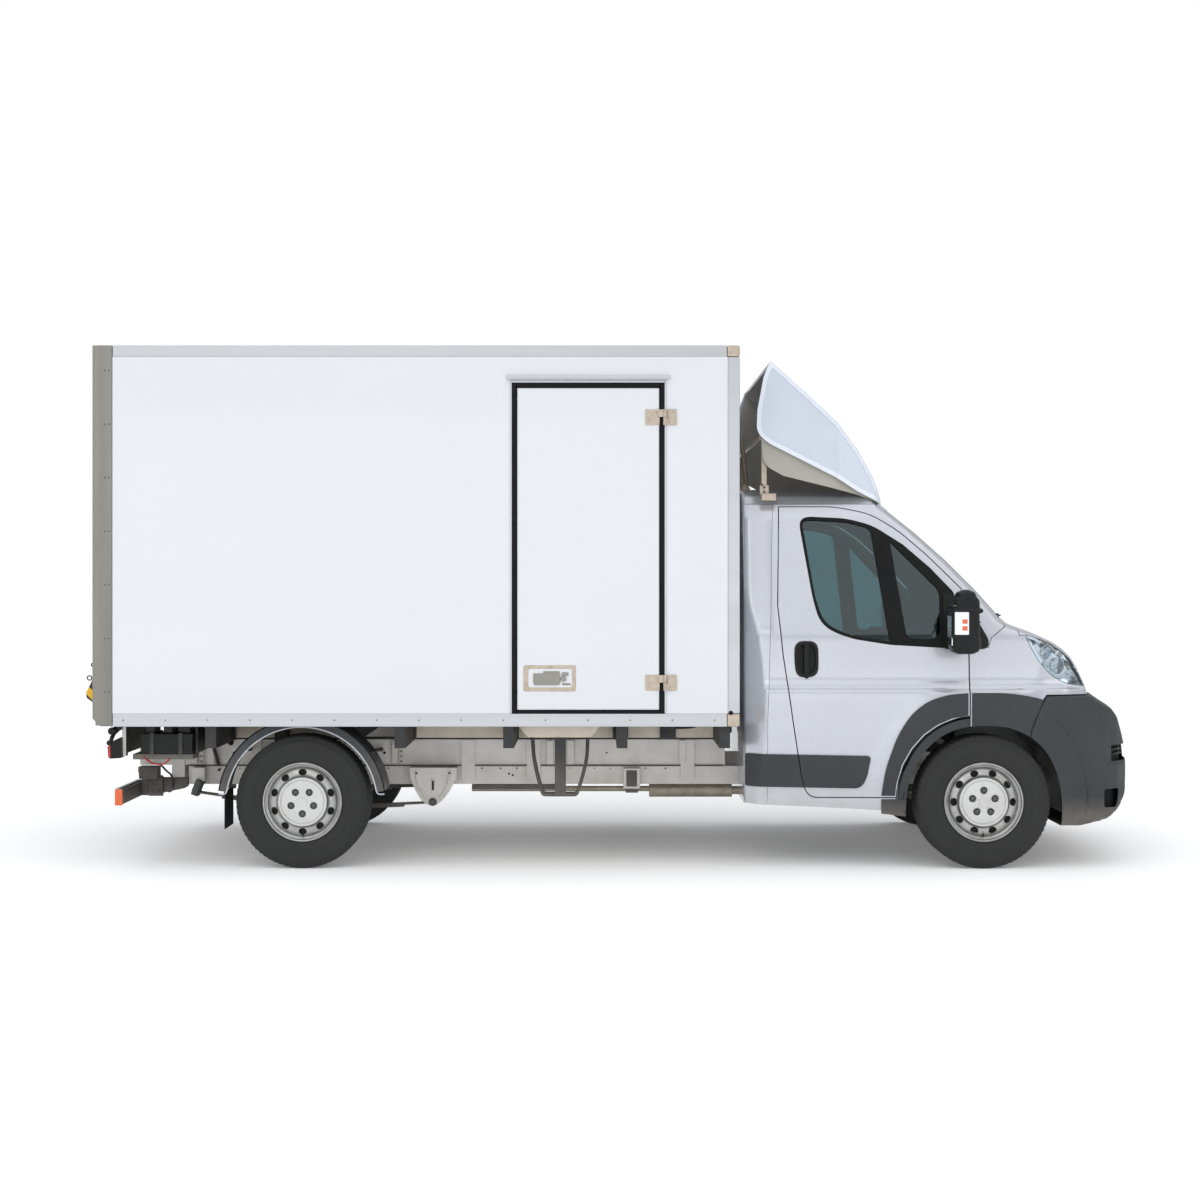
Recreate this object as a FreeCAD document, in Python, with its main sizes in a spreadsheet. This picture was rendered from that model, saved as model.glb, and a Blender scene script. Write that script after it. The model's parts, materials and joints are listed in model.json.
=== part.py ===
"""Box truck: two-door chassis cab with an insulated box body, a side door and an upright tail lift.

Frame: +X forward, +Y left, +Z up, millimetres. The origin is the middle of the overall box, on the ground.
Most outlines are drawn in cab coordinates: x forward of the front axle, z above the ground.
"""
import FreeCAD, Part
import math
import os
import re

import Sketcher
from FreeCAD import Vector

# ---------------------------------------------------------------- driving dimensions (cells of the sheet)
DRIVING = {
    # overall layout
    "wheelbase": 3800, "front_overhang": 948, "rear_overhang": 1198,
    "cab_half_width": 1025, "cab_back": 1332, "cab_gap": 35, "cab_wall": 45,
    "sill_height": 372, "panel_gap": 7, "cab_datum": 372, "arch_room": 56,
    # wheels
    "tyre_radius": 372, "tyre_width": 225, "bead_radius": 206, "rim_lip_radius": 221, "rim_wall": 7,
    "front_track": 1810, "rear_track": 1790, "hub_radius": 60, "spindle_radius": 35,
    "running_clearance": 0.05,
    "disc_radius": 134, "vent_circle": 162, "vent_width": 44, "vent_count": 10,
    # chassis
    "rail_centre": 450, "rail_width": 60, "rail_rise": 44, "rail_deep": 105, "rail_wall": 6,
    "subframe_gap": 7, "subframe_deep": 149, "crossbar_width": 60,
    # box body
    "box_width": 2200, "box_height": 2107, "box_wall": 45, "flag_reach": 55,
    "floor_thick": 70, "bottom_rail": 72, "top_rail": 63, "front_post": 66, "rear_post": 110,
    "rail_proud": 3, "seat_gap": 0.3, "cap_size": 70,
    # side door in the right wall, measured back from the front axle
    "side_door_front": 1812, "side_door_length": 785, "side_door_lift": 93, "side_door_drop": 236,
    "side_seal": 41, "side_hinge_back": 1780, "hinge_stand": 12, "hinge_pin": 7, "hinge_height": 86,
    "guard_room": 43, "guard_stem": 13,
    # tail lift
    "platform_thick": 40, "platform_recess": 5, "lift_pivot_drop": 70, "lift_pivot_back": 30,
    "lift_arm_length": 750, "lift_low_height": 25, "lift_arm_spread": 300, "lift_arm_wide": 40,
    "lift_pin": 12, "lift_eye": 20, "head_depth": 130, "post_width": 60, "sill_depth": 55, "swing_gap": 6,
}

# Places worked out from the driving dimensions, spelt out inside every formula that names them.
DERIVED = {
    "front_axle_x": "((wheelbase + rear_overhang - front_overhang) / 2)",
    "rear_axle_x": "(front_axle_x - wheelbase)",
    "box_front_x": "(front_axle_x - cab_back - cab_gap)",
    "box_rear_x": "(rear_axle_x - rear_overhang + flag_reach)",
    "rail_low": "(tyre_radius + rail_rise)",
    "rail_high": "(rail_low + rail_deep)",
    "subframe_low": "(rail_high + subframe_gap)",
    "subframe_high": "(subframe_low + subframe_deep)",
    "box_low": "(2 * tyre_radius + guard_room + guard_stem)",
    "box_high": "(box_low + box_height)",
    "cab_lift": "(tyre_radius - cab_datum)",
    "arch_radius": "(tyre_radius + arch_room)",
    "guard_radius": "(tyre_radius + guard_room)",
    "side_door_low": "(box_low + side_door_lift)",
    "side_door_high": "(box_high - side_door_drop)",
    "box_half": "(box_width / 2)",
    "wall_face": "(box_half - rail_proud)",
    "floor_top": "(box_low + floor_thick)",
    "wall_low": "(box_low + bottom_rail)",
    "wall_high": "(box_high - top_rail)",
    "wall_front": "(box_front_x - front_post)",
    "wall_rear": "(box_rear_x + rear_post)",
    "side_door_x": "(front_axle_x - side_door_front)",
    "side_hinge_x": "(front_axle_x - side_hinge_back)",
    "side_hinge_y": "(box_half + hinge_stand)",
    "platform_rear_x": "(box_rear_x + platform_recess)",
    "platform_front_x": "(platform_rear_x + platform_thick)",
    "lift_pivot_x": "(platform_rear_x - lift_pivot_back)",
    "lift_pivot_z": "(floor_top - lift_pivot_drop)",
    "lift_foot_z": "((lift_pivot_z + lift_low_height) / 2)",
    "lift_rise": "(lift_pivot_z - lift_foot_z)",
    "lift_foot_x": "(lift_pivot_x + sqrt(lift_arm_length ^ 2 - lift_rise ^ 2))",
}
AXES = {"x": Vector(1, 0, 0), "y": Vector(0, 1, 0), "z": Vector(0, 0, 1)}
SIDES = {"right": -1, "left": 1}

doc = FreeCAD.newDocument("BoxTruck")
sheet = doc.addObject("Spreadsheet::Sheet", "Sizes")
for row, (alias, number) in enumerate(DRIVING.items(), start=1):
    sheet.set(f"A{row}", alias)
    sheet.set(f"B{row}", str(number))
    sheet.setAlias(f"B{row}", alias)
doc.recompute()
nodes = {}


# ---------------------------------------------------------------- helpers
def spelled(text):
    """Return a formula with every derived place written out in driving dimensions."""
    text = str(text)
    while True:
        longer = re.sub(r"[a-z_]+", lambda word: DERIVED.get(word.group(), word.group()), text)
        if longer == text:
            return text
        text = longer


def formula(text):
    """Return the text as an expression that reads the sheet."""
    return re.sub(r"[a-z_]+", lambda word: ("Sizes." if word.group() in DRIVING else "") + word.group(),
                  spelled(text))


def size(text):
    """Return the present value of a formula."""
    return float(sheet.evalExpression(spelled(text)))


def bind(thing, **bindings):
    """Bind properties of an object to formulas; base_x, base_y and base_z are its place."""
    for name, text in bindings.items():
        path = "Placement.Base." + name[-1] if name.startswith("base_") else name
        thing.setExpression(path, formula(text))
    return thing


def node(name, thing):
    """Name the object that is written as one file."""
    thing.Label = name
    nodes[name] = thing
    return thing


def block(x, y, z, name="block"):
    """Box between two formulas along each axis."""
    thing = doc.addObject("Part::Box", name)
    bind(thing, Length=f"{x[1]} - ({x[0]})", Width=f"{y[1]} - ({y[0]})", Height=f"{z[1]} - ({z[0]})")
    return bind(thing, base_x=x[0], base_y=y[0], base_z=z[0])


def rod(axis, start, length, radius, name="rod"):
    """Cylinder from a start point along one axis."""
    thing = doc.addObject("Part::Cylinder", name)
    thing.Placement.Rotation = FreeCAD.Rotation(AXES["z"], AXES[axis])
    bind(thing, Radius=radius, Height=length)
    return bind(thing, base_x=start[0], base_y=start[1], base_z=start[2])


def fuse(*parts):
    """Join touching pieces into one solid."""
    thing = doc.addObject("Part::MultiFuse", "joined")
    thing.Shapes = list(parts)
    thing.Refine = True
    return thing


def cut(base, *tools):
    """Take pieces out of a base."""
    tool = tools[0] if len(tools) == 1 else group(*tools)
    thing = doc.addObject("Part::Cut", "cut")
    thing.Base, thing.Tool = base, tool
    return thing


def common(first, second):
    """Keep what two pieces share."""
    thing = doc.addObject("Part::Common", "shared")
    thing.Base, thing.Tool = first, second
    return thing


def group(*parts):
    """Hold separate solids in one object."""
    thing = doc.addObject("Part::Compound", "group")
    thing.Links = list(parts)
    return thing


def mirrored(thing, normal="y"):
    """Mirror image of a piece across the middle plane."""
    copy = doc.addObject("Part::Mirroring", "mirrored")
    copy.Source, copy.Normal = thing, AXES[normal]
    return copy


def pair(thing):
    """A piece and its mirror image across the vehicle's middle plane."""
    return group(thing, mirrored(thing))


PLANES = {"xz": ("XZ_Plane", "y", "x", "z"), "yz": ("YZ_Plane", "x", "y", "z"),
          "xy": ("XY_Plane", "z", "x", "y")}


def turn_of(points):
    """Return 1 for an outline drawn clockwise and -1 for the other way round."""
    area = sum(start.x * stop.y - stop.x * start.y for start, stop in zip(points, points[1:] + points[:1]))
    return -1 if area > 0 else 1


def arc_middle(start, stop, radius, turn):
    """Middle point of a round edge, which swells outwards for a positive radius."""
    chord = stop - start
    outward = Vector(-chord.y, chord.x, 0).normalize() * turn * math.copysign(1, radius)
    return (start + stop) * 0.5 + outward * (abs(radius) - math.sqrt(radius ** 2 - (chord.Length / 2) ** 2))


def sketch_of(body, plane, outline):
    """Closed sketch with a corner for each row: two formulas, and a radius where a round edge follows."""
    sketch = body.newObject("Sketcher::SketchObject", "outline")
    role = PLANES[plane][0]
    sketch.AttachmentSupport = [(next(o for o in body.Origin.OriginFeatures if o.Role == role), "")]
    sketch.MapMode = "FlatFace"
    corners = [Vector(size(row[0]), size(row[1]), 0) for row in outline]
    turn = turn_of(corners)
    ends = []
    for index, row in enumerate(outline):
        start, stop = corners[index], corners[(index + 1) % len(corners)]
        if len(row) == 2:
            sketch.addGeometry(Part.LineSegment(start, stop))
            ends.append((1, 2))
            continue
        sketch.addGeometry(Part.Arc(start, arc_middle(start, stop, size(row[2]), turn), stop))
        ends.append((1, 2) if (sketch.getPoint(index, 1) - start).Length < 0.01 else (2, 1))
    for index, row in enumerate(outline):
        after = (index + 1) % len(outline)
        sketch.addConstraint(Sketcher.Constraint("Coincident", index, ends[index][1], after, ends[after][0]))
        if len(row) == 3:
            number = sketch.addConstraint(Sketcher.Constraint("Radius", index, abs(size(row[2]))))
            sketch.setExpression(f"Constraints[{number}]", formula(f"abs({row[2]})"))
    for index, row in enumerate(outline):
        corner = corners[index]
        for kind, text, place in (("DistanceX", row[0], corner.x), ("DistanceY", row[1], corner.y)):
            number = sketch.addConstraint(Sketcher.Constraint(kind, -1, 1, index, ends[index][0], place))
            sketch.setExpression(f"Constraints[{number}]", formula(text))
    return sketch


def prism(plane, outline, low, high, name="prism"):
    """Pad of an outline on the named plane, between two formulas along the plane's normal."""
    body = doc.addObject("PartDesign::Body", name)
    pad = body.newObject("PartDesign::Pad", "pad")
    pad.Profile = sketch_of(body, plane, outline)
    pad.Midplane = True
    bind(pad, Length=f"{high} - ({low})")
    return bind(body, **{"base_" + PLANES[plane][1]: f"({low} + {high}) / 2"})


def at_axle(outline, axle="front_axle_x"):
    """Move an outline drawn about an axle to its place along the vehicle."""
    return [(f"{axle} + ({row[0]})",) + tuple(row[1:]) for row in outline]


def turned(outline, name="turned"):
    """Full turn about the Y axis of an outline whose rows are offset along Y and radius."""
    body = doc.addObject("PartDesign::Body", name)
    spin = body.newObject("PartDesign::Revolution", "turn")
    sketch = sketch_of(body, "yz", outline)
    spin.Profile = sketch
    spin.ReferenceAxis = (sketch, ["H_Axis"])
    spin.Angle = 360
    return body


def moved(thing, x="0", y="0", z="0"):
    """Copy of a finished piece at another place."""
    return bind(group(thing), base_x=x, base_y=y, base_z=z)


def feature(shape, name="panel"):
    """Piece whose form is worked out by Part's own functions."""
    thing = doc.addObject("Part::Feature", name)
    thing.Shape = shape
    return thing



# ---------------------------------------------------------------- wheels
def tyre():
    """Tyre about the Y axis; columns are the inset from the full width and the radius."""
    rows = [(30, "bead_radius + 0.3"), (30, "bead_radius + 16"), (8, "tyre_radius - 110"),
            (0, "tyre_radius - 62"), (8, "tyre_radius - 22"), (26, "tyre_radius - 5"), (52, "tyre_radius")]
    inner = [(f"-(tyre_width / 2 - {inset})", radius) for inset, radius in rows]
    outer = [(f"tyre_width / 2 - {inset}", radius) for inset, radius in reversed(rows)]
    return turned(inner + outer, "tyre")


def rim():
    """Steel wheel about the Y axis, its dished disc towards +Y, with oval vents through the disc."""
    lip = "tyre_width / 2 - 29.7"
    barrel = "bead_radius - rim_wall"
    bore = "spindle_radius + running_clearance"
    outline = [
        (f"-({lip}) - rim_wall", barrel), (f"-({lip}) - rim_wall", "rim_lip_radius"),
        (f"-({lip})", "rim_lip_radius"), (f"-({lip})", "bead_radius"),
        (lip, "bead_radius"), (lip, "rim_lip_radius"),
        (f"{lip} + rim_wall", "rim_lip_radius"), (f"{lip} + rim_wall", barrel),
        ("62", barrel), ("50", "vent_circle + 18"), ("66", "disc_radius + 8"), ("80", "disc_radius"),
        ("80", bore), ("70", bore), ("70", "disc_radius - 8"), ("57", "disc_radius + 4"),
        ("41", "vent_circle + 18"), ("52", barrel),
    ]
    disc = turned(outline, "rim")
    vents = []
    for index in range(int(size("vent_count"))):
        angle = 2 * math.pi * (index + 0.5) / size("vent_count")
        across, up = f"vent_circle * {math.sin(angle):.6f}", f"vent_circle * {math.cos(angle):.6f}"
        vent = rod("y", (across, "20", up), "80", "vent_width / 2", "vent")
        vents.append(vent)
    return cut(disc, *vents)


wheel_left = group(tyre(), rim())
wheel_right = mirrored(wheel_left)
for axle in ("front", "rear"):
    for side, sign in SIDES.items():
        node(f"wheel_{axle}_{side}", moved(wheel_left if sign > 0 else wheel_right, x=f"{axle}_axle_x",
                                           y=f"{sign} * {axle}_track / 2", z="tyre_radius"))


# ---------------------------------------------------------------- axles, knuckles and springs
def axle_end(track):
    """Hub flange and spindle that fit a left wheel's bore, at a half track."""
    hub = f"{track} / 2"
    return [rod("y", ("0", f"{hub} + 40", "tyre_radius"), "29.7", "hub_radius", "flange"),
            rod("y", ("0", f"{hub} + 40", "tyre_radius"), "43", "spindle_radius", "spindle")]


king = "front_track / 2 - 75"
knuckle = cut(
    fuse(block(("-45", "45"), (f"{king} - 25", f"{king} + 25"), ("tyre_radius - 90", "tyre_radius + 90")),
         rod("y", ("0", f"{king} + 20", "tyre_radius"), "96", "50"), *axle_end("front_track"),
         block(("-150", "-40"), (f"{king} - 20", f"{king} + 5"), ("tyre_radius - 60", "tyre_radius - 40"))),
    rod("z", ("0", king, "tyre_radius - 100"), "200", "15 + running_clearance"))
node("steering_knuckle_left", moved(knuckle, x="front_axle_x"))
node("steering_knuckle_right", moved(mirrored(knuckle), x="front_axle_x"))

arms = []
for low in ("tyre_radius - 120", "tyre_radius + 96"):
    arms.append(block(("-40", "40"), ("rail_centre + rail_width / 2 + seat_gap", f"{king} + 22"),
                      (low, f"{low} + 24")))
rail_side = "rail_centre + rail_width / 2"
tower = block(("-60", "60"), (f"{rail_side} + seat_gap", f"{rail_side} + 30"),
              ("tyre_radius - 120", "tyre_radius + 120"))
kingpin = rod("z", ("0", king, "tyre_radius - 119"), "238", "15")
cradle = block(("-60", "60"), ("-(rail_centre + rail_width / 2 + 30)", "rail_centre + rail_width / 2 + 30"),
               ("tyre_radius - 120", "tyre_radius - 70"))
half = fuse(arms[0], arms[1], tower, kingpin)
node("front_subframe", moved(fuse(half, mirrored(half), cradle), x="front_axle_x"))

beam = rod("y", ("0", "-(rear_track / 2 + 41)", "tyre_radius"), "rear_track + 82", "40", "beam")
ends = fuse(*axle_end("rear_track"))
node("rear_axle", moved(fuse(beam, ends, mirrored(ends)), x="rear_axle_x"))

# Leaf spring about the rear axle: columns are x, z and the radius of the round edge that follows.
spring_face = "rail_centre + rail_width / 2 + 5"
leaf = prism("xz", [("685", "tyre_radius - 57", "6283"), ("-693", "tyre_radius + 3"),
                    ("-693", "tyre_radius + 27", "-6283"), ("685", "tyre_radius - 33")],
             spring_face, f"{spring_face} + 70", "leaf")
eyes = [rod("y", ("685", spring_face, "tyre_radius - 45"), "70", "24", "eye"),
        rod("y", ("-693", spring_face, "tyre_radius + 15"), "70", "24", "eye")]
clamp = block(("-60", "60"), (spring_face, f"{spring_face} + 70"),
              ("tyre_radius - 85", "tyre_radius - 40.3"))
spring = fuse(leaf, clamp, *eyes)

# Hangers that carry the spring eyes: columns are start and stop along x, and the plate's lower edge.
hangers = []
for start, stop, plate_low in (("551", "833", "tyre_radius - 76"), ("-728", "-658", "tyre_radius - 47")):
    plate = block((start, stop), (f"{spring_face} + 70.3", f"{spring_face} + 80"), (plate_low, "rail_high"))
    bridge = block((start, stop), ("rail_centre + rail_width / 2 + seat_gap", f"{spring_face} + 75"),
                   ("tyre_radius + 68", "rail_high"))
    hangers.append(fuse(plate, bridge))
node("leaf_springs", moved(pair(group(spring, *hangers)), x="rear_axle_x"))

# ---------------------------------------------------------------- chassis
rail_face = "rail_centre + rail_width / 2"
rail_front, rail_back = "front_axle_x + 620", "rear_axle_x - 746"
rail = cut(block((rail_back, rail_front), ("rail_centre - rail_width / 2", rail_face),
                 ("rail_low", "rail_high")),
           block((f"{rail_back} - 10", f"{rail_front} + 10"),
                 ("rail_centre - rail_width / 2 - 1", f"{rail_face} - rail_wall"),
                 ("rail_low + rail_wall", "rail_high - rail_wall")))
ties = []
tie_end = "rail_centre - rail_width / 2 - seat_gap"
for place in ("lift_foot_x + 76", "rear_axle_x + 420", "rear_axle_x + 1300", "front_axle_x - 1650",
              "front_axle_x - 700", "front_axle_x + 300", "front_axle_x + 560"):
    ties.append(block((place, f"{place} + 60"), (f"-({tie_end})", tie_end),
                      ("rail_low + 20", "rail_high - rail_wall")))
node("chassis_frame", group(rail, mirrored(rail), *ties))

runner = block(("wall_rear + seat_gap", "box_front_x - 40"), ("rail_centre - rail_width / 2", rail_face),
               ("subframe_low", "subframe_high - seat_gap"))
outrigger = "box_half - 50"
bars = []
for place, reach in (("box_front_x - 110", outrigger), ("box_front_x - 680", outrigger),
                     ("box_front_x - 1310", outrigger), ("rear_axle_x + 520", outrigger),
                     ("rear_axle_x + 200", "740"), ("rear_axle_x - 200", "740"),
                     ("rear_axle_x - 530", outrigger)):
    bars.append(block((place, f"{place} + crossbar_width"), (f"-({reach})", reach),
                      ("subframe_high", "box_low - seat_gap")))
shoes = []
for place in ("box_front_x - 300", "box_front_x - 1200", "rear_axle_x + 850", "rear_axle_x - 400"):
    shoes.append(block((place, f"{place} + 80"), (f"{rail_face} + seat_gap", f"{rail_face} + 12"),
                       ("rail_low + 30", "subframe_high - seat_gap")))
    shoes.append(block((place, f"{place} + 80"), (f"{rail_face} - 1", f"{rail_face} + 12"),
                       ("subframe_low + 20", "subframe_high - 20")))
runner_set = fuse(runner, *shoes)
node("body_subframe", group(runner_set, mirrored(runner_set), *bars))

node("engine_block", block(("front_axle_x + 90", "front_axle_x + 520"), ("-300", "300"),
                           ("rail_high - rail_wall + seat_gap", "rail_high + 559")))
silencer = rod("x", ("front_axle_x - 1850", "-rail_centre", "rail_low - 39.3"), "485", "39", "silencer")
down_pipe = rod("x", ("front_axle_x - 1366", "-rail_centre", "rail_low - 39.3"), "700", "24", "pipe")
tail_pipe = rod("x", ("front_axle_x - 2890", "-rail_centre", "rail_low - 30"), "1041", "16", "pipe")
node("exhaust", fuse(silencer, down_pipe, tail_pipe))
node("fuel_tank", block(("front_axle_x - 2350", "front_axle_x - 1600"),
                        (f"{rail_face} + 12.5", "box_half - 160"), ("rail_low - 20", "subframe_high - 20")))

# ---------------------------------------------------------------- box body
inner_face = "wall_face - box_wall"
node("box_floor", block(("wall_rear + seat_gap", "box_front_x - cap_size - seat_gap"),
                        (f"-({inner_face})", inner_face),
                        ("box_low", "floor_top")))
wall_span = ("wall_rear + seat_gap", "wall_front - seat_gap")
wall_rise = ("wall_low + seat_gap", "wall_high - seat_gap")
wall = block(wall_span, (inner_face, "wall_face"), wall_rise)
door_low_x = "side_door_x - side_door_length - side_seal"
door_high_x = "side_door_x + side_seal"
opening = block((door_low_x, door_high_x), ("-box_width", "-box_half / 2"),
                ("wall_low - 10", "side_door_high + side_seal"))
node("box_wall_left", wall)
node("box_wall_right", cut(mirrored(wall), opening))
cap_face = "(box_half - cap_size - seat_gap)"
node("box_front_wall", block(("box_front_x - box_wall", "box_front_x - rail_proud"),
                             (f"-{cap_face}", cap_face), wall_rise))
node("box_roof", block(("wall_rear + seat_gap", "box_front_x - cap_size - seat_gap"),
                       (f"-({inner_face})", inner_face),
                       ("box_high - rail_proud - box_wall", "box_high - rail_proud")))

rails = []
for low, high in (("box_low", "wall_low"), ("wall_high", "box_high")):
    rails.append(pair(block(("wall_rear + seat_gap", "box_front_x - cap_size - seat_gap"),
                            (f"{inner_face} + seat_gap", "box_half"), (low, high))))
    rails.append(block(("box_front_x - front_post", "box_front_x"), (f"-{cap_face}", cap_face), (low, high)))
front_corner = block(("wall_front", "box_front_x"), ("box_half - cap_size + seat_gap", "box_half"), wall_rise)
rails.append(pair(front_corner))
node("edge_rails", group(*rails))
caps = []
for low, high in (("box_low", "wall_low - seat_gap"), ("wall_high + seat_gap", "box_high")):
    caps.append(pair(block(("box_front_x - cap_size", "box_front_x"), ("box_half - cap_size", "box_half"),
                           (low, high))))
node("corner_caps", group(*caps))

post = block(("box_rear_x", "wall_rear"), ("box_half - post_width", "box_half"), ("box_low + 8", "box_high"))
header = block(("box_rear_x", "wall_rear"), ("-(box_half - post_width)", "box_half - post_width"),
               ("wall_high", "box_high"))
sill = block(("wall_rear - sill_depth", "wall_rear"), ("-(box_half - post_width)", "box_half - post_width"),
             ("box_low + 2", "floor_top"))
node("rear_frame", fuse(post, mirrored(post), header, sill))

# Side door, its frame and the gutter over it.
door_y = ("-box_half", f"-({inner_face})")
frame_low, frame_high = "wall_low + seat_gap", "side_door_high + side_seal - seat_gap"
leaf_low, leaf_high = "side_door_low - swing_gap", "side_door_high + swing_gap"
leaf_back, leaf_front = "side_door_x - side_door_length - swing_gap", "side_door_x + swing_gap"
leaf_span = (f"{leaf_back} + seat_gap", f"{leaf_front} - seat_gap")
frame_bars = [block((f"{door_low_x} + seat_gap", leaf_back), door_y, (frame_low, frame_high)),
              block((leaf_front, f"{door_high_x} - seat_gap"), door_y, (frame_low, frame_high)),
              block(leaf_span, door_y, (frame_low, leaf_low)),
              block(leaf_span, door_y, (leaf_high, frame_high))]
tray_low, tray_high = "box_low + 195", "box_low + 340"
tray_span = ("front_axle_x - 2563", "front_axle_x - 2272")
leaf_panel = cut(block(("side_door_x - side_door_length", "side_door_x"), door_y,
                       ("side_door_low", "side_door_high")),
                 block(tray_span, ("-box_half - 1", "-box_half + 30"), (tray_low, tray_high)))
node("side_door", leaf_panel)
tray = block((f"{tray_span[0]} + 0.3", f"{tray_span[1]} - 0.3"), ("-box_half + 24", "-box_half + 29.7"),
             (f"{tray_low} + seat_gap", f"{tray_high} - seat_gap"))
paddle = block(("front_axle_x - 2545", "front_axle_x - 2385"), ("-box_half + 6", "-box_half + 24.3"),
               ("box_low + 240", "box_low + 295"))
latch = fuse(tray, paddle)
leaves, fixed_halves = [], []
for low in ("box_low + 200", "side_door_high - 205"):
    middle, high = f"{low} + hinge_height / 2", f"{low} + hinge_height"
    strap = block(("front_axle_x - 1889", "side_hinge_x - 14"), ("-box_half - 8", "-box_half - seat_gap"),
                  (low, high))
    neck = block(("side_hinge_x - 15", "side_hinge_x"), ("-box_half - 8", "-box_half - 1"),
                 (f"{middle} + 1", high))
    barrel = rod("z", ("side_hinge_x", "-side_hinge_y", f"{middle} + 1"), "hinge_height / 2 - 1",
                 "hinge_pin + 4")
    hole = rod("z", ("side_hinge_x", "-side_hinge_y", low), "hinge_height + 4",
               "hinge_pin + running_clearance")
    leaves.append(cut(fuse(strap, neck, barrel), hole))
    plate = block(("side_hinge_x + 14", "front_axle_x - 1716"), ("-box_half - 8", "-wall_face - seat_gap"),
                  (low, high))
    spine = block(("side_hinge_x", "side_hinge_x + 15"), ("-box_half - 8", "-box_half - 1"), (low, middle))
    stump = rod("z", ("side_hinge_x", "-side_hinge_y", low), "hinge_height / 2", "hinge_pin + 4")
    pin = rod("z", ("side_hinge_x", "-side_hinge_y", low), "hinge_height", "hinge_pin")
    fixed_halves.append(cut(fuse(plate, spine, stump, pin),
                     block(("side_hinge_x - 1", "side_door_x + 50"), ("-box_half - 1", "0"), (low, high))))
node("side_door_fittings", group(latch, *leaves))
gutter = block(("front_axle_x - 2656", "front_axle_x - 1751"),
               ("-box_half - 24", "-wall_face - seat_gap"), ("side_door_high + 49", "side_door_high + 73"))
node("side_door_frame", group(*frame_bars, gutter, *fixed_halves))

# ---------------------------------------------------------------- tail lift
lug_rows = [("lift_pivot_x - lift_eye", "lift_pivot_z"), ("lift_pivot_x - lift_eye", "lift_pivot_z + 60"),
            ("platform_rear_x + 1", "lift_pivot_z + 60"), ("platform_rear_x + 1", "lift_pivot_z - lift_eye"),
            ("lift_pivot_x", "lift_pivot_z - lift_eye")]
platform_deep = ("platform_rear_x", "platform_front_x")
platform_edge = "(box_half - post_width - swing_gap)"
slot_half = "(lift_arm_wide / 2 + swing_gap)"
slot_low, slot_high = f"(lift_arm_spread - {slot_half})", f"(lift_arm_spread + {slot_half})"
beam_span = ("lift_pivot_z + 12", "lift_pivot_z + 76")
deck = block(platform_deep, (f"-{platform_edge}", platform_edge),
             ("lift_pivot_z + 76", "wall_high - swing_gap"))
centre_beam = block(platform_deep, (f"-{slot_low}", slot_low), beam_span)
outer_beam = block(platform_deep, (slot_high, platform_edge), beam_span)
lugs = []
for offset in ("-100", "100"):
    centre = f"lift_arm_spread + {offset}"
    lugs.append(fuse(prism("xz", lug_rows, f"{centre} - 20", f"{centre} + 20", "lug"),
                     rod("y", ("lift_pivot_x", f"{centre} - 20", "lift_pivot_z"), "40", "lift_eye")))
pin_hole = rod("y", ("lift_pivot_x", "-box_half", "lift_pivot_z"), "box_width",
               "lift_pin + running_clearance")
centre_beam = cut(fuse(centre_beam, lugs[0], mirrored(lugs[0])), pin_hole)
outer_beam = cut(fuse(outer_beam, lugs[1]), pin_hole)
# the deck stands on three beams, which leave slots for the arms
node("lift_platform", group(deck, centre_beam, outer_beam, mirrored(outer_beam)))
hinge_bar = rod("y", ("lift_pivot_x", "-(lift_arm_spread + 130)", "lift_pivot_z"),
                "2 * (lift_arm_spread + 130)", "lift_pin")
# a flat cross-member keeps the arms' ends together; it lies low, so that it clears the sill and the lugs
cross_high = ("lift_pivot_z - lift_eye", "box_low + 2 - swing_gap")
cross_front = "lift_pivot_x + head_depth"
cross = fuse(block(("lift_pivot_x + lift_pin + seat_gap", cross_front),
                   ("-(lift_arm_spread - 122)", "lift_arm_spread - 122"), cross_high),
             block(("lift_pivot_x + 2 * lift_eye", cross_front), (f"-{slot_low}", slot_low), cross_high))
node("lift_head", group(hinge_bar, cross))
run, rise = "(lift_foot_x - lift_pivot_x)", "lift_rise"
across_x = f"lift_eye * {rise} / lift_arm_length"
across_z = f"lift_eye * {run} / lift_arm_length"
arm_rows = [(f"lift_pivot_x + {across_x}", f"lift_pivot_z + {across_z}"),
            (f"lift_pivot_x - {across_x}", f"lift_pivot_z - {across_z}"),
            (f"lift_foot_x - {across_x}", f"lift_foot_z - {across_z}"),
            (f"lift_foot_x + {across_x}", f"lift_foot_z + {across_z}")]
low_y = "lift_arm_spread - lift_arm_wide / 2"
bar = prism("xz", arm_rows, low_y, f"{low_y} + lift_arm_wide", "arm")
arm_eyes = [rod("y", (x, low_y, z), "lift_arm_wide", "lift_eye + 0.1")
            for x, z in (("lift_pivot_x", "lift_pivot_z"), ("lift_foot_x", "lift_foot_z"))]
holes = [rod("y", (x, "0", z), "box_half", "lift_pin + running_clearance")
         for x, z in (("lift_pivot_x", "lift_pivot_z"), ("lift_foot_x", "lift_foot_z"))]
lift_arm = cut(fuse(bar, *arm_eyes), *holes)
tie_bar = rod("y", (f"lift_foot_x - 0.4 * {run}", f"-({low_y} + 1)", f"lift_foot_z + 0.4 * {rise}"),
              f"2 * ({low_y} + 1)", "16")
node("lift_arms", fuse(lift_arm, mirrored(lift_arm), tie_bar))
rail_inside = "rail_centre - rail_width / 2 - seat_gap"
foot = rod("y", ("lift_foot_x", f"-({rail_inside})", "lift_foot_z"), f"2 * ({rail_inside})", "lift_pin")
cheek = block(("lift_foot_x - 40", "lift_foot_x + 40"), (f"{rail_inside} - 30", rail_inside),
              ("lift_foot_z - 30", "rail_low + 70"))
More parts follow.
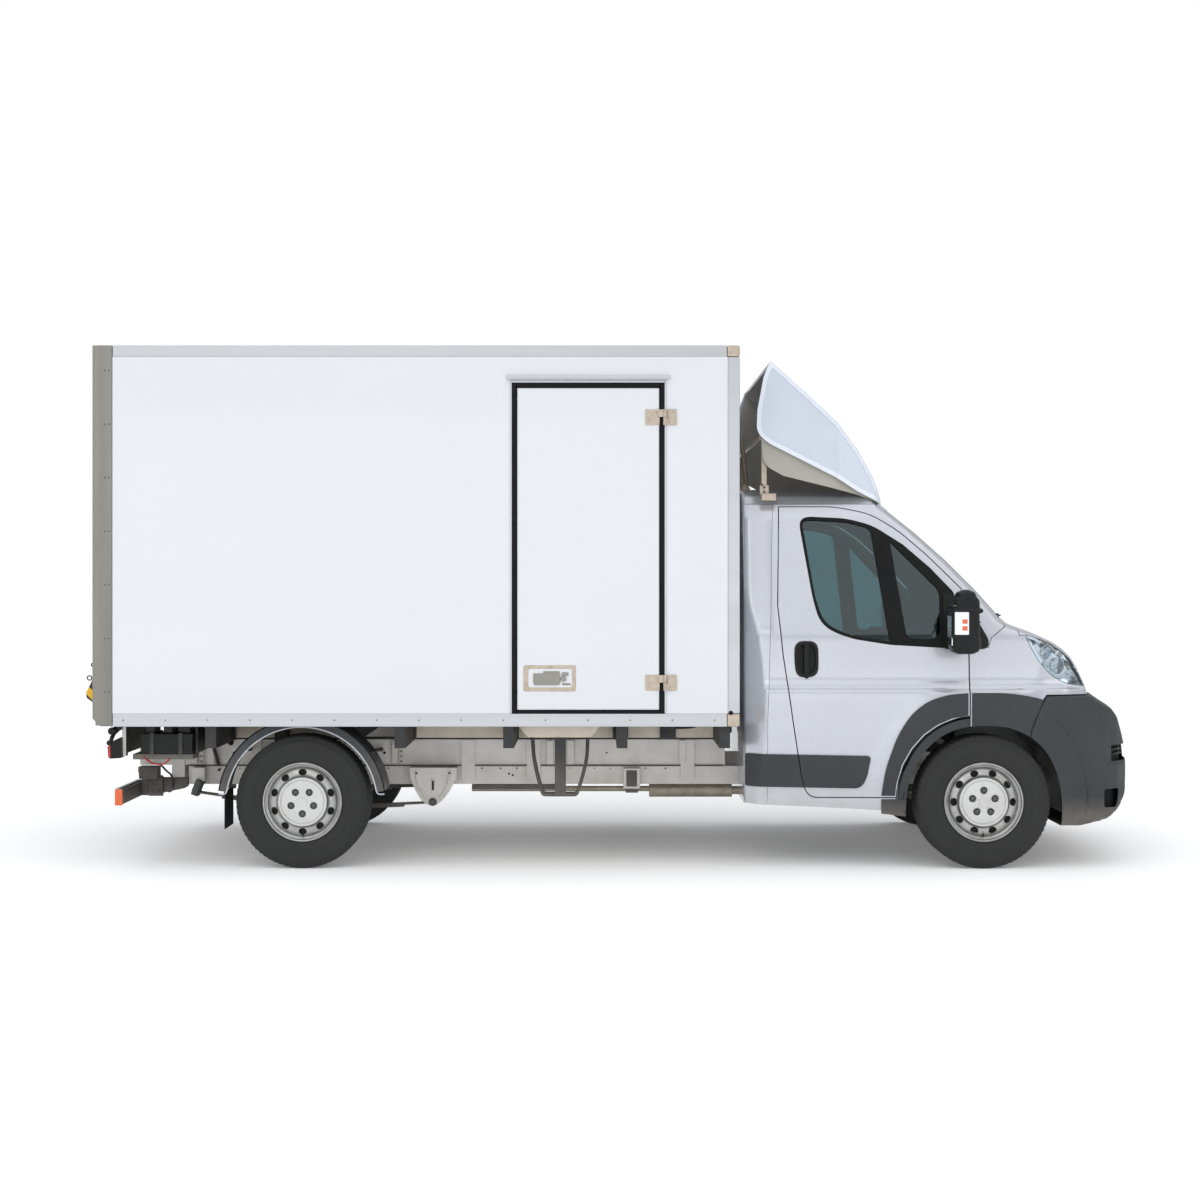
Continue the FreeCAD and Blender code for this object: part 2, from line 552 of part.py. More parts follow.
lift_mount = fuse(foot, cheek, mirrored(cheek))
node("warning_flags", pair(block(("rear_axle_x - rear_overhang", "platform_rear_x - seat_gap"),
                                 ("box_half - 76", "box_half - 68"), ("box_low + 111", "box_low + 283"))))

# ---------------------------------------------------------------- rear equipment
underrun = fuse(block(("box_rear_x + 84", "box_rear_x + 127"), (f"{rail_face} - 60", "box_half - 150"),
                      ("rail_low - 69", "rail_low + 24")),
                block(("box_rear_x + 120", f"{rail_back} - seat_gap"),
                      ("rail_centre - rail_width / 2", rail_face), ("rail_low - 50", "rail_low + 38")))
node("underrun_bar", group(underrun, mirrored(underrun), lift_mount))
lamp = block(("box_rear_x + 69", "box_rear_x + 146"), ("box_half - 200", "box_half - 50"),
             ("box_low - 182", "box_low - 62"))
stalk = block(("box_rear_x + 115", "box_rear_x + 140"), ("box_half - 140", "box_half - 110"),
              ("box_low - 63", "box_low - seat_gap"))
node("tail_lamps", pair(fuse(lamp, stalk)))
pack = block(("box_rear_x + 238", "box_rear_x + 528"), ("100 - box_half", "320 - box_half"),
             ("box_low - 165", "box_low - 50"))
pack_straps = [block((f"box_rear_x + {start}", f"box_rear_x + {start} + 30"),
                     ("140 - box_half", "280 - box_half"), ("box_low - 51", "box_low - seat_gap"))
               for start in (270, 470)]
node("power_pack", fuse(pack, *pack_straps))


def ring_piece(inner, outer, start, stop, low, high):
    """Arc-shaped plate about the rear axle, between two angles in degrees up from +X."""
    piece = doc.addObject("Part::Cylinder", "ring")
    piece.Placement = FreeCAD.Placement(Vector(0, 0, 0), FreeCAD.Rotation(AXES["x"], 90)
                                        * FreeCAD.Rotation(AXES["z"], start))
    piece.Angle = stop - start
    bind(piece, Radius=outer, Height=f"{high} - ({low})", base_y=high, base_z="tyre_radius")
    return cut(piece, rod("y", ("0", f"{low} - 1", "tyre_radius"), f"{high} - ({low}) + 2", inner))


guard_in, guard_out = "rear_track / 2 - 115", "rear_track / 2 + 125"
guard = fuse(ring_piece("guard_radius", "guard_radius + 6", 8, 172, guard_in, guard_out),
             ring_piece("guard_radius", "guard_radius + 11", 8, 172, f"{guard_out} - 8", guard_out))
flap = block(("-(guard_radius + 16)", "-(guard_radius + 10.3)"),
             ("rear_track / 2 - 110", "rear_track / 2 + 120"), ("tyre_radius - 149", "tyre_radius + 62"))
stay = block(("-(guard_radius + 10)", "-(guard_radius - 4)"),
             ("rear_track / 2 - 105", "rear_track / 2 + 115"), ("tyre_radius + 58", "tyre_radius + 70"))
stem = block(("-20", "20"), ("box_half - 320", "rear_track / 2 + 45"),
             ("tyre_radius + guard_radius + 4", "box_low - seat_gap"))
node("mudguards", moved(pair(group(fuse(guard, stay, stem), flap)), x="rear_axle_x"))

# Step below the side door: a stirrup of flat bars under a plate, drawn in cab coordinates.
step_outer = [("-2530", "box_low - 74"), ("-2480", "box_low - 402"), ("-2251", "box_low - 402"),
              ("-2197", "box_low - 74")]
step_inner = [("-2502", "box_low - 73"), ("-2455", "box_low - 382"), ("-2276", "box_low - 382"),
              ("-2225", "box_low - 73")]
stirrup = cut(prism("xz", at_axle(step_outer), "100 - box_half", "200 - box_half", "stirrup"),
              prism("xz", at_axle(step_inner), "99 - box_half", "201 - box_half", "stirrup"))
centre_strap = block(("front_axle_x - 2392", "front_axle_x - 2330"), ("188 - box_half", "198 - box_half"),
                     ("box_low - 390", "box_low - 74"))
shelf = prism("xz", at_axle([("-2587", "box_low - 27"), ("-2540", "box_low - 75"), ("-2190", "box_low - 75"),
                             ("-2145", "box_low - 27"), ("-2145", "box_low - seat_gap"),
                             ("-2587", "box_low - seat_gap")]), "50 - box_half", "240 - box_half", "shelf")
node("side_step", fuse(stirrup, centre_strap, shelf))

# ---------------------------------------------------------------- cab form
SWEEP = 2600  # the cab's front is turned about an upright axis this far behind the front axle
SWEEP_ANGLE = 36
HINGE_LINE = -84
DOOR_SWING = 1055  # the door's rear edge stays this near its hinge line, so it clears the pillar
BONNET_HINGE = (203, 1353)

# Side profile on the middle plane, in cab coordinates: x, z and the radius of the edge that follows.
CAB_PROFILE = [(-2500, 100), (-2500, 2150), (-1020, 2150, 3200), (-560, 2105, 160), (-425, 2036, 4200),
               (258, 1380), (290, 1352, 1500), (529, 1257, 420), (634, 1172, 600), (702, 1040, 900),
               (734, 940), (734, 100)]
# Front profile of the left half: y and z.
CAB_FRONT = [(0, 100), (962, 100), (972, 420), (1000, 620), (1013, 830), (1013, 960), (1004, 1120),
             (990, 1290), (822, 1985, 170), (722, 2092, 1300), (480, 2135, 3600), (0, 2151)]
# Plan of the left half: x and y.
CAB_PLAN = [(-1332, 0), (-1332, 950, 62), (-1270, 1012), (-900, 1013.5), (150, 1013.5, 900), (470, 965, 420),
            (690, 800, 300), (790, 560), (900, 0)]


def points_of(rows):
    """Corner points of an outline."""
    return [Vector(row[0], row[1], 0) for row in rows]


def inset_rows(rows, inset):
    """Rows of the same outline drawn inwards by the inset, each round edge about its own centre."""
    points = points_of(rows)
    turn = turn_of(points)
    normals = []
    for index, row in enumerate(rows):
        start, stop = points[index], points[(index + 1) % len(rows)]
        chord = stop - start
        outward = Vector(-chord.y, chord.x, 0).normalize() * turn
        swing = math.degrees(math.asin(chord.Length / 2 / row[2])) * turn if len(row) == 3 else 0
        turns = [FreeCAD.Rotation(AXES["z"], angle).multVec(outward) for angle in (swing, -swing)]
        normals.append(turns)
    result = []
    for index, row in enumerate(rows):
        before, after = normals[index - 1][1], normals[index][0]
        mitre = (before + after) * (1 / (1 + before.dot(after)))
        corner = points[index] - mitre * inset
        result.append((corner.x, corner.y) + ((row[2] - inset,) if len(row) == 3 else ()))
    return result


def face_of(rows, place, inset=0):
    """Flat face inside the rows, drawn inwards by the inset."""
    rows = inset_rows(rows, inset) if inset else rows
    points = points_of(rows)
    turn = turn_of(points)
    edges = []
    for index, row in enumerate(rows):
        start, stop = points[index], points[(index + 1) % len(rows)]
        if len(row) == 2:
            edges.append(Part.LineSegment(place(start), place(stop)).toShape())
            continue
        middle = arc_middle(start, stop, row[2], turn)
        edges.append(Part.Arc(place(start), place(middle), place(stop)).toShape())
    return Part.Face(Part.Wire(edges))


def mirrored_outline(rows, across):
    """Closed outline of a half that starts and ends on the middle line."""
    radii = [row[2] if len(row) > 2 else None for row in rows]
    outline = [tuple(row[:2]) + ((radii[index],) if radii[index] else ()) for index, row in enumerate(rows)]
    for index in range(len(rows) - 1, 0, -1):
        point = [-value if column == across else value for column, value in enumerate(rows[index][:2])]
        radius = radii[index - 1]
        if index == len(rows) - 1:
            outline[-1] = tuple(rows[-1][:2]) + ((radius,) if radius else ())
            continue
        outline.append(tuple(point) + ((radius,) if radius else ()))
    return outline


def in_side(point):
    """Place a side-view point on the middle plane."""
    return Vector(point.x, 0, point.y)


def in_front(point):
    """Place a front-view point, whose first value is y."""
    return Vector(-3000, point.x, point.y)


def in_plan(point):
    """Place a plan point."""
    return Vector(point.x, point.y, 0)


def wide(rows, column):
    """Scale the across column of an outline from its drawn half width to the sheet's."""
    scale = size("cab_half_width") / 1025
    return [tuple(value * scale if place == column else value for place, value in enumerate(row))
            for row in rows]


def swept_form(profile, front, plan, inset=0):
    """Solid shared by a turned side profile, a front profile and a plan."""
    side = face_of(profile, in_side, inset)
    side.rotate(Vector(-SWEEP, 0, 0), AXES["z"], -SWEEP_ANGLE)
    turned_side = side.revolve(Vector(-SWEEP, 0, 0), AXES["z"], 2 * SWEEP_ANGLE)
    across = face_of(mirrored_outline(wide(front, 0), 0), in_front, inset).extrude(Vector(5000, 0, 0))
    above = face_of(mirrored_outline(wide(plan, 1), 1), in_plan, inset).extrude(Vector(0, 0, 3000))
    return turned_side.common(across).common(above)


def slab(rows, low, high, inset=0):
    """Plate cut along a side-view outline, between two places across the cab."""
    return face_of(rows, in_side, inset).translated(Vector(0, low, 0)).extrude(Vector(0, high - low, 0))


def brick(x, y, z):
    """Plain box between two places along each axis."""
    return Part.makeBox(x[1] - x[0], y[1] - y[0], z[1] - z[0], Vector(x[0], y[0], z[0]))


def mirror_of(shape):
    """Mirror image across the middle plane."""
    return shape.mirror(Vector(0, 0, 0), AXES["y"])


def cab_node(name, shape):
    """Write one cab panel, drawn in cab coordinates, at its place behind the bumper."""
    solids = [solid for solid in shape.Solids if solid.Volume > 2000]
    thing = feature(solids[0] if len(solids) == 1 else Part.makeCompound(solids), name)
    bind(thing, base_x="front_axle_x", base_z="cab_lift")
    return node(name, thing)


wall_thick = size("cab_wall")
half_wide = size("cab_half_width")
gap = size("panel_gap")
seat = size("seat_gap")
sill_low = size("sill_height")
FAR = 3000

outer = swept_form(CAB_PROFILE, CAB_FRONT, CAB_PLAN)
inner = swept_form(CAB_PROFILE, CAB_FRONT, CAB_PLAN, wall_thick)
shell = outer.cut(inner).common(brick((-FAR, FAR), (-FAR, FAR), (sill_low, FAR)))

# Outlines in cab coordinates, x and z.
DOOR = [(-1122, 2024), (-1140, 1467), (-1114, 1189), (-1062, 830), (-1015, 532), (-986, 423), (-947, 398),
        (-486, 398), (-486, 430, 490), (-309, 760, 490), (-84, 858), (-84, 1181), (-113, 1560), (-301, 1752),
        (-457, 1905), (-613, 1990), (-808, 2024)]
SIDE_GLASS = [(-1000, 1955), (-1006, 1560), (-1004, 1420), (-970, 1372), (-860, 1342), (-560, 1322),
              (-240, 1318), (-215, 1560), (-330, 1690), (-480, 1820), (-630, 1915), (-800, 1952)]
HEADLAMP = [(232, 1310), (289, 1176), (390, 1068), (483, 1031), (576, 1020), (760, 1018), (760, 1310)]
BUMPER_SEAM = [(300, 100), (250, 768), (300, 907), (344, 962), (1000, 962), (1000, 100)]
BONNET_SIDE = [(BONNET_HINGE[0], 1304), (238, 1304), (433, 1256), (534, 1177), (613, 1025), (640, 968),
               (1000, 968), (1000, 1500), (BONNET_HINGE[0], 1500)]
LAMP_INSIDE = 600
COWL_RADIUS = SWEEP + 290
SCREEN_FRONT = [(0, 1395), (770, 1395), (690, 2010), (0, 2030)]
CLADDING = [(-560, 384), (-538, 552), (-468, 771), (-349, 910), (-189, 970), (128, 975), (420, 930),
            (600, 800), (600, 200), (-560, 200)]
STRIP = [(-1322, 452), (-1322, 637), (-631, 637), (-600, 545), (-620, 452)]

arch = size("arch_radius")
wheel_hole = Part.makeCylinder(arch, 2 * FAR, Vector(0, -FAR, size("cab_datum")), AXES["y"])
wheel_hole = wheel_hole.fuse(brick((-arch, arch), (-FAR, FAR), (0, size("cab_datum"))))
bumper_zone = slab(BUMPER_SEAM, -FAR, FAR)
door_zone = slab(DOOR, -FAR, FAR)
door_hole = slab(DOOR, -FAR, FAR, -gap)


def bonnet_region(outset):
    """Space over the engine that the bonnet fills, or its hole when drawn larger."""
    half_nose = LAMP_INSIDE - gap + outset
    nose = brick((400 - outset, 1000), (-half_nose, half_nose), (968 - outset, 1500))
    scuttle = Part.makeCylinder(COWL_RADIUS - outset, FAR, Vector(-SWEEP, 0, 0))
    return slab(BONNET_SIDE, -FAR, FAR, -outset).fuse(nose).cut(scuttle)


bonnet_zone, bonnet_hole = bonnet_region(0), bonnet_region(gap)
lamp_zone = slab(HEADLAMP, -FAR, FAR).cut(brick((-FAR, FAR), (-LAMP_INSIDE, LAMP_INSIDE), (0, FAR)))
lamp_hole = slab(HEADLAMP, -FAR, FAR, -seat).cut(
    brick((-FAR, FAR), (-LAMP_INSIDE + seat, LAMP_INSIDE - seat), (0, FAR)))
screen_zone = face_of(mirrored_outline(SCREEN_FRONT, 0), in_front).translated(
    Vector(3000 - 560, 0, 0)).extrude(Vector(900, 0, 0))
screen_hole = face_of(mirrored_outline(SCREEN_FRONT, 0), in_front, -seat).translated(
    Vector(3000 - 560, 0, 0)).extrude(Vector(900, 0, 0))

roof_line, rear_line = 2060, -size("cab_back") + wall_thick + 1
front_line = HINGE_LINE + gap
body_shell = shell.cut(wheel_hole).cut(bumper_zone).cut(bonnet_hole)
body_shell = body_shell.cut(lamp_hole).cut(door_hole).cut(screen_hole)

cab_node("cab_roof", body_shell.common(brick((-FAR, FAR), (-FAR, FAR), (roof_line, FAR))))
wall_foot = size("subframe_low - cab_lift") + 2
rear_zone = brick((-FAR, rear_line), (-960, 960), (wall_foot, roof_line - seat))
cab_node("cab_rear_wall", body_shell.common(rear_zone))
cowl_zone = brick((100, FAR), (-700, 700), (1330, 1400))
pins = [Part.makeCylinder(4, 50, Vector(BONNET_HINGE[0], y, BONNET_HINGE[1]), AXES["y"])
        for y in (-695, 645)]
pin_holes = [Part.makeCylinder(4 + size("running_clearance"), 52,
                               Vector(BONNET_HINGE[0], y, BONNET_HINGE[1]),
                               AXES["y"]) for y in (-696, 644)]
cab_node("cowl_panel", body_shell.common(cowl_zone).fuse(pins))
cowl_hole = brick((100, FAR), (-700 - seat, 700 + seat), (1330, 1400 + seat))
side_zone = brick((-FAR, front_line), (-FAR, FAR), (sill_low, roof_line - seat)).fuse(
    brick((front_line, FAR), (-FAR, FAR), (1330, roof_line - seat)))
rear_gap = brick((-FAR, rear_line + seat), (-960 - seat, 960 + seat), (0, FAR))
sides = body_shell.common(side_zone).cut(rear_gap).cut(cowl_hole)
for side, sign in SIDES.items():
    reach = sorted((0, sign * FAR))
    cab_node(f"cab_side_{side}", sides.common(brick((-FAR, FAR), reach, (0, FAR))))
fender_zone = brick((front_line + seat, FAR), (-FAR, FAR), (sill_low, 1330 - seat))
cab_node("front_fenders", body_shell.common(fender_zone))
cab_node("bonnet", shell.common(bonnet_zone).cut(pin_holes))
cab_node("headlamps", shell.common(lamp_zone).cut(bumper_zone).cut(bonnet_hole))
cab_node("windscreen", swept_form(CAB_PROFILE, CAB_FRONT, CAB_PLAN, 8).cut(
    swept_form(CAB_PROFILE, CAB_FRONT, CAB_PLAN, 14)).common(screen_zone))

# ---------------------------------------------------------------- doors, cladding and mirrors
tight = swept_form(CAB_PROFILE, CAB_FRONT, CAB_PLAN, -seat)
skin = swept_form(CAB_PROFILE, CAB_FRONT, CAB_PLAN, -12).cut(tight)
clad = skin.common(slab(CLADDING, -FAR, FAR)).cut(wheel_hole)
strip = skin.common(slab(STRIP, -FAR, FAR)).cut(slab(CLADDING, -FAR, FAR, -gap))
clad = clad.cut(brick((-FAR, FAR), (-800, 800), (0, FAR)))
strip = strip.cut(brick((-FAR, FAR), (-800, 800), (0, FAR)))
door_pin = Part.makeCylinder(4, 70, Vector(HINGE_LINE, half_wide, 880))
door_pin_hole = Part.makeCylinder(4 + size("running_clearance"), 72, Vector(HINGE_LINE, half_wide, 879))
fixed_clad = clad.cut(bumper_zone).cut(slab(DOOR, -FAR, FAR, -gap - 2))
hinge_pins = [door_pin, mirror_of(door_pin)]
fixed = fixed_clad.common(brick((front_line + seat, FAR), (-FAR, FAR), (sill_low, FAR)))
pin_lug = brick((HINGE_LINE + 1, front_line + 2), (half_wide - 9, half_wide - 3), (880, 950))
fixed = fixed.fuse([pin_lug, mirror_of(pin_lug)] + hinge_pins)
quarter = strip.cut(door_hole)
cab_node("arch_cladding", Part.makeCompound(fixed.Solids + quarter.Solids))

window = slab(SIDE_GLASS, -FAR, FAR)
pane_skin = swept_form(CAB_PROFILE, CAB_FRONT, CAB_PLAN, 16)
pane_skin = pane_skin.cut(swept_form(CAB_PROFILE, CAB_FRONT, CAB_PLAN, 21))
housing = brick((-235, -85), (-1290, -1110), (1203, 1561))
lower_arm = brick((-190, -120), (-1112, -900), (1250, 1300))
upper_arm = brick((-180, -130), (-1112, -900), (1440, 1465))
mirror_piece = housing.fuse(lower_arm.fuse(upper_arm).cut(tight))
for side, sign in SIDES.items():
    half_space = brick((-FAR, FAR), sorted((sign * 500, sign * FAR)), (0, FAR))
    swing = Part.makeCylinder(DOOR_SWING, FAR, Vector(HINGE_LINE, sign * half_wide, 0))
    panel = shell.common(door_zone).common(half_space).common(swing)
    holes = [door_pin_hole, mirror_of(door_pin_hole)]
    cab_node(f"door_{side}", panel.cut(window).cut(holes))
    cab_node(f"door_glass_{side}", pane_skin.common(slab(SIDE_GLASS, -FAR, FAR, seat)).common(half_space))
    trim = clad.common(door_zone).fuse(strip.common(door_zone)).common(half_space).cut(holes)
    mirror_side = mirror_piece if sign < 0 else mirror_of(mirror_piece)
    cab_node(f"door_trim_{side}", Part.makeCompound(trim.Solids + mirror_side.Solids))

# ---------------------------------------------------------------- bumper and grille
BUMPER_PROFILE = [(100, 236), (100, 958), (742, 958), (760, 944, 300), (862, 878, 300), (905, 790, 600),
                  (938, 665, 500), (948, 562, 700), (944, 412, 200), (901, 326, 200), (838, 272), (690, 236)]
BUMPER_FRONT = [(0, 200), (960, 200), (1000, 330, 900), (1024, 620), (1024, 860), (1016, 1000), (0, 1000)]
BUMPER_PLAN = [(50, 0), (50, 1025), (430, 1025, 900), (690, 950, 420), (850, 790, 300), (932, 560, 1800),
               (975, 250), (975, 0)]
bumper_outer = swept_form(BUMPER_PROFILE, BUMPER_FRONT, BUMPER_PLAN)
bumper_inner = swept_form(BUMPER_PROFILE, BUMPER_FRONT, BUMPER_PLAN, 35)
mouth = brick((700, 1100), (-520, 520), (600, 850))
bumper = bumper_outer.cut(bumper_inner).common(slab(BUMPER_SEAM, -FAR, FAR, seat)).cut(wheel_hole)
bumper = bumper.cut(brick((0, 690), (-880, 880), (0, FAR)))
cab_node("front_bumper", bumper.cut(mouth))
grille = swept_form(BUMPER_PROFILE, BUMPER_FRONT, BUMPER_PLAN, 14).cut(
    swept_form(BUMPER_PROFILE, BUMPER_FRONT, BUMPER_PLAN, 24))
cab_node("grille", grille.common(brick((700, 1100), (-520 + seat, 520 - seat), (600 + seat, 850 - seat))))

# ---------------------------------------------------------------- cab floor and interior
FLOOR = [(-1286.5, 530), (-450, 530), (-372, 650), (-262, 755), (-130, 832), (60, 840), (60, 1302),
         (190, 1302), (190, 1326), (36, 1326), (36, 864), (-138, 858), (-278, 780), (-396, 672), (-462, 556),
         (-1286.5, 556)]
rocker = brick((-1286.5, -470), (860, 905), (384, 531))
rest = brick((-1200, -1120), (420, 480), (size("rail_high - cab_lift") + seat, 531))
rest_front = brick((-560, -480), (420, 480), (size("rail_high - cab_lift") + seat, 531))
floor_parts = [slab(FLOOR, -915, 915)]
for piece in (rocker, rest, rest_front):
    floor_parts += [piece, mirror_of(piece)]
cabin = swept_form(CAB_PROFILE, CAB_FRONT, CAB_PLAN, wall_thick + seat)
cab_node("cab_floor", floor_parts[0].common(cabin).fuse(floor_parts[1:]).removeSplitter())
DASH = [(35.7, 900), (35.7, 1300), (-60, 1325), (-200, 1310), (-330, 1235), (-345, 1080), (-250, 960),
        (-100, 900)]
TILT = 38
wheel_hub = Vector(-520, 450, 1150)
column_way = Vector(math.cos(math.radians(TILT)), 0, -math.sin(math.radians(TILT)))
column = Part.makeCylinder(22, 310, wheel_hub + column_way * 26, column_way)
stub = Part.makeCylinder(12, 60, wheel_hub - column_way * 20, column_way)
cab_node("dashboard", slab(DASH, -900, 900).fuse([column, stub]))
hub = Part.makeCylinder(45, 45, wheel_hub - column_way * 19.7, column_way)
ring = Part.makeTorus(190, 15, wheel_hub, column_way)
spokes = []
for angle in (90, 210, 330):
    spoke = Part.makeBox(160, 36, 12, Vector(30, -18, -6))
    spoke.rotate(Vector(0, 0, 0), AXES["z"], angle)
    spoke.rotate(Vector(0, 0, 0), AXES["y"], TILT - 90)
    spoke.translate(wheel_hub)
    spokes.append(spoke)
bore = Part.makeCylinder(12 + size("running_clearance"), 80, wheel_hub - column_way * 30, column_way)
cab_node("steering_wheel", ring.fuse(spokes + [hub]).cut(bore))
SEAT = [(-1000, 556.3), (-620, 556.3), (-600, 740), (-540, 770), (-540, 880), (-1000, 865), (-1130, 1440),
        (-1135, 1640), (-1230, 1640), (-1250, 1440), (-1140, 840), (-1100, 740), (-1000, 720)]
cab_node("seats", Part.makeCompound([slab(SEAT, 220, 680), slab(SEAT, -760, -60)]))

# ---------------------------------------------------------------- air deflector
DEFLECTOR = [(-1251, 2453), (-1246, 2572), (-1212, 2753), (-1178, 2849), (-1082, 2764), (-935, 2634),
             (-788, 2498, 900), (-664, 2340, 900), (-584, 2204), (-531, 2080), (-528, 2052), (-669, 2119),
             (-794, 2193), (-1212, 2396)]
DEFLECTOR_HOLLOW = [(-1500, 1900), (-1500, 2817), (-1178, 2817), (-1097, 2745), (-951, 2617),
                    (-806, 2482, 878), (-684, 2328, 878), (-605, 2194), (-554, 2070), (-551, 1900)]
DEFLECTOR_PLAN = [(-1400, 0), (-1400, 880), (-1100, 870), (-800, 835, 900), (-560, 740), (-480, 600),
                  (-480, 0)]
fairing = slab(DEFLECTOR, -900, 900).common(
    face_of(mirrored_outline(DEFLECTOR_PLAN, 1), in_plan).extrude(Vector(0, 0, FAR)))
hollow = slab(DEFLECTOR_HOLLOW, -900, 900).common(
    face_of(mirrored_outline(DEFLECTOR_PLAN, 1), in_plan, 22).extrude(Vector(0, 0, FAR)))
leg = brick((-1225, -1195), (800, 862), (1800, 2450))
cab_node("air_deflector", fairing.cut(hollow).fuse([leg, mirror_of(leg)]).cut(tight))

# ---------------------------------------------------------------- checks and files
doc.recompute()
for thing in doc.Objects:
    if {"Invalid", "Error"} & set(thing.State):
        raise RuntimeError(f"{thing.Label}: {thing.State}")
for name, thing in nodes.items():
    shape = thing.Shape
    if shape.isNull() or not shape.isValid() or not shape.Solids:
        raise RuntimeError(f"{name}: bad shape")
os.makedirs("parts", exist_ok=True)
for name, thing in nodes.items():
    thing.Shape.exportStep(f"parts/{name}.step")
    box = thing.Shape.BoundBox
    print(f"{name:24s} {len(thing.Shape.Solids)} solids, {thing.Shape.Volume / 1e6:9.2f} litres,"
          f" x {box.XMin:.0f} {box.XMax:.0f} y {box.YMin:.0f} {box.YMax:.0f} z {box.ZMin:.0f} {box.ZMax:.0f}")
print(f"{len(nodes)} nodes")
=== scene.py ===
"""Visual model of a light box truck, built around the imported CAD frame.

Everything is in metres in the frame's own axes: +X forward, +Y to the left, +Z up. Outlines of the
cab are drawn from the front axle, x forward and z above the ground. Each sub-assembly is a class
whose fields are its sizes and whose build method makes its meshes, dresses them and hands them over.
"""

import json
import logging
import math
import random
from dataclasses import dataclass, field
from enum import Enum
from typing import Callable, Iterable, Sequence

import bmesh
import bpy
from mathutils import Matrix, Vector
from mathutils.bvhtree import BVHTree

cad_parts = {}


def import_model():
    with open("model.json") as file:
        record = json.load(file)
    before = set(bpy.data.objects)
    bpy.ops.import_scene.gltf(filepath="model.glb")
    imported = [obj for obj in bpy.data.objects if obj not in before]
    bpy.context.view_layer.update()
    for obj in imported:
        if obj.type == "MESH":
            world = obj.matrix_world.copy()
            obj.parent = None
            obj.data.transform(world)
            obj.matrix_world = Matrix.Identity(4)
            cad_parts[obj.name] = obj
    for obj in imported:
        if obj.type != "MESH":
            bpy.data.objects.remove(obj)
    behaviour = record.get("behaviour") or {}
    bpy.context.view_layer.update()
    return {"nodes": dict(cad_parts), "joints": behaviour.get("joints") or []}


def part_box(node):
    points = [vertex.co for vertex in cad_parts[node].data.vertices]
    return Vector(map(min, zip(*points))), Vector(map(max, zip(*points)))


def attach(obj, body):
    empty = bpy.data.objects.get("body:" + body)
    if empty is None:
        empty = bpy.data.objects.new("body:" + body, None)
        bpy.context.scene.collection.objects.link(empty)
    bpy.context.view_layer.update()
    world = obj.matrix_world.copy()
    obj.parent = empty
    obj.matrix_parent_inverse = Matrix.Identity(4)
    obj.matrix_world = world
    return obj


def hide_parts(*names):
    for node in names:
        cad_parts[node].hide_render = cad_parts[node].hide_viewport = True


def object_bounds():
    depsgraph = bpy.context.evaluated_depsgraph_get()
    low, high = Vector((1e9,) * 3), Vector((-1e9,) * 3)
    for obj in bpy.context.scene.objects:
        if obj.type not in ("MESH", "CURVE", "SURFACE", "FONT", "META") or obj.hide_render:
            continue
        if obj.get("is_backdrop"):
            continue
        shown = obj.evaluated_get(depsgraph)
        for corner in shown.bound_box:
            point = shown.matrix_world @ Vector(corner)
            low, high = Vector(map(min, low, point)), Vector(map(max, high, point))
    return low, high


log = logging.getLogger("box_truck")
Mesh = bmesh.types.BMesh
Rows = Sequence[tuple[float, ...]]
SIDES = {"right": -1, "left": 1}
FAR = 3.0


# ------------------------------------------------------------------ node trees
def linear(code: str) -> tuple[float, float, float, float]:
    """Turn an sRGB hex colour into linear values.

    Args:
        code: colour such as "#C9CDD6".

    Returns:
        Linear red, green, blue and an alpha of 1.
    """
    parts = [int(code[i:i + 2], 16) / 255 for i in (1, 3, 5)]
    return (*(p / 12.92 if p <= 0.04045 else ((p + 0.055) / 1.055) ** 2.4 for p in parts), 1.0)


def add(tree: bpy.types.NodeTree, kind: str, sockets: dict | None = None, **settings) -> bpy.types.Node:
    """Add a shader node with its settings, numbers and links.

    Args:
        tree: node tree to add to.
        kind: node type, without its "ShaderNode" prefix.
        sockets: values or output sockets by input name or number.
        **settings: attributes of the node.

    Returns:
        The new node.
    """
    node = tree.nodes.new("ShaderNode" + kind)
    for name, value in settings.items():
        setattr(node, name, value)
    for name, value in (sockets or {}).items():
        if isinstance(value, bpy.types.NodeSocket):
            tree.links.new(value, node.inputs[name])
        else:
            node.inputs[name].default_value = value
    return node


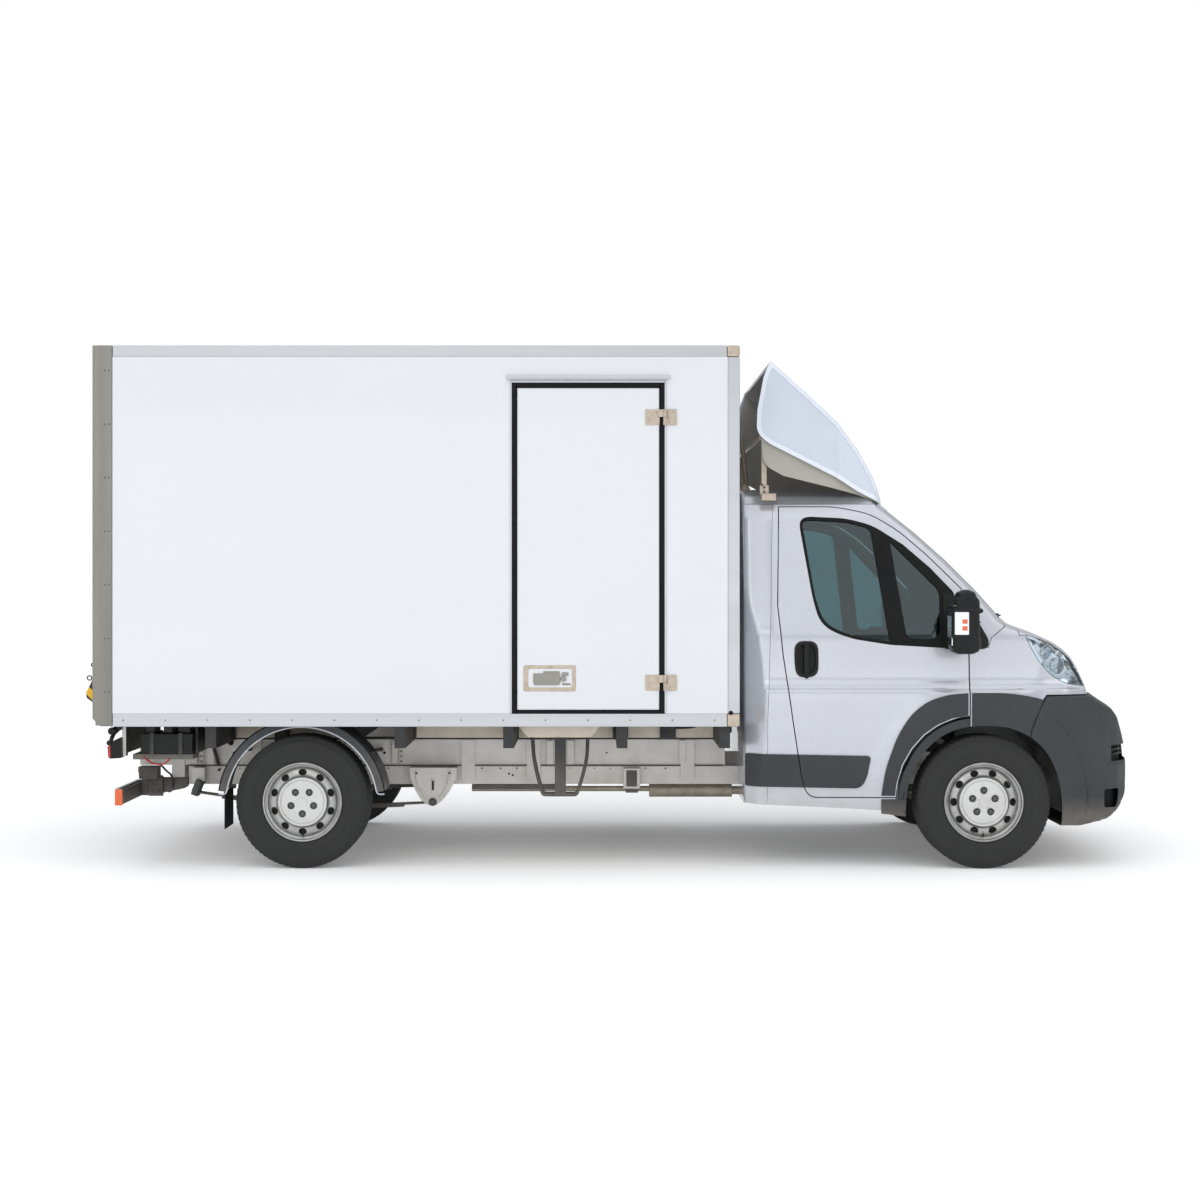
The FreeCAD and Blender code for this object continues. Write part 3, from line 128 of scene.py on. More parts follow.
@dataclass(frozen=True)
class Finish:
    """A surface as its maker left it, and as use has changed it.

    Attributes:
        name: common name of the material.
        base: its colour.
        worn: colour that dust, age or wear brings in patches.
        rough: middle of its roughness.
        spread: how far the roughness wanders from patch to patch.
        patch: size of the patches, in metres.
        grain: size of the fine relief, in metres.
        relief: height of the fine relief, in metres.
        stretch: how much finer the pattern is along x, y and z.
        share: how much of the worn colour shows, from 0 to 1.
        film: colour of the road dirt that thickens towards the ground.
        film_top: height at which the road dirt ends; 0 leaves it off.
        glow: light it gives off: an even lift of the floor, and a painted glow on lamp reflectors.
    """

    name: str
    base: str
    worn: str
    rough: float = 0.5
    spread: float = 0.1
    patch: float = 0.35
    grain: float = 0.002
    relief: float = 0.00005
    stretch: tuple[float, float, float] = (1, 1, 1)
    share: float = 0.5
    metallic: float = 0.0
    ior: float = 1.5
    coat: float = 0.0
    sheen: float = 0.0
    film: str = "#8F877A"
    film_top: float = 0.0
    glow: float = 0.0

    def colour(self, tree: bpy.types.NodeTree, place: bpy.types.NodeSocket) -> bpy.types.NodeSocket:
        """Build the colour: the base, and the worn colour where the slow noise is high.

        Args:
            tree: the material's node tree.
            place: Object coordinates, stretched.

        Returns:
            Colour socket.
        """
        slow = add(tree, "TexNoise", {"Vector": place, "Scale": 1 / self.patch, "Detail": 5.0,
                                      "Roughness": 0.6})
        mask = add(tree, "MapRange", {"Value": slow.outputs[0], 1: 0.42, 2: 0.72, 3: 0.0, 4: self.share})
        mixed = add(tree, "Mix", {0: mask.outputs[0], 6: linear(self.base), 7: linear(self.worn)},
                    data_type="RGBA")
        return mixed.outputs[2]

    def height(self, tree: bpy.types.NodeTree, place: bpy.types.NodeSocket) -> bpy.types.NodeSocket:
        """Return the fine relief, from 0 to 1."""
        return add(tree, "TexNoise", {"Vector": place, "Scale": 1 / self.grain, "Detail": 2.0}).outputs[0]

    def dirtied(self, tree: bpy.types.NodeTree, colour: bpy.types.NodeSocket) -> bpy.types.NodeSocket:
        """Lay road dirt over the colour, thicker towards the ground.

        Args:
            tree: the material's node tree.
            colour: the clean colour.

        Returns:
            Colour socket with the dirt on.
        """
        if not self.film_top:
            return colour
        where = add(tree, "TexCoord").outputs["Object"]
        height = add(tree, "SeparateXYZ", {0: where}).outputs[2]
        low = add(tree, "MapRange", {"Value": height, 1: 0.25, 2: self.film_top, 3: 0.75, 4: 0.0})
        blotch = add(tree, "TexNoise", {"Vector": where, "Scale": 9.0, "Detail": 6.0, "Roughness": 0.7})
        share = add(tree, "Math", {0: low.outputs[0], 1: blotch.outputs[0]}, operation="MULTIPLY")
        return add(tree, "Mix", {0: share.outputs[0], 6: colour, 7: linear(self.film)},
                   data_type="RGBA").outputs[2]

    def shade(self, tree: bpy.types.NodeTree) -> bpy.types.NodeSocket:
        """Build the shader.

        Args:
            tree: the material's node tree.

        Returns:
            Shader socket for the material's output.
        """
        where = add(tree, "TexCoord").outputs["Object"]
        place = add(tree, "Mapping", {"Vector": where, "Scale": self.stretch}).outputs[0]
        gloss = add(tree, "TexNoise", {"Vector": place, "Scale": 2.3 / self.patch, "Detail": 4.0})
        rough = add(tree, "MapRange", {"Value": gloss.outputs[0], 1: 0.3, 2: 0.7,
                                       3: self.rough - self.spread / 2, 4: self.rough + self.spread / 2})
        bump = add(tree, "Bump", {"Height": self.height(tree, place), "Strength": 1.0,
                                  "Distance": self.relief})
        colour = self.dirtied(tree, self.colour(tree, place))
        return add(tree, "BsdfPrincipled",
                   {"Base Color": colour, "Roughness": rough.outputs[0], "Normal": bump.outputs[0],
                    "Metallic": self.metallic, "IOR": self.ior, "Coat Weight": self.coat,
                    "Sheen Weight": self.sheen, "Emission Color": colour,
                    "Emission Strength": self.glow}).outputs[0]

    def material(self) -> bpy.types.Material:
        """Return the material, made on first use."""
        known = bpy.data.materials.get(self.name)
        if known:
            return known
        made = bpy.data.materials.new(self.name)
        made.use_nodes = True
        made.node_tree.nodes.clear()
        add(made.node_tree, "OutputMaterial", {"Surface": self.shade(made.node_tree)})
        made.diffuse_color = linear(self.base)
        return made


@dataclass(frozen=True)
class MetallicPaint(Finish):
    """Sprayed base coat with aluminium flakes under clear lacquer: a bright, slightly sparkling silver.

    Attributes:
        flake: distance between two flakes, in metres.
    """

    flake: float = 0.0035

    def colour(self, tree: bpy.types.NodeTree, place: bpy.types.NodeSocket) -> bpy.types.NodeSocket:
        """Sprinkle lighter and darker flakes, drawn coarse enough to show, over the slow colour.

        Args:
            tree: the material's node tree.
            place: Object coordinates.

        Returns:
            Colour socket.
        """
        slow = super().colour(tree, place)
        cells = add(tree, "TexVoronoi", {"Vector": place, "Scale": 1 / self.flake})
        grey = add(tree, "RGBToBW", {0: cells.outputs["Color"]}).outputs[0]
        level = add(tree, "MapRange", {"Value": grey, 3: 0.94, 4: 1.06}).outputs[0]
        return add(tree, "Mix", {0: 1.0, 6: slow, 7: add(tree, "CombineColor", {0: level, 1: level, 2: level})
                                 .outputs[0]}, data_type="RGBA", blend_type="MULTIPLY").outputs[2]


@dataclass(frozen=True)
class BrushedMetal(Finish):
    """Metal drawn or brushed along one axis, with fine streaks that way."""

    def height(self, tree: bpy.types.NodeTree, place: bpy.types.NodeSocket) -> bpy.types.NodeSocket:
        """Return streaks: noise that the stretch has drawn out along the brushing."""
        return add(tree, "TexNoise", {"Vector": place, "Scale": 1 / self.grain, "Detail": 4.0,
                                      "Roughness": 0.7}).outputs[0]


@dataclass(frozen=True)
class TintedPane(Finish):
    """Toughened glass with a green tint, seen through, with sharp reflections.

    Attributes:
        clear: how much of the light goes straight through.
    """

    clear: float = 0.75

    def shade(self, tree: bpy.types.NodeTree) -> bpy.types.NodeSocket:
        """Mix a tinted see-through shader with sharp reflections, by the angle of view.

        Args:
            tree: the material's node tree.

        Returns:
            Shader socket for the material's output.
        """
        where = add(tree, "TexCoord").outputs["Object"]
        tint = self.colour(tree, where)
        through = add(tree, "BsdfTransparent", {"Color": tint}).outputs[0]
        dust = add(tree, "TexNoise", {"Vector": where, "Scale": 1 / self.patch, "Detail": 6.0}).outputs[0]
        rough = add(tree, "MapRange", {"Value": dust, 3: self.rough, 4: self.rough + self.spread}).outputs[0]
        shine = add(tree, "BsdfGlossy", {"Roughness": rough, "Color": linear("#F2F6F7")}).outputs[0]
        edge = add(tree, "Fresnel", {"IOR": self.ior}).outputs[0]
        share = add(tree, "MapRange", {"Value": edge, 3: 1 - self.clear, 4: 1.0}).outputs[0]
        return add(tree, "MixShader", {0: share, 1: through, 2: shine}).outputs[0]


@dataclass(frozen=True)
class StripedVinyl(Finish):
    """Retroreflective sheeting with slanting bands, as on warning flags.

    Attributes:
        band: height of a pair of bands, in metres.
        shift: share of a pair by which the bands are shifted.
        other: colour of every second band.
    """

    band: float = 0.109
    shift: float = 0.29
    other: str = "#1B1B1B"

    def colour(self, tree: bpy.types.NodeTree, place: bpy.types.NodeSocket) -> bpy.types.NodeSocket:
        """Draw bands at 45 degrees across x and z.

        Args:
            tree: the material's node tree.
            place: Object coordinates.

        Returns:
            Colour socket.
        """
        axes = add(tree, "SeparateXYZ", {0: place}).outputs
        slant = add(tree, "Math", {0: axes[0], 1: axes[2]}, operation="ADD").outputs[0]
        turn = add(tree, "Math", {0: slant, 1: 1 / self.band, 2: self.shift},
                   operation="MULTIPLY_ADD").outputs[0]
        part = add(tree, "Math", {0: turn}, operation="FRACT").outputs[0]
        which = add(tree, "Math", {0: part, 1: 0.5}, operation="GREATER_THAN").outputs[0]
        return add(tree, "Mix", {0: which, 6: super().colour(tree, place), 7: linear(self.other)},
                   data_type="RGBA").outputs[2]


@dataclass(frozen=True)
class WovenCloth(Finish):
    """Flat woven seat cloth: crossing threads that catch the light in a fine check."""

    def height(self, tree: bpy.types.NodeTree, place: bpy.types.NodeSocket) -> bpy.types.NodeSocket:
        """Return the two thread directions, the higher of the two on top."""
        scale = 1 / self.grain
        warp = add(tree, "TexWave", {"Vector": place, "Scale": scale / 6.28}, bands_direction="Y").outputs[1]
        weft = add(tree, "TexWave", {"Vector": place, "Scale": scale / 6.28}, bands_direction="Z").outputs[1]
        return add(tree, "Math", {0: warp, 1: weft}, operation="MAXIMUM").outputs[0]


class Finishes:
    """The finishes of the vehicle, by the part of it that wears them."""

    # Two-pack silver lacquer: bright and slightly blue, softly mirror-like under its clear coat.
    SILVER = MetallicPaint("silver_lacquer", "#BFC2C9", "#B9BBC1", rough=0.30, spread=0.06, patch=0.8,
                           grain=0.006, relief=0.00002, metallic=0.55, coat=0.7, film_top=0.55, share=0.4)
    # Polypropylene moulding: dark grey, dull, with a fine leather-like grain.
    MOULDING = Finish("grained_polypropylene", "#2A2C30", "#333539", rough=0.55, spread=0.12, patch=0.3,
                      grain=0.0022, relief=0.00012, film_top=0.40, share=0.5)
    # The same plastic where it is deeper black and smoother, as on mirrors and handles.
    BLACK = Finish("black_abs", "#0B0C0D", "#131415", rough=0.42, spread=0.12, patch=0.2, grain=0.0018,
                   relief=0.00008, ior=1.36)
    # Rubber profile: very dark and dull.
    RUBBER = Finish("epdm_rubber", "#101112", "#1B1C1D", rough=0.75, spread=0.1, grain=0.0015, relief=0.00006,
                    ior=1.3)
    # Tyre compound: near black with a grey bloom, matt, dustier at the tread.
    TYRE = Finish("tyre_rubber", "#08090A", "#121212", rough=0.86, spread=0.14, patch=0.09, grain=0.0025,
                  relief=0.0002, share=0.7, ior=1.22)
    # Gelcoat on glass-fibre board: a clean bluish white with a soft gloss.
    GELCOAT = Finish("white_gelcoat", "#D4D7DB", "#D0D3D7", rough=0.30, spread=0.01, patch=2.6, grain=0.02,
                     relief=0.00005, coat=0.35, share=0.5)
    # Anodised extrusion: pale matt grey with faint die lines along it.
    ANODISED = BrushedMetal("anodised_aluminium", "#BFC2C6", "#AEB1B4", rough=0.38, spread=0.12, patch=0.25,
                            grain=0.002, relief=0.00004, stretch=(0.05, 1, 1), metallic=0.75)
    # Ground stainless sheet: darker and warmer, streaked up and down.
    STAINLESS = BrushedMetal("ground_stainless", "#8F8D87", "#6E6C67", rough=0.34, spread=0.14, patch=0.2,
                             grain=0.0015, relief=0.00005, stretch=(1, 1, 0.05), metallic=0.9)
    # Primed and painted frame steel: warm light grey, dusty.
    FRAME = Finish("painted_frame_steel", "#DAD8D3", "#C2BEB6", rough=0.5, spread=0.16, patch=0.12,
                   grain=0.004, relief=0.0001, film="#8F867A", film_top=0.62, share=0.6)
    # Bare forged and cast parts, brown-black with rust bloom.
    FORGED = Finish("forged_steel", "#3B3733", "#5A4A3C", rough=0.7, spread=0.2, patch=0.06, grain=0.004,
                    relief=0.0003, metallic=0.4, share=0.7)
    # Chassis black over steel brackets, also worn by a painted shadow strip along the beam's top.
    BLACKED = Finish("black_chassis_paint_and_painted_shadow", "#222324", "#3D3A37", rough=0.55, spread=0.15, patch=0.1,
                     grain=0.003, relief=0.0001, film_top=0.7)
    # Silver wheel enamel: bright grey with a little brake dust.
    WHEEL = Finish("wheel_enamel", "#B0B0AF", "#8C8985", rough=0.36, spread=0.14, patch=0.07, grain=0.003,
                   relief=0.00005, metallic=0.6, coat=0.2, share=0.6)
    # Silver plastic wheel cap: the same silver, smoother and paler than the rim.
    CAP = Finish("silver_cap_plastic", "#C9C9C8", "#B4B2AE", rough=0.34, spread=0.1, patch=0.12, grain=0.003,
                 relief=0.00003, metallic=0.35, coat=0.3, share=0.5)
    # Galvanised pressings: pale beige-grey with a cloudy spangle.
    GALVANISED = Finish("galvanised_steel", "#BBAF9F", "#9B8F7F", rough=0.4, spread=0.2, patch=0.03,
                        grain=0.004, relief=0.00006, metallic=0.55, share=0.7)
    CREAM = Finish("cream_paint", "#D9CFBF", "#BDB29F", rough=0.5, spread=0.1, patch=0.1, film_top=0.9)
    WINDOW = TintedPane("green_toughened_glass", "#A3C3C6", "#9BBBBE", rough=0.0, spread=0.03, patch=0.5,
                        ior=1.45, clear=0.97)
    LENS = TintedPane("clear_polycarbonate", "#EEF3F6", "#E4EAEE", rough=0.02, spread=0.03, patch=0.1,
                      ior=1.4, clear=0.93)
    RED = Finish("red_acrylic", "#A3130E", "#7E0D0A", rough=0.16, spread=0.05, coat=0.6, grain=0.004,
                 relief=0.0002)
    ORANGE = Finish("orange_acrylic", "#DE5F22", "#C04F1B", rough=0.22, spread=0.05, coat=0.5, grain=0.004,
                    relief=0.0002)
    # Painted studio floor.
    FLOOR = Finish("matt_studio_floor", "#FDFDFD", "#FBFBFB", rough=0.85, patch=4.0, grain=0.01,
                   relief=0.00001, glow=0.13)
    # White diffusing polycarbonate of small lamps.
    WHITE_LENS = Finish("white_polycarbonate", "#E9EBEA", "#D5D8D8", rough=0.15, spread=0.05, coat=0.5,
                        grain=0.003, relief=0.0002)
    # Fluted metallised plastic behind a clear cover: diffuse white with a painted glow for the light it
    # gathers.
    REFLECTOR = Finish("fluted_reflector_painted_glow", "#FDFDFE", "#F0F2F4", rough=0.22, spread=0.08, patch=0.03,
                       metallic=0.0, grain=0.012, relief=0.0015, stretch=(0.3, 1.5, 1.5), glow=0.25)
    CHROME = Finish("vapour_chromed_reflector", "#E8ECEF", "#C9CED2", rough=0.08, spread=0.06, patch=0.05,
                    metallic=1.0, grain=0.01, relief=0.0004)
    STRIPES = StripedVinyl("striped_reflective_vinyl", "#E0B000", "#C79A05", rough=0.4, grain=0.002)
    CLOTH = WovenCloth("woven_seat_cloth", "#565A5F", "#43474B", rough=0.9, grain=0.0025, relief=0.0004,
                       sheen=0.4)
    TRIM = Finish("soft_dash_vinyl", "#6A6E72", "#595D61", rough=0.6, grain=0.002, relief=0.00012)
    LINING = Finish("headliner_felt", "#A9A69E", "#979389", rough=0.95, grain=0.002, relief=0.0002)
    # Blue-grey polyethylene of the rear mudguards, scuffed and dusty.
    GUARD = Finish("mudguard_polyethylene", "#292D32", "#3B3F44", rough=0.5, spread=0.12, patch=0.05,
                   grain=0.003, relief=0.0001, share=0.5, film_top=0.7)
    # The mudguards' rolled edge, drawn as a pale line.
    LIP = Finish("pale_polyethylene_edge", "#B9BCC0", "#85898E", rough=0.55, patch=0.03, share=0.6)
    # Thin glass-fibre shell of the deflector, pale blue where light comes through it.
    SHELL = Finish("deflector_fibreglass", "#C3CAD6", "#B7BFCC", rough=0.32, spread=0.08, patch=0.5,
                   grain=0.02, relief=0.00005, coat=0.3, share=0.6)
    # The same shell along its doubled edge, drawn brighter: a painted highlight along the raised bead.
    BEAD = Finish("deflector_edge_painted_highlight", "#D9DFE9", "#CDD4DF", rough=0.28, spread=0.08, patch=0.5,
                  coat=0.4)
    # Plate with a thin dark olive primer.
    DARK_STEEL = Finish("dark_primed_steel", "#55544C", "#3F3E38", rough=0.5, spread=0.1, patch=0.06,
                        film_top=0.9)
    # Plywood floor with its brown phenolic face.
    PLYWOOD = Finish("phenolic_plywood", "#4B3A2E", "#5C4838", rough=0.6, spread=0.1, patch=0.2, grain=0.004,
                     relief=0.0002, stretch=(0.2, 1, 1))
    # Cast aluminium of the engine.
    CASTING = Finish("cast_aluminium", "#8B8C8C", "#6F6F6D", rough=0.55, spread=0.15, patch=0.05, grain=0.004,
                     relief=0.0003, metallic=0.7)
    # Aluminised exhaust steel, browned by heat.
    EXHAUST = Finish("aluminised_exhaust_steel", "#9A9184", "#6E6355", rough=0.45, spread=0.2, patch=0.08,
                     grain=0.003, relief=0.0001, metallic=0.5, film_top=0.7, share=0.7)
    CABLE = Finish("red_cable_sheath", "#B02A22", "#8A1F19", rough=0.45, grain=0.002)
    HOSE = Finish("black_hose", "#1C1D1E", "#2C2C2C", rough=0.6, grain=0.002)


# ------------------------------------------------------------------ meshes
class View(Enum):
    """The view an outline is drawn in, and the axis it is extruded along."""

    SIDE = "y"
    FRONT = "x"
    PLAN = "z"

    def at(self, row: Sequence[float], depth: float) -> Vector:
        """Return the point of a row at a depth along the view's axis."""
        if self is View.SIDE:
            return Vector((row[0], depth, row[1]))
        if self is View.FRONT:
            return Vector((depth, row[0], row[1]))
        return Vector((row[0], row[1], depth))


def outline(rows: Rows, view: View, depth: float = 0.0) -> Mesh:
    """Make one flat face with rounded corners.

    Args:
        rows: corners as two places and, where a corner is rounded, the length its rounding takes.
        view: the view the rows are drawn in.
        depth: place of the face along the view's axis.

    Returns:
        Mesh with the one face.
    """
    bm = bmesh.new()
    corners = [bm.verts.new(view.at(row, depth)) for row in rows]
    bm.faces.new(corners)
    for length in sorted({row[2] for row in rows if len(row) > 2}):
        chosen = [corner for corner, row in zip(corners, rows) if len(row) > 2 and row[2] == length]
        bmesh.ops.bevel(bm, geom=chosen, offset=length, segments=max(3, min(14, round(length / 0.012))),
                        profile=0.5, affect="VERTICES", material=-1, clamp_overlap=True)
    return bm


def prism(rows: Rows, view: View, low: float, high: float) -> Mesh:
    """Make a closed block of an outline's shape.

    Args:
        rows: corners, as for outline.
        view: the view the rows are drawn in.
        low: one end along the view's axis.
        high: the other end.

    Returns:
        Closed mesh.
    """
    bm = outline(rows, view, low)
    raised = bmesh.ops.extrude_face_region(bm, geom=bm.faces[:], use_keep_orig=True)["geom"]
    bmesh.ops.translate(bm, vec=view.at((0, 0), high - low),
                        verts=[v for v in raised if isinstance(v, bmesh.types.BMVert)])
    bmesh.ops.recalc_face_normals(bm, faces=bm.faces)
    return bm


def block(low: Sequence[float], high: Sequence[float], round_by: float = 0.0) -> Mesh:
    """Make a box between two corners, its edges rounded.

    Args:
        low: lowest corner.
        high: highest corner.
        round_by: width of the rounding.

    Returns:
        Closed mesh.
    """
    bm = bmesh.new()
    low, high = Vector(low), Vector(high)
    place = Matrix.Translation((low + high) / 2) @ Matrix.Diagonal((*(high - low), 1))
    bmesh.ops.create_cube(bm, size=1, matrix=place)
    return soften(bm, round_by)


def rod(start: Sequence[float], stop: Sequence[float], radius: float, sides: int = 20,
        round_by: float = 0.0, tip: float | None = None) -> Mesh:
    """Make a round bar between two points.

    Args:
        start: middle of one end.
        stop: middle of the other end.
        radius: radius at the start.
        sides: number of flats round it.
        round_by: width of the rounding of its rims.
        tip: radius at the stop, where it differs.

    Returns:
        Closed mesh.
    """
    bm = bmesh.new()
    start, stop = Vector(start), Vector(stop)
    way = stop - start
    turn = way.to_track_quat("Z", "Y").to_matrix().to_4x4()
    bmesh.ops.create_cone(bm, cap_ends=True, segments=sides, radius1=radius,
                          radius2=radius if tip is None else tip, depth=way.length,
                          matrix=Matrix.Translation((start + stop) / 2) @ turn)
    return soften(bm, round_by, math.radians(60))


def lathe(rows: Rows, centre: Sequence[float], steps: int = 48, closed: bool = True) -> Mesh:
    """Turn a profile about an axis along y.

    Args:
        rows: radius and place along y of each point.
        centre: point on the axis.
        steps: number of steps round it.
        closed: join the last point to the first.

    Returns:
        Mesh of the turned surface.
    """
    bm = bmesh.new()
    centre = Vector(centre)
    points = [bm.verts.new(centre + Vector((row[0], row[1], 0))) for row in rows]
    pairs = list(zip(points, points[1:])) + ([(points[-1], points[0])] if closed else [])
    edges = [bm.edges.new(ends) for ends in pairs]
    bmesh.ops.spin(bm, geom=points + edges, cent=centre, axis=(0, 1, 0), angle=math.tau, steps=steps,
                   use_merge=True)
    bmesh.ops.remove_doubles(bm, verts=bm.verts, dist=0.00002)
    bmesh.ops.recalc_face_normals(bm, faces=bm.faces)
    return bm


def soften(bm: Mesh, width: float, angle: float = math.radians(35), segments: int = 2) -> Mesh:
    """Round the edges that are sharper than an angle.

    Args:
        bm: mesh to change.
        width: width of the rounding; 0 leaves the edges as they are.
        angle: least turn of an edge that is rounded.
        segments: steps across the rounding.

    Returns:
        The same mesh.
    """
    if width > 0:
        sharp = [e for e in bm.edges if len(e.link_faces) == 2 and e.calc_face_angle(0) > angle]
        bmesh.ops.bevel(bm, geom=sharp, offset=width, segments=segments, profile=0.5, affect="EDGES",
                        material=-1, clamp_overlap=True)
    return bm


def run(points: Iterable[Sequence[float]], radius: float, order: int = 3, sides: int = 5) -> Mesh:
    """Make a smooth hose or pipe that follows points.

    Args:
        points: control points of its line.
        radius: radius of the pipe.
        order: order of the line; 2 gives straight lengths.
        sides: quarter turns' steps round it.

    Returns:
        Mesh of the pipe.
    """
    curve = bpy.data.curves.new("work", "CURVE")
    curve.dimensions = "3D"
    curve.bevel_depth, curve.bevel_resolution, curve.use_fill_caps = radius, sides - 2, True
    line = curve.splines.new("NURBS")
    points = list(points)
    line.points.add(len(points) - 1)
    for knot, point in zip(line.points, points):
        knot.co = (*point, 1)
    line.order_u, line.use_endpoint_u, line.resolution_u = order, True, 6
    thing = bpy.data.objects.new("work", curve)
    bpy.context.scene.collection.objects.link(thing)
    bm = bmesh.new()
    bm.from_mesh(bpy.data.meshes.new_from_object(
        thing.evaluated_get(bpy.context.evaluated_depsgraph_get())))
    bpy.data.objects.remove(thing)
    bpy.data.curves.remove(curve)
    return bm


def shaped(bm: Mesh, kind: str, **settings) -> Mesh:
    """Return the mesh as one modifier leaves it; the mesh given is used up.

    Args:
        bm: mesh to shape.
        kind: the modifier's type.
        **settings: the modifier's settings.

    Returns:
        New mesh.
    """
    thing = held(bm)
    modifier = thing.modifiers.new("work", kind)
    for name, value in settings.items():
        setattr(modifier, name, value)
    result = bmesh.new()
    result.from_mesh(thing.evaluated_get(bpy.context.evaluated_depsgraph_get()).data)
    drop(thing)
    return result


def held(bm: Mesh) -> bpy.types.Object:
    """Put a mesh in an object of its own for a modifier to work on."""
    mesh = bpy.data.meshes.new("work")
    bm.to_mesh(mesh)
    bm.free()
    thing = bpy.data.objects.new("work", mesh)
    bpy.context.scene.collection.objects.link(thing)
    return thing


def drop(thing: bpy.types.Object) -> None:
    """Remove a work object and its mesh."""
    mesh = thing.data
    bpy.data.objects.remove(thing)
    bpy.data.meshes.remove(mesh)


def carve(bm: Mesh, tool: Mesh, operation: str = "DIFFERENCE") -> Mesh:
    """Cut one closed mesh with another; both are used up.

    Args:
        bm: mesh to keep.
        tool: mesh to cut with; its faces carry material number 1 afterwards.
        operation: DIFFERENCE, INTERSECT or UNION.

    Returns:
        New mesh.
    """
    for face in tool.faces:
        face.material_index = 1
    cutter = held(tool)
    result = shaped(bm, "BOOLEAN", object=cutter, operation=operation, solver="MANIFOLD",
                    material_mode="INDEX")
    drop(cutter)
    return result


def joined(*meshes: Mesh) -> Mesh:
    """Gather meshes into the first one and free the others."""
    first = meshes[0]
    for bm in meshes[1:]:
        work = bpy.data.meshes.new("work")
        bm.to_mesh(work)
        bm.free()
        first.from_mesh(work)
        bpy.data.meshes.remove(work)
    return first


def copied(bm: Mesh, place: Matrix = Matrix.Identity(4)) -> Mesh:
    """Return a moved copy, its normals put right where the move mirrors it."""
    twin = bm.copy()
    twin.transform(place)
    if place.determinant() < 0:
        bmesh.ops.reverse_faces(twin, faces=twin.faces)
    return twin


def moved(bm: Mesh, place: Matrix) -> Mesh:
    """Move a mesh by a matrix and return it."""
    bm.transform(place)
    return bm


MIRROR = Matrix.Scale(-1, 4, (0, 1, 0))


def both(bm: Mesh) -> Mesh:
    """Add the mirror image across the middle plane."""
    return joined(bm, copied(bm, MIRROR))


class Piece:
    """One visible piece, gathered from shaped meshes, each in its own finish."""

    def __init__(self, name: str, body: str, slot: str, replaces: Sequence[str] = ()) -> None:
        """Start an empty piece.

        Args:
            name: name of the piece.
            body: body of the frame that it rides on.
            slot: material slot of the record; it is kept on the piece but not used.
            replaces: nodes of the frame that it stands for.
        """
        self.name, self.body, self.slot, self.replaces = name, body, slot, tuple(replaces)
        self.bm = bmesh.new()
        self.finishes: list[Finish] = []

    def put(self, bm: Mesh, finish: Finish, flat_above: float = 32.0) -> "Piece":
        """Add a mesh in one finish; the mesh is used up.

        Args:
            bm: mesh to add.
            finish: its finish.
            flat_above: edges that turn more than this many degrees stay sharp.

        Returns:
            The piece itself.
        """
        if finish not in self.finishes:
            self.finishes.append(finish)
        number = self.finishes.index(finish)
        for face in bm.faces:
            face.material_index, face.smooth = number, True
        for edge in bm.edges:
            edge.smooth = not (len(edge.link_faces) == 2
                               and edge.calc_face_angle(0) > math.radians(flat_above))
        self.bm = joined(self.bm, bm)
        return self

    def done(self) -> bpy.types.Object:
        """Make the object and hand it to the frame.

        Returns:
            The finished object.
        """
        mesh = bpy.data.meshes.new(self.name)
        bmesh.ops.dissolve_degenerate(self.bm, edges=self.bm.edges, dist=0.00001)
        self.bm.to_mesh(mesh)
        self.bm.free()
        for finish in self.finishes:
            mesh.materials.append(finish.material())
        thing = bpy.data.objects.new(self.name, mesh)
        bpy.context.scene.collection.objects.link(thing)
        even = thing.modifiers.new("even_shading", "WEIGHTED_NORMAL")
        even.keep_sharp, even.weight = True, 60
        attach(thing, self.body)
        if self.replaces:
            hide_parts(*self.replaces)
        log.info("%s rides on %s with %d faces", self.name, self.body, len(mesh.polygons))
        return thing


# ------------------------------------------------------------------ layout
@dataclass(frozen=True)
class Layout:
    """Main places of the vehicle, read from the frame.

    Attributes:
        front_axle: x of the front axle.
        rear_axle: x of the rear axle.
        tyre_radius: height of both axles.
    """

    front_axle: float
    rear_axle: float
    tyre_radius: float

    @classmethod
    def read(cls) -> "Layout":
        """Work the places out from the boxes of the wheels."""
        front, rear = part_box("wheel_front_right"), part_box("wheel_rear_right")
        return cls((front[0].x + front[1].x) / 2, (rear[0].x + rear[1].x) / 2,
                   (front[1].z - front[0].z) / 2)

    @property
    def cab(self) -> Matrix:
        """Move from cab places, measured from the front axle, to the frame."""
        return Matrix.Translation((self.front_axle, 0, 0))

    def cab_moved(self, bm: Mesh, turn: Matrix) -> Mesh:
        """Turn a mesh about its own place in the cab and put it in the frame."""
        return moved(bm, self.cab @ turn)


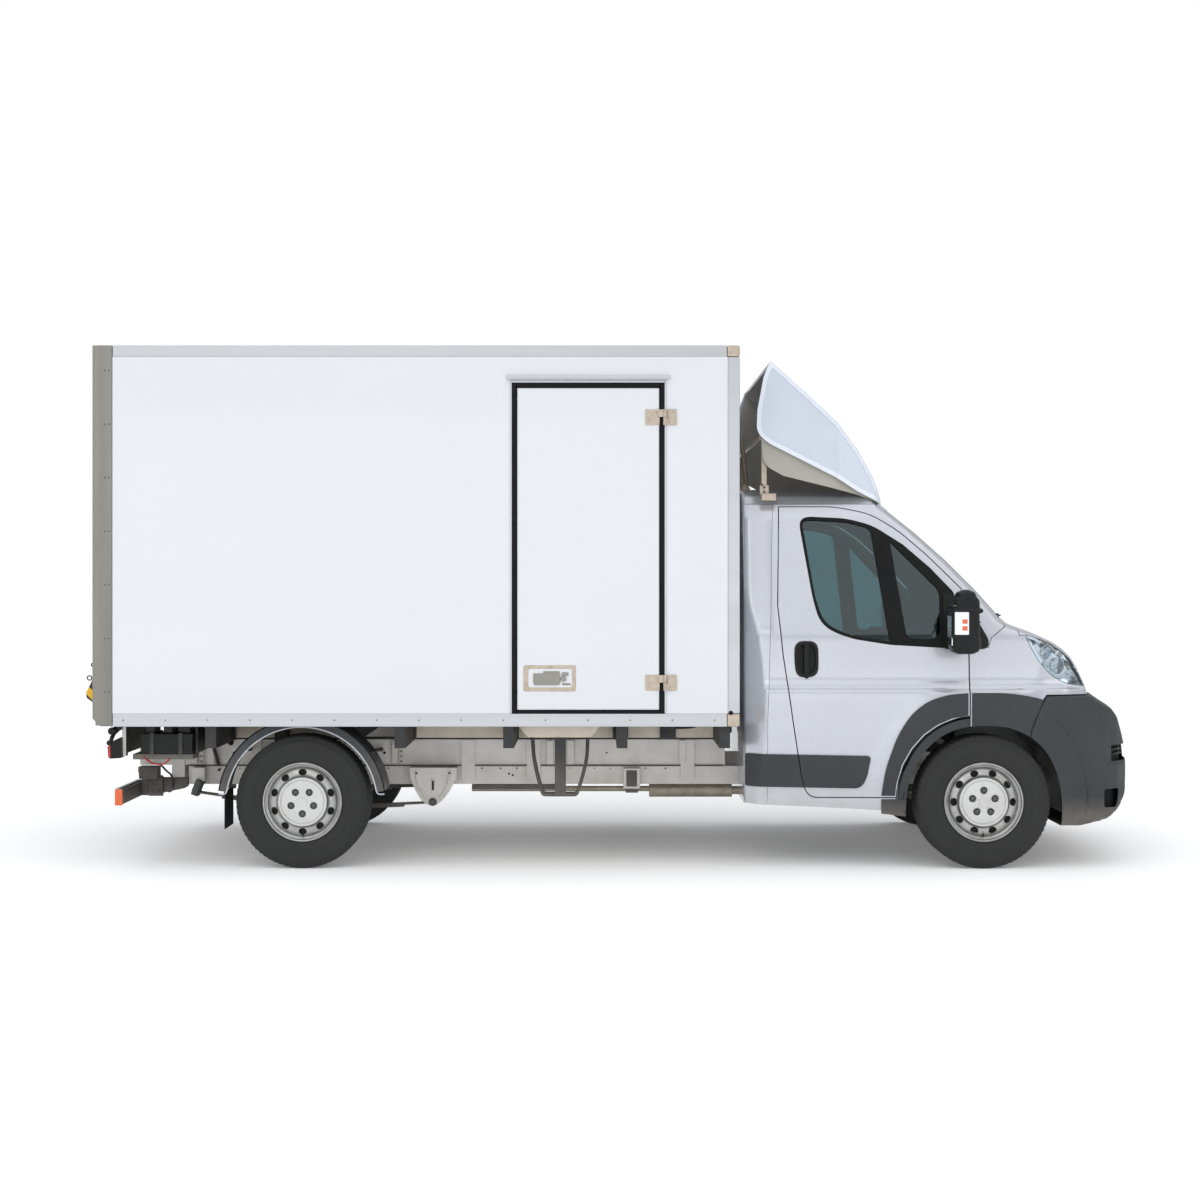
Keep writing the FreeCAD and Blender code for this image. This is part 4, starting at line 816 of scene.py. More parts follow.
# ------------------------------------------------------------------ cab form
@dataclass
class CabForm:
    """The smooth outer form that all cab panels are cut from.

    Attributes:
        sweep: how far behind the front axle the upright axis lies that the nose is turned about.
        profile: side profile on the middle plane.
        front: front profile of the left half.
        plan: plan of the left half.
        cell: size of the cells that the form is remeshed to.
        rounding: number of smoothing passes, which round the edges of the form.
    """

    sweep: float = 2.6
    profile: Rows = ((-2.5, 0.1), (-2.5, 2.15), (-1.02, 2.15), (-0.79, 2.136), (-0.56, 2.105),
                     (-0.484, 2.086), (-0.425, 2.036), (-0.24, 1.886), (-0.065, 1.727), (0.101, 1.558),
                     (0.258, 1.38), (0.29, 1.352), (0.412, 1.31), (0.529, 1.257), (0.585, 1.219),
                     (0.634, 1.172), (0.672, 1.108), (0.702, 1.04), (0.722, 0.99), (0.734, 0.94),
                     (0.734, 0.1))
    front: Rows = ((0.0, 0.1), (0.962, 0.1), (0.974, 0.42), (1.000, 0.62), (1.014, 0.80), (1.019, 0.93),
                   (1.004, 1.045), (1.000, 1.12), (0.985, 1.29), (0.822, 1.985), (0.785, 2.045),
                   (0.722, 2.092), (0.60, 2.118), (0.48, 2.135), (0.24, 2.149), (0.0, 2.151))
    plan: Rows = ((-1.332, 0.0), (-1.332, 0.96), (-1.314, 0.995), (-1.27, 1.012), (-0.9, 1.0135),
                  (0.0, 1.0135), (0.15, 1.0135), (0.32, 1.0), (0.47, 0.965), (0.59, 0.895), (0.69, 0.80),
                  (0.76, 0.67), (0.79, 0.56), (0.87, 0.30), (0.9, 0.0))
    cell: float = 0.014
    rounding: int = 6
    hull: Mesh = field(default=None, repr=False)

    def mirrored(self, rows: Rows, across: int) -> Rows:
        """Add the other half to the outline of one half."""
        flip = [tuple(-v if i == across else v for i, v in enumerate(row)) for row in reversed(rows)
                if abs(row[across]) > 1e-6]
        return [*rows, *flip]

    def build(self) -> None:
        """Turn the profile, trim it by the front and the plan, and smooth it."""
        half_turn = math.radians(36)
        nose = outline(self.profile, View.SIDE)
        centre = Vector((-self.sweep, 0, 0))
        bmesh.ops.rotate(nose, verts=nose.verts, cent=centre, matrix=Matrix.Rotation(-half_turn, 3, "Z"))
        bmesh.ops.spin(nose, geom=nose.faces[:] + nose.edges[:] + nose.verts[:], cent=centre, axis=(0, 0, 1),
                       angle=2 * half_turn, steps=40)
        bmesh.ops.recalc_face_normals(nose, faces=nose.faces)
        form = carve(nose, prism(self.mirrored(self.front, 0), View.FRONT, -3.0, 2.0), "INTERSECT")
        form = carve(form, prism(self.mirrored(self.plan, 1), View.PLAN, 0.0, 2.6), "INTERSECT")
        form = shaped(form, "REMESH", mode="VOXEL", voxel_size=self.cell)
        self.hull = shaped(form, "SMOOTH", factor=0.5, iterations=self.rounding)
        for face in self.hull.faces:
            face.material_index = 0
        self.hull.normal_update()
        for vert in self.hull.verts:
            if abs(vert.normal.y) > 0.5:
                vert.co.y += math.copysign(self.relief(vert.co), vert.normal.y)
        self.hull.normal_update()

    def relief(self, place: Vector) -> float:
        """Work out how far pressed features move the side outwards.

        Args:
            place: point of the side.

        Returns:
            Distance outwards, less than 0 for a sunk feature.
        """
        shoulder = 0.006 * ease(place.z, 1.010, 0.985) * ease(place.z, 0.80, 0.95)
        undercut = -0.009 * ease(place.z, 0.990, 1.012) * ease(place.z, 1.055, 1.030)
        from_axle = math.hypot(place.x, place.z - Wheel.radius)
        flare = 0.010 * ease(from_axle, 0.70, 0.61) * ease(place.z, 1.02, 0.985)
        back, front, low, high = (-1.302, -1.172, 1.315, 1.972)
        sunk = (ease(place.x, front, front - 0.016) * ease(place.x, back - 0.02, back)
                * ease(place.z, low, low + 0.016) * ease(place.z, high, high - 0.016))
        return shoulder + undercut + flare - 0.006 * sunk

    def surface(self) -> BVHTree:
        """Return the search tree of the form's surface."""
        return BVHTree.FromBMesh(self.hull)

    def grown(self, by: float) -> Mesh:
        """Return the form with its skin moved out by a distance."""
        twin = copied(self.hull)
        twin.normal_update()
        for vert in twin.verts:
            vert.co += vert.normal * by
        return twin

    def skin(self, zone: Mesh, holes: Iterable[Mesh] = (), thick: float = 0.004, lift: float = 0.0,
             rim: float = 0.0015) -> Mesh:
        """Cut one panel out of the form's surface.

        Args:
            zone: closed mesh round the panel; it is used up.
            holes: closed meshes to take out; they are used up.
            thick: thickness of the panel, inwards.
            lift: how far the panel stands off the form.
            rim: width of the rounding along its edges.

        Returns:
            Closed mesh of the panel.
        """
        patch = carve(self.grown(lift) if lift else copied(self.hull), zone, "INTERSECT")
        for hole in holes:
            patch = carve(patch, hole)
        cut_faces = [face for face in patch.faces if face.material_index == 1]
        bmesh.ops.delete(patch, geom=cut_faces, context="FACES")
        bmesh.ops.remove_doubles(patch, verts=patch.verts, dist=0.0004)
        panel = shaped(patch, "SOLIDIFY", thickness=thick, offset=-1.0, use_even_offset=False,
                       material_offset_rim=1)
        if rim:
            edges = [e for e in panel.edges if len(e.link_faces) == 2
                     and {f.material_index for f in e.link_faces} == {0, 1}]
            bmesh.ops.bevel(panel, geom=edges, offset=rim, segments=2, profile=0.5, affect="EDGES",
                            material=-1, clamp_overlap=True)
        return panel


@dataclass
class BumperForm(CabForm):
    """The outer form of the front bumper."""

    profile: Rows = ((0.0, 0.236), (0.0, 0.962), (0.742, 0.962), (0.775, 0.938), (0.862, 0.880),
                     (0.892, 0.835), (0.915, 0.75), (0.934, 0.665), (0.944, 0.562), (0.943, 0.48),
                     (0.936, 0.40), (0.901, 0.326), (0.838, 0.272), (0.690, 0.236))
    front: Rows = ((0.0, 0.2), (0.960, 0.2), (0.985, 0.27), (1.005, 0.36), (1.020, 0.50), (1.024, 0.62),
                   (1.024, 0.86), (1.019, 0.93), (1.010, 1.0), (0.0, 1.0))
    plan: Rows = ((0.0, 0.0), (0.0, 1.024), (0.30, 1.024), (0.43, 1.014), (0.57, 0.985), (0.69, 0.940),
                  (0.775, 0.872), (0.845, 0.785), (0.895, 0.67), (0.93, 0.53), (0.958, 0.37), (0.972, 0.20),
                  (0.975, 0.0))
    cell: float = 0.012
    rounding: int = 5

    def relief(self, place: Vector) -> float:
        """Raise the lip round the arch and sink the lower half a little, as the moulding does.

        Args:
            place: point of the side.

        Returns:
            Distance outwards, less than 0 for a sunk feature.
        """
        from_axle = math.hypot(place.x, place.z - 0.40)
        lip = 0.015 * ease(from_axle, 0.592, 0.572)
        lower = -0.013 * ease(place.z, 0.592, 0.574) * ease(place.x, 0.58, 0.62)
        return lip + lower - 0.008


# ------------------------------------------------------------------ cab panels
def ease(value: float, low: float, high: float) -> float:
    """Return a smooth step from 0 at low to 1 at high; low may be the larger."""
    part = min(1.0, max(0.0, (value - low) / (high - low)))
    return part * part * (3 - 2 * part)


def widened(rows: Rows, by: float) -> Rows:
    """Draw an outline outwards by a distance, with mitred corners.

    Args:
        rows: corners of the outline.
        by: distance; less than 0 draws it inwards.

    Returns:
        Rows of the new outline.
    """
    points = [Vector(row[:2]) for row in rows]
    turn = math.copysign(1.0, sum(a.cross(b) for a, b in zip(points, points[1:] + points[:1])))
    result = []
    for index, row in enumerate(rows):
        before = (points[index] - points[index - 1]).normalized()
        after = (points[(index + 1) % len(rows)] - points[index]).normalized()
        out = Vector((before.y + after.y, -before.x - after.x)) * turn / (1 + before.dot(after))
        result.append((*(points[index] + out * by), *row[2:]))
    return result


@dataclass
class CabPlan:
    """Outlines of the cab's panels in side view: x from the front axle and z above the ground.

    Attributes:
        door: edge of the right and left door.
        window: outer edge of the black window frame.
        pane: the sliding glass behind the divider.
        quarter: the small glass ahead of the divider.
        handle: surround of the door handle.
        arch: opening round the front wheel, closed below the sill.
        cladding: outer edge of the wheel-arch cladding.
        strip: rubbing strip along the sill.
        sill: area of the body side above the bottom edge of the sill.
        fender: area of the front wing.
        lamp: edge of the headlamp.
        bumper: area below and ahead of the bumper's seam.
        bonnet: area of the bonnet.
        screen: half of the windscreen's edge in front view, y and z.
        gap: seam between panels.
        roof_low: height of the roof seam.
    """

    door: Rows = ((-1.122, 2.024), (-1.140, 1.467), (-1.114, 1.189), (-1.062, 0.83), (-1.015, 0.532),
                  (-0.986, 0.423, 0.03), (-0.947, 0.398, 0.02), (-0.486, 0.398), (-0.479, 0.47),
                  (-0.45, 0.58), (-0.40, 0.67), (-0.335, 0.745), (-0.26, 0.798), (-0.18, 0.833),
                  (-0.084, 0.85), (-0.084, 1.181), (-0.113, 1.56), (-0.205, 1.655), (-0.301, 1.752),
                  (-0.457, 1.89, 0.05), (-0.613, 1.985, 0.06), (-0.808, 2.024, 0.05))
    window: Rows = ((-1.007, 1.899), (-1.008, 1.950, 0.03), (-0.967, 1.971, 0.03), (-0.742, 1.960, 0.05),
                    (-0.599, 1.922, 0.05), (-0.428, 1.812), (-0.281, 1.681), (-0.150, 1.540, 0.02),
                    (-0.131, 1.229, 0.01), (-0.226, 1.231), (-0.516, 1.248), (-0.767, 1.287, 0.08),
                    (-0.905, 1.36, 0.06), (-0.945, 1.50, 0.05))
    pane: Rows = ((-0.990, 1.905), (-0.990, 1.944, 0.02), (-0.96, 1.953, 0.02), (-0.745, 1.942, 0.04),
                  (-0.608, 1.906, 0.03), (-0.519, 1.270, 0.02), (-0.64, 1.285), (-0.765, 1.306, 0.07),
                  (-0.888, 1.375, 0.05), (-0.93, 1.505, 0.05))
    quarter: Rows = ((-0.502, 1.833, 0.012), (-0.232, 1.553, 0.03), (-0.237, 1.300, 0.03),
                     (-0.300, 1.279, 0.02), (-0.425, 1.286, 0.03))
    handle: Rows = ((-1.050, 1.27, 0.04), (-0.925, 1.27, 0.04), (-0.918, 1.173, 0.05), (-0.926, 1.071, 0.04),
                    (-1.044, 1.066, 0.04), (-1.058, 1.173, 0.05))
    arch: Rows = ((-0.435, 0.0), (-0.435, 0.35, 0.08), (-0.415, 0.50, 0.05), (-0.345, 0.645, 0.06),
                  (-0.25, 0.74, 0.06), (-0.13, 0.79, 0.05), (0.0, 0.803, 0.05), (0.13, 0.793, 0.05),
                  (0.25, 0.745, 0.05), (0.345, 0.66, 0.05), (0.41, 0.53, 0.06), (0.439, 0.36, 0.08),
                  (0.439, 0.0))
    cladding: Rows = ((-0.568, 0.30), (-0.568, 0.40), (-0.545, 0.56, 0.05), (-0.475, 0.765, 0.09),
                      (-0.375, 0.905, 0.09), (-0.240, 0.97, 0.07), (-0.085, 0.983), (0.12, 0.983, 0.05),
                      (0.25, 0.965, 0.05), (0.42, 0.920), (0.60, 0.80), (0.60, 0.05), (-0.568, 0.05))
    strip: Rows = ((-1.326, 0.458, 0.012), (-1.326, 0.641, 0.012), (-0.628, 0.628, 0.02),
                   (-0.652, 0.50, 0.03), (-0.684, 0.446, 0.03))
    sill: Rows = ((-1.5, 0.372), (-1.222, 0.354), (-0.914, 0.341), (-0.581, 0.324), (-0.40, 0.300),
                  (0.32, 0.300), (0.32, 2.3), (-1.5, 2.3))
    fender: Rows = ((-0.077, 0.31), (-0.077, 1.232), (0.030, 1.232), (0.048, 1.287), (0.155, 1.372),
                    (0.22, 1.42), (0.9, 1.42), (0.9, 0.31))
    lamp: Rows = ((0.232, 1.310), (0.262, 1.246, 0.02), (0.303, 1.166, 0.03), (0.370, 1.088, 0.03),
                  (0.455, 1.035, 0.04), (0.576, 1.018), (0.86, 1.016), (0.86, 1.34))
    bumper: Rows = ((0.300, 0.05), (0.262, 0.768), (0.312, 0.895), (0.352, 0.968), (1.1, 0.964), (1.1, 0.05))
    bonnet: Rows = ((0.203, 1.304), (0.238, 1.304), (0.433, 1.256, 0.05), (0.534, 1.177, 0.05),
                    (0.613, 1.025), (0.640, 0.972), (1.0, 0.972), (1.0, 1.5), (0.203, 1.5))
    screen: Rows = ((0.0, 1.395), (0.840, 1.395, 0.05), (0.745, 2.005, 0.06), (0.0, 2.03))
    seam: Rows = ((-1.1545, 2.2), (-1.1525, 2.2), (-1.2035, 0.84), (-1.2035, 0.2), (-1.2055, 0.2),
                  (-1.2055, 0.84))
    gap: float = 0.006
    roof_low: float = 2.045


@dataclass
class Cab:
    """Painted shell of the cab, cut panel by panel from one form.

    Attributes:
        layout: places of the axles.
        form: the outer form of the cab.
        plan: outlines of the panels.
        wall: thickness of pillars, roof and doors.
        sheet: thickness of single sheet metal.
        lamp_inside: half of the width between the lamps.
        scuttle: radius of the bonnet's rear edge about the axis that the nose is swept round.
    """

    layout: Layout
    form: CabForm
    plan: CabPlan = field(default_factory=CabPlan)
    wall: float = 0.036
    sheet: float = 0.004
    lamp_inside: float = 0.600
    scuttle: float = 2.89

    def zone(self, rows: Rows, by: float = 0.0, low: float = -FAR, high: float = 0.0) -> Mesh:
        """Make the closed zone behind a side-view outline.

        Args:
            rows: the outline.
            by: distance that it is drawn larger.
            low: one end across the cab.
            high: the other end; 0 keeps the right half only.

        Returns:
            Closed mesh.
        """
        return prism(widened(rows, by) if by else rows, View.SIDE, low, high)

    def screen_zone(self, by: float = 0.0) -> Mesh:
        """Return the zone of the windscreen, drawn larger by a distance."""
        rows = widened(self.form.mirrored(self.plan.screen, 0), by)
        return prism(rows, View.FRONT, -0.56, 0.34)

    def bonnet_zone(self, by: float = 0.0) -> Mesh:
        """Return the zone of the bonnet, drawn larger by a distance."""
        nose_half = self.lamp_inside - self.plan.gap + by
        side = self.zone(self.plan.bonnet, by, high=FAR)
        nose = block((0.40 - by, -nose_half, 0.972 - by), (1.0, nose_half, 1.5))
        scuttle = rod((-self.form.sweep, 0, 0), (-self.form.sweep, 0, FAR), self.scuttle - by, sides=360)
        return carve(carve(side, nose, "UNION"), scuttle)

    def roof_zone(self, by: float = 0.0) -> Mesh:
        """Return the zone of the roof, which comes down to the windscreen between the pillars."""
        low = self.plan.roof_low - by
        rows = ((-1.2, low), (-0.752 - by, low), (-0.735 - by, 1.95), (0.735 + by, 1.95), (0.752 + by, low),
                (1.2, low), (1.2, 2.4), (-1.2, 2.4))
        upper = prism(rows, View.FRONT, -0.75 - by, 1.0)
        return carve(upper, block((-1.5, -1.2, low), (-0.74, 1.2, 2.4)), "UNION")

    def place(self, bm: Mesh) -> Mesh:
        """Move a mesh from cab places to the frame."""
        return moved(bm, self.layout.cab)

    def pair(self, bm: Mesh) -> Mesh:
        """Place a mesh of the right side together with its mirror image."""
        return both(self.place(bm))

    def arch_margin(self, by: float) -> Mesh:
        """Return the zone round the upper wheel arch in which cladding takes the place of sheet metal."""
        return carve(self.zone(widened(self.plan.arch, by)), block((-1, -2, 0.30), (1, 0, 0.9)), "INTERSECT")

    def build(self) -> None:
        """Make the painted shell, the nose, the windscreen and the headlamps."""
        self.form.build()
        self.shell()
        self.nose()
        self.glazing()
        self.lamps()

    def shell(self) -> None:
        """Make roof, rear wall and both sides."""
        plan, form = self.plan, self.form
        rear = block((-2.0, -1.2, 0.52), (-1.322, 1.2, plan.roof_low))
        roof = form.skin(self.roof_zone(), [self.screen_zone(plan.gap / 2)], self.wall)
        Piece("roof_panel", "chassis", "silver_paint",
              ["cab_roof"]).put(self.place(roof), Finishes.SILVER).done()
        wall = form.skin(copied(rear), (), self.wall)
        for height in (0.72, 0.95, 1.18, 1.41, 1.64, 1.87):
            rib = block((-1.3345, -0.80, height), (-1.325, 0.80, height + 0.05), 0.004)
            wall = joined(wall, rib)
        Piece("rear_wall_panel", "chassis", "silver_paint", ["cab_rear_wall"]).put(
            self.place(wall), Finishes.SILVER).done()
        holes = [self.zone(plan.door, plan.gap), self.roof_zone(0.004), self.screen_zone(plan.gap / 2),
                 self.zone(plan.fender, 0.004), self.zone(plan.arch),
                 block((-2.0, -1.3, 0.519), (-1.3205, 0.0, plan.roof_low)), self.zone(plan.seam),
                 self.arch_margin(0.060)]
        side = form.skin(self.zone(plan.sill), holes, self.wall)
        for name, sign in SIDES.items():
            panel = copied(side) if sign < 0 else copied(side, MIRROR)
            Piece(f"side_panel_{name}", "chassis", "silver_paint", [f"cab_side_{name}"]).put(
                self.place(panel), Finishes.SILVER).done()
        side.free()
        rear.free()

    def nose(self) -> None:
        """Make the wings, the bonnet and the vents behind it."""
        plan, form = self.plan, self.form
        holes = [self.bonnet_zone(0.004), self.zone(plan.lamp, 0.003), self.zone(plan.bumper, 0.003),
                 self.zone(plan.arch), self.screen_zone(plan.gap / 2),
                 block((0.10, -0.705, 1.325), (1.0, 0.0, 1.50))]
        wing = form.skin(self.zone(plan.fender), holes, self.sheet)
        Piece("wing_panels", "chassis", "silver_paint", ["front_fenders"]).put(
            self.pair(wing), Finishes.SILVER).put(self.pair(self.liner()), Finishes.BLACK).done()
        bonnet = form.skin(self.bonnet_zone(), (), 0.012, rim=0.003)
        Piece("bonnet_panel", "bonnet", "silver_paint", ["bonnet"]).put(
            self.place(bonnet), Finishes.SILVER).done()
        cowl = form.skin(block((0.10, -0.70, 1.330), (1.0, 0.70, 1.393)), [self.bonnet_zone(0.006)], 0.012,
                         lift=-0.006)
        Piece("scuttle_panel", "chassis", "black_plastic", ["cowl_panel"]).put(
            self.place(cowl), Finishes.BLACK).put(self.place(self.wipers()), Finishes.RUBBER).done()

    def liner(self) -> Mesh:
        """Return the plastic liner of the right wheel arch, a vault."""
        bm = bmesh.new()
        centre = Vector((0, -0.60, self.layout.tyre_radius))
        ends = [bm.verts.new(centre + Vector((0.440, y, -0.06))) for y in (0.0, -0.392)]
        edge = bm.edges.new(ends)
        bmesh.ops.spin(bm, geom=[*ends, edge], cent=centre, axis=(0, 1, 0), angle=-math.radians(196),
                       steps=40)
        bmesh.ops.solidify(bm, geom=bm.faces, thickness=0.004)
        return bm

    def wipers(self) -> Mesh:
        """Return two wipers: arms and blades that lie on the foot of the windscreen."""
        skin = self.form.surface()
        parts = []
        for pivot, tip in ((0.62, -0.02), (-0.06, -0.70)):
            line = []
            for share in (0.0, 0.25, 0.5, 0.75, 1.0):
                y = pivot + (tip - pivot) * share
                hit, normal, *_ = skin.ray_cast(Vector((2, y, 1.392 + 0.012 * share)), Vector((-1, 0, 0)))
                line.append((hit, normal))
            parts.append(run([hit + normal * 0.007 for hit, normal in line], 0.005))
            blade = [hit + normal * 0.004 + Vector((-0.010, 0, 0.010)) for hit, normal in line[1:]]
            parts.append(run(blade, 0.004))
            hub = line[0][0] + line[0][1] * 0.002
            parts.append(rod(hub - line[0][1] * 0.03, hub + line[0][1] * 0.014, 0.014, round_by=0.003))
        return joined(*parts)

    def glazing(self) -> None:
        """Make the windscreen with its black printed edge, and the inside mirror."""
        zone, inner = self.screen_zone(), self.screen_zone(-0.045)
        pane = self.form.skin(zone, (), 0.005, lift=-0.004, rim=0.0)
        edge = self.form.skin(self.screen_zone(-0.001), [inner], 0.001, lift=-0.0098, rim=0.0)
        mirror = block((-0.315, -0.11, 1.80), (-0.295, 0.11, 1.86), 0.008)
        stem = rod((-0.300, 0, 1.845), (-0.285, 0, 1.880), 0.006)
        Piece("front_window", "chassis", "window_glass", ["windscreen"]).put(
            self.place(pane), Finishes.WINDOW).put(self.place(edge), Finishes.RUBBER).put(
            self.place(joined(mirror, stem)), Finishes.BLACK).done()

    def lamps(self) -> None:
        """Make the headlamps: clear covers, chromed cups, bowls with a painted glow and the painted strip
        below.
        """
        plan, form = self.plan, self.form
        holes = [block((-1, -self.lamp_inside, 0.9), (2, 0.0, 1.5)), self.bonnet_zone(0.004),
                 self.zone(plan.bumper, 0.003)]
        def area(by: float) -> Mesh:
            """Return the lamp's zone, smaller by a distance, as the bonnet and the nose leave it."""
            zone = self.zone(plan.lamp, -by)
            zone = carve(zone, block((-1, -self.lamp_inside - by, 0.9), (2, 0.5, 1.5)))
            return carve(zone, self.bonnet_zone(0.004 + by))
        for hole in holes:
            hole.free()
        cover = form.skin(area(0.0), (), 0.003, lift=-0.0005, rim=0.001)
        rim = form.skin(area(0.001), [area(0.014)], 0.050, lift=-0.005, rim=0.001)
        # The bowl's finish carries a painted glow that stands in for the light it gathers behind the cover.
        bowl = form.skin(area(0.010), (), 0.004, lift=-0.052, rim=0.0)
        skin = form.surface()
        bulbs = []
        for x, z, radius in ((0.415, 1.130, 0.050), (0.515, 1.085, 0.045), (0.350, 1.205, 0.036)):
            hit, normal, *_ = skin.ray_cast(Vector((x, -2, z)), Vector((0, 1, 0)))
            way = normal.normalized()
            mouth = hit - way * 0.012
            cup = rod(mouth - way * 0.045, mouth, radius * 0.35, 28, tip=radius)
            top = [f for f in cup.faces if f.normal.dot(way) > 0.9]
            bmesh.ops.inset_region(cup, faces=top, thickness=0.003)
            bmesh.ops.inset_region(cup, faces=top, thickness=radius * 0.55, depth=-0.03)
            bulbs.append(cup)
            bulbs.append(rod(mouth - way * 0.04, mouth - way * 0.012, 0.008, 12, 0.002))
        blade = run([(0.30, -0.955, 1.17), (0.40, -0.925, 1.10), (0.52, -0.86, 1.05), (0.60, -0.80, 1.04)],
                    0.006)
        Piece("headlamp_units", "chassis", "lamp_lens", ["headlamps"]).put(
            self.pair(cover), Finishes.LENS).put(self.pair(rim), Finishes.CHROME).put(
            self.pair(bowl), Finishes.REFLECTOR).put(self.pair(joined(*bulbs)), Finishes.CHROME).put(
            self.pair(blade), Finishes.SILVER).done()


@dataclass
class Door:
    """One cab door with its window, handle, cladding and mirror, drawn on the right.

    Attributes:
        cab: the cab that it is cut from.
        proud: height of cladding and strip over the paint.
        mirror_x: front and back of the mirror housing.
        mirror_y: outer and inner side of it.
        mirror_z: bottom and top of it.
    """

    cab: Cab
    proud: float = 0.0115
    mirror_x: tuple[float, float] = (-0.232, -0.060)
    mirror_y: tuple[float, float] = (-1.288, -1.112)
    mirror_z: tuple[float, float] = (1.206, 1.558)

    def leaf(self) -> Mesh:
        """Return the painted leaf with its window and handle cut out."""
        cab, plan = self.cab, self.cab.plan
        holes = [cab.zone(plan.window), cab.zone(plan.handle, -0.006), cab.arch_margin(0.060)]
        return cab.form.skin(cab.zone(plan.door), holes, 0.038)

    def frame(self) -> Mesh:
        """Return the black frame round both panes."""
        cab, plan = self.cab, self.cab.plan
        return cab.form.skin(cab.zone(plan.window, -0.0006), [cab.zone(plan.pane), cab.zone(plan.quarter)],
                             0.036, lift=-0.0005, rim=0.003)

    def panes(self) -> Mesh:
        """Return both panes."""
        cab, plan = self.cab, self.cab.plan
        pane = cab.form.skin(cab.zone(plan.pane, 0.004), (), 0.004, lift=-0.012, rim=0.0)
        quarter = cab.form.skin(cab.zone(plan.quarter, 0.004), (), 0.004, lift=-0.010, rim=0.0)
        return joined(pane, quarter)

    def cladding(self) -> Mesh:
        """Return the wheel-arch cladding and the rubbing strip, up to the door's edge."""
        cab, plan = self.cab, self.cab.plan
        arch = carve(cab.zone(plan.cladding), cab.zone(plan.door, -0.008), "INTERSECT")
        strip = carve(cab.zone(plan.strip), cab.zone(plan.door), "INTERSECT")
        arch = cab.form.skin(arch, (), self.proud - 0.0005, lift=self.proud, rim=0.0045)
        return joined(arch, cab.form.skin(strip, (), self.proud - 0.0005, lift=self.proud, rim=0.003))

    def handle(self) -> Mesh:
        """Return the handle: a dished surround, a dark cup and an upright grip."""
        cab, plan = self.cab, self.cab.plan
        rim = cab.form.skin(cab.zone(plan.handle), [cab.zone(plan.handle, -0.016)], 0.030, lift=0.005,
                            rim=0.003)
        cup = cab.form.skin(cab.zone(plan.handle, -0.014), (), 0.004, lift=-0.022, rim=0.0)
        y = -1.000
        grip = block((-1.004, y - 0.012, 1.082), (-0.970, y + 0.010, 1.256), 0.009)
        feet = [block((-1.000, y - 0.004, z), (-0.974, y + 0.028, z + 0.030), 0.006) for z in (1.086, 1.222)]
        lock = rod((-0.987, y + 0.012, 1.075), (-0.987, y - 0.014, 1.075), 0.013, round_by=0.002)
        return joined(rim, cup, grip, *feet, lock)

    def lining(self) -> Mesh:
        """Return the inner panel with its armrest and pocket."""
        cab, plan = self.cab, self.cab.plan
        panel = cab.form.skin(cab.zone(plan.door, -0.035), [cab.zone(plan.window, 0.015)], 0.010,
                              lift=-0.0385, rim=0.003)
        arm = block((-0.80, -0.955, 1.02), (-0.38, -0.900, 1.09), 0.018)
        pocket = block((-0.92, -0.950, 0.50), (-0.55, -0.895, 0.62), 0.015)
        return joined(panel, arm, pocket)

    def mirror(self) -> tuple[Mesh, Mesh, Mesh, Mesh]:
        """Shape the mirror.

        Returns:
            Housing with arms, glass, white lamp window and orange reflectors.
        """
        (x0, x1), (y0, y1), (z0, z1) = self.mirror_x, self.mirror_y, self.mirror_z
        split = z0 + 0.232
        bulb = block((x0, y0, z0), (x1 - 0.004, y1, z0 + 0.125), 0.046)
        trunk = block((x0 + 0.004, y0 + 0.002, z0 + 0.07), (x1 - 0.016, y1 - 0.002, split), 0.022)
        collar = block((x0 + 0.008, y0 - 0.003, split - 0.008), (x1 + 0.002, y1 + 0.003, split + 0.018),
                       0.012)
        head = block((x0 + 0.020, y0 + 0.006, split), (x1 - 0.012, y1 - 0.006, z1 - 0.040), 0.030)
        dome = block((x0 + 0.030, y0 + 0.010, split + 0.02), (x1 - 0.020, y1 - 0.010, z1), 0.050)
        body = joined(bulb, trunk, collar, head, dome)
        body = shaped(body, "REMESH", mode="VOXEL", voxel_size=0.005)
        body = shaped(body, "SMOOTH", factor=0.5, iterations=5)
        ribs = [block((x1 - 0.024, y0 + 0.03, z), (x1 - 0.008, y1 - 0.03, z + 0.008), 0.003)
                for z in (z0 + 0.12, z0 + 0.145, z0 + 0.17)]
        arms = [block((-0.185, y1 - 0.01, z), (-0.120, -0.935, z + 0.036), 0.012) for z in (1.262, 1.430)]
        lamp = block((x0 + 0.016, y0 - 0.001, 1.312), (x0 + 0.094, y0 + 0.03, 1.440), 0.006)
        lights = [block((x0 + 0.055, y0 - 0.0018, z), (x0 + 0.086, y0 + 0.02, z + 0.026), 0.003)
                  for z in (1.372, 1.335)]
        glasses = [block((back, y0 + 0.026, low), (back + 0.014, y1 - 0.026, high), 0.006)
                   for back, low, high in ((x0 + 0.003, z0 + 0.045, split - 0.022),
                                           (x0 + 0.020, split + 0.028, z1 - 0.085))]
        return joined(body, *ribs, *arms), joined(*glasses), lamp, joined(*lights)

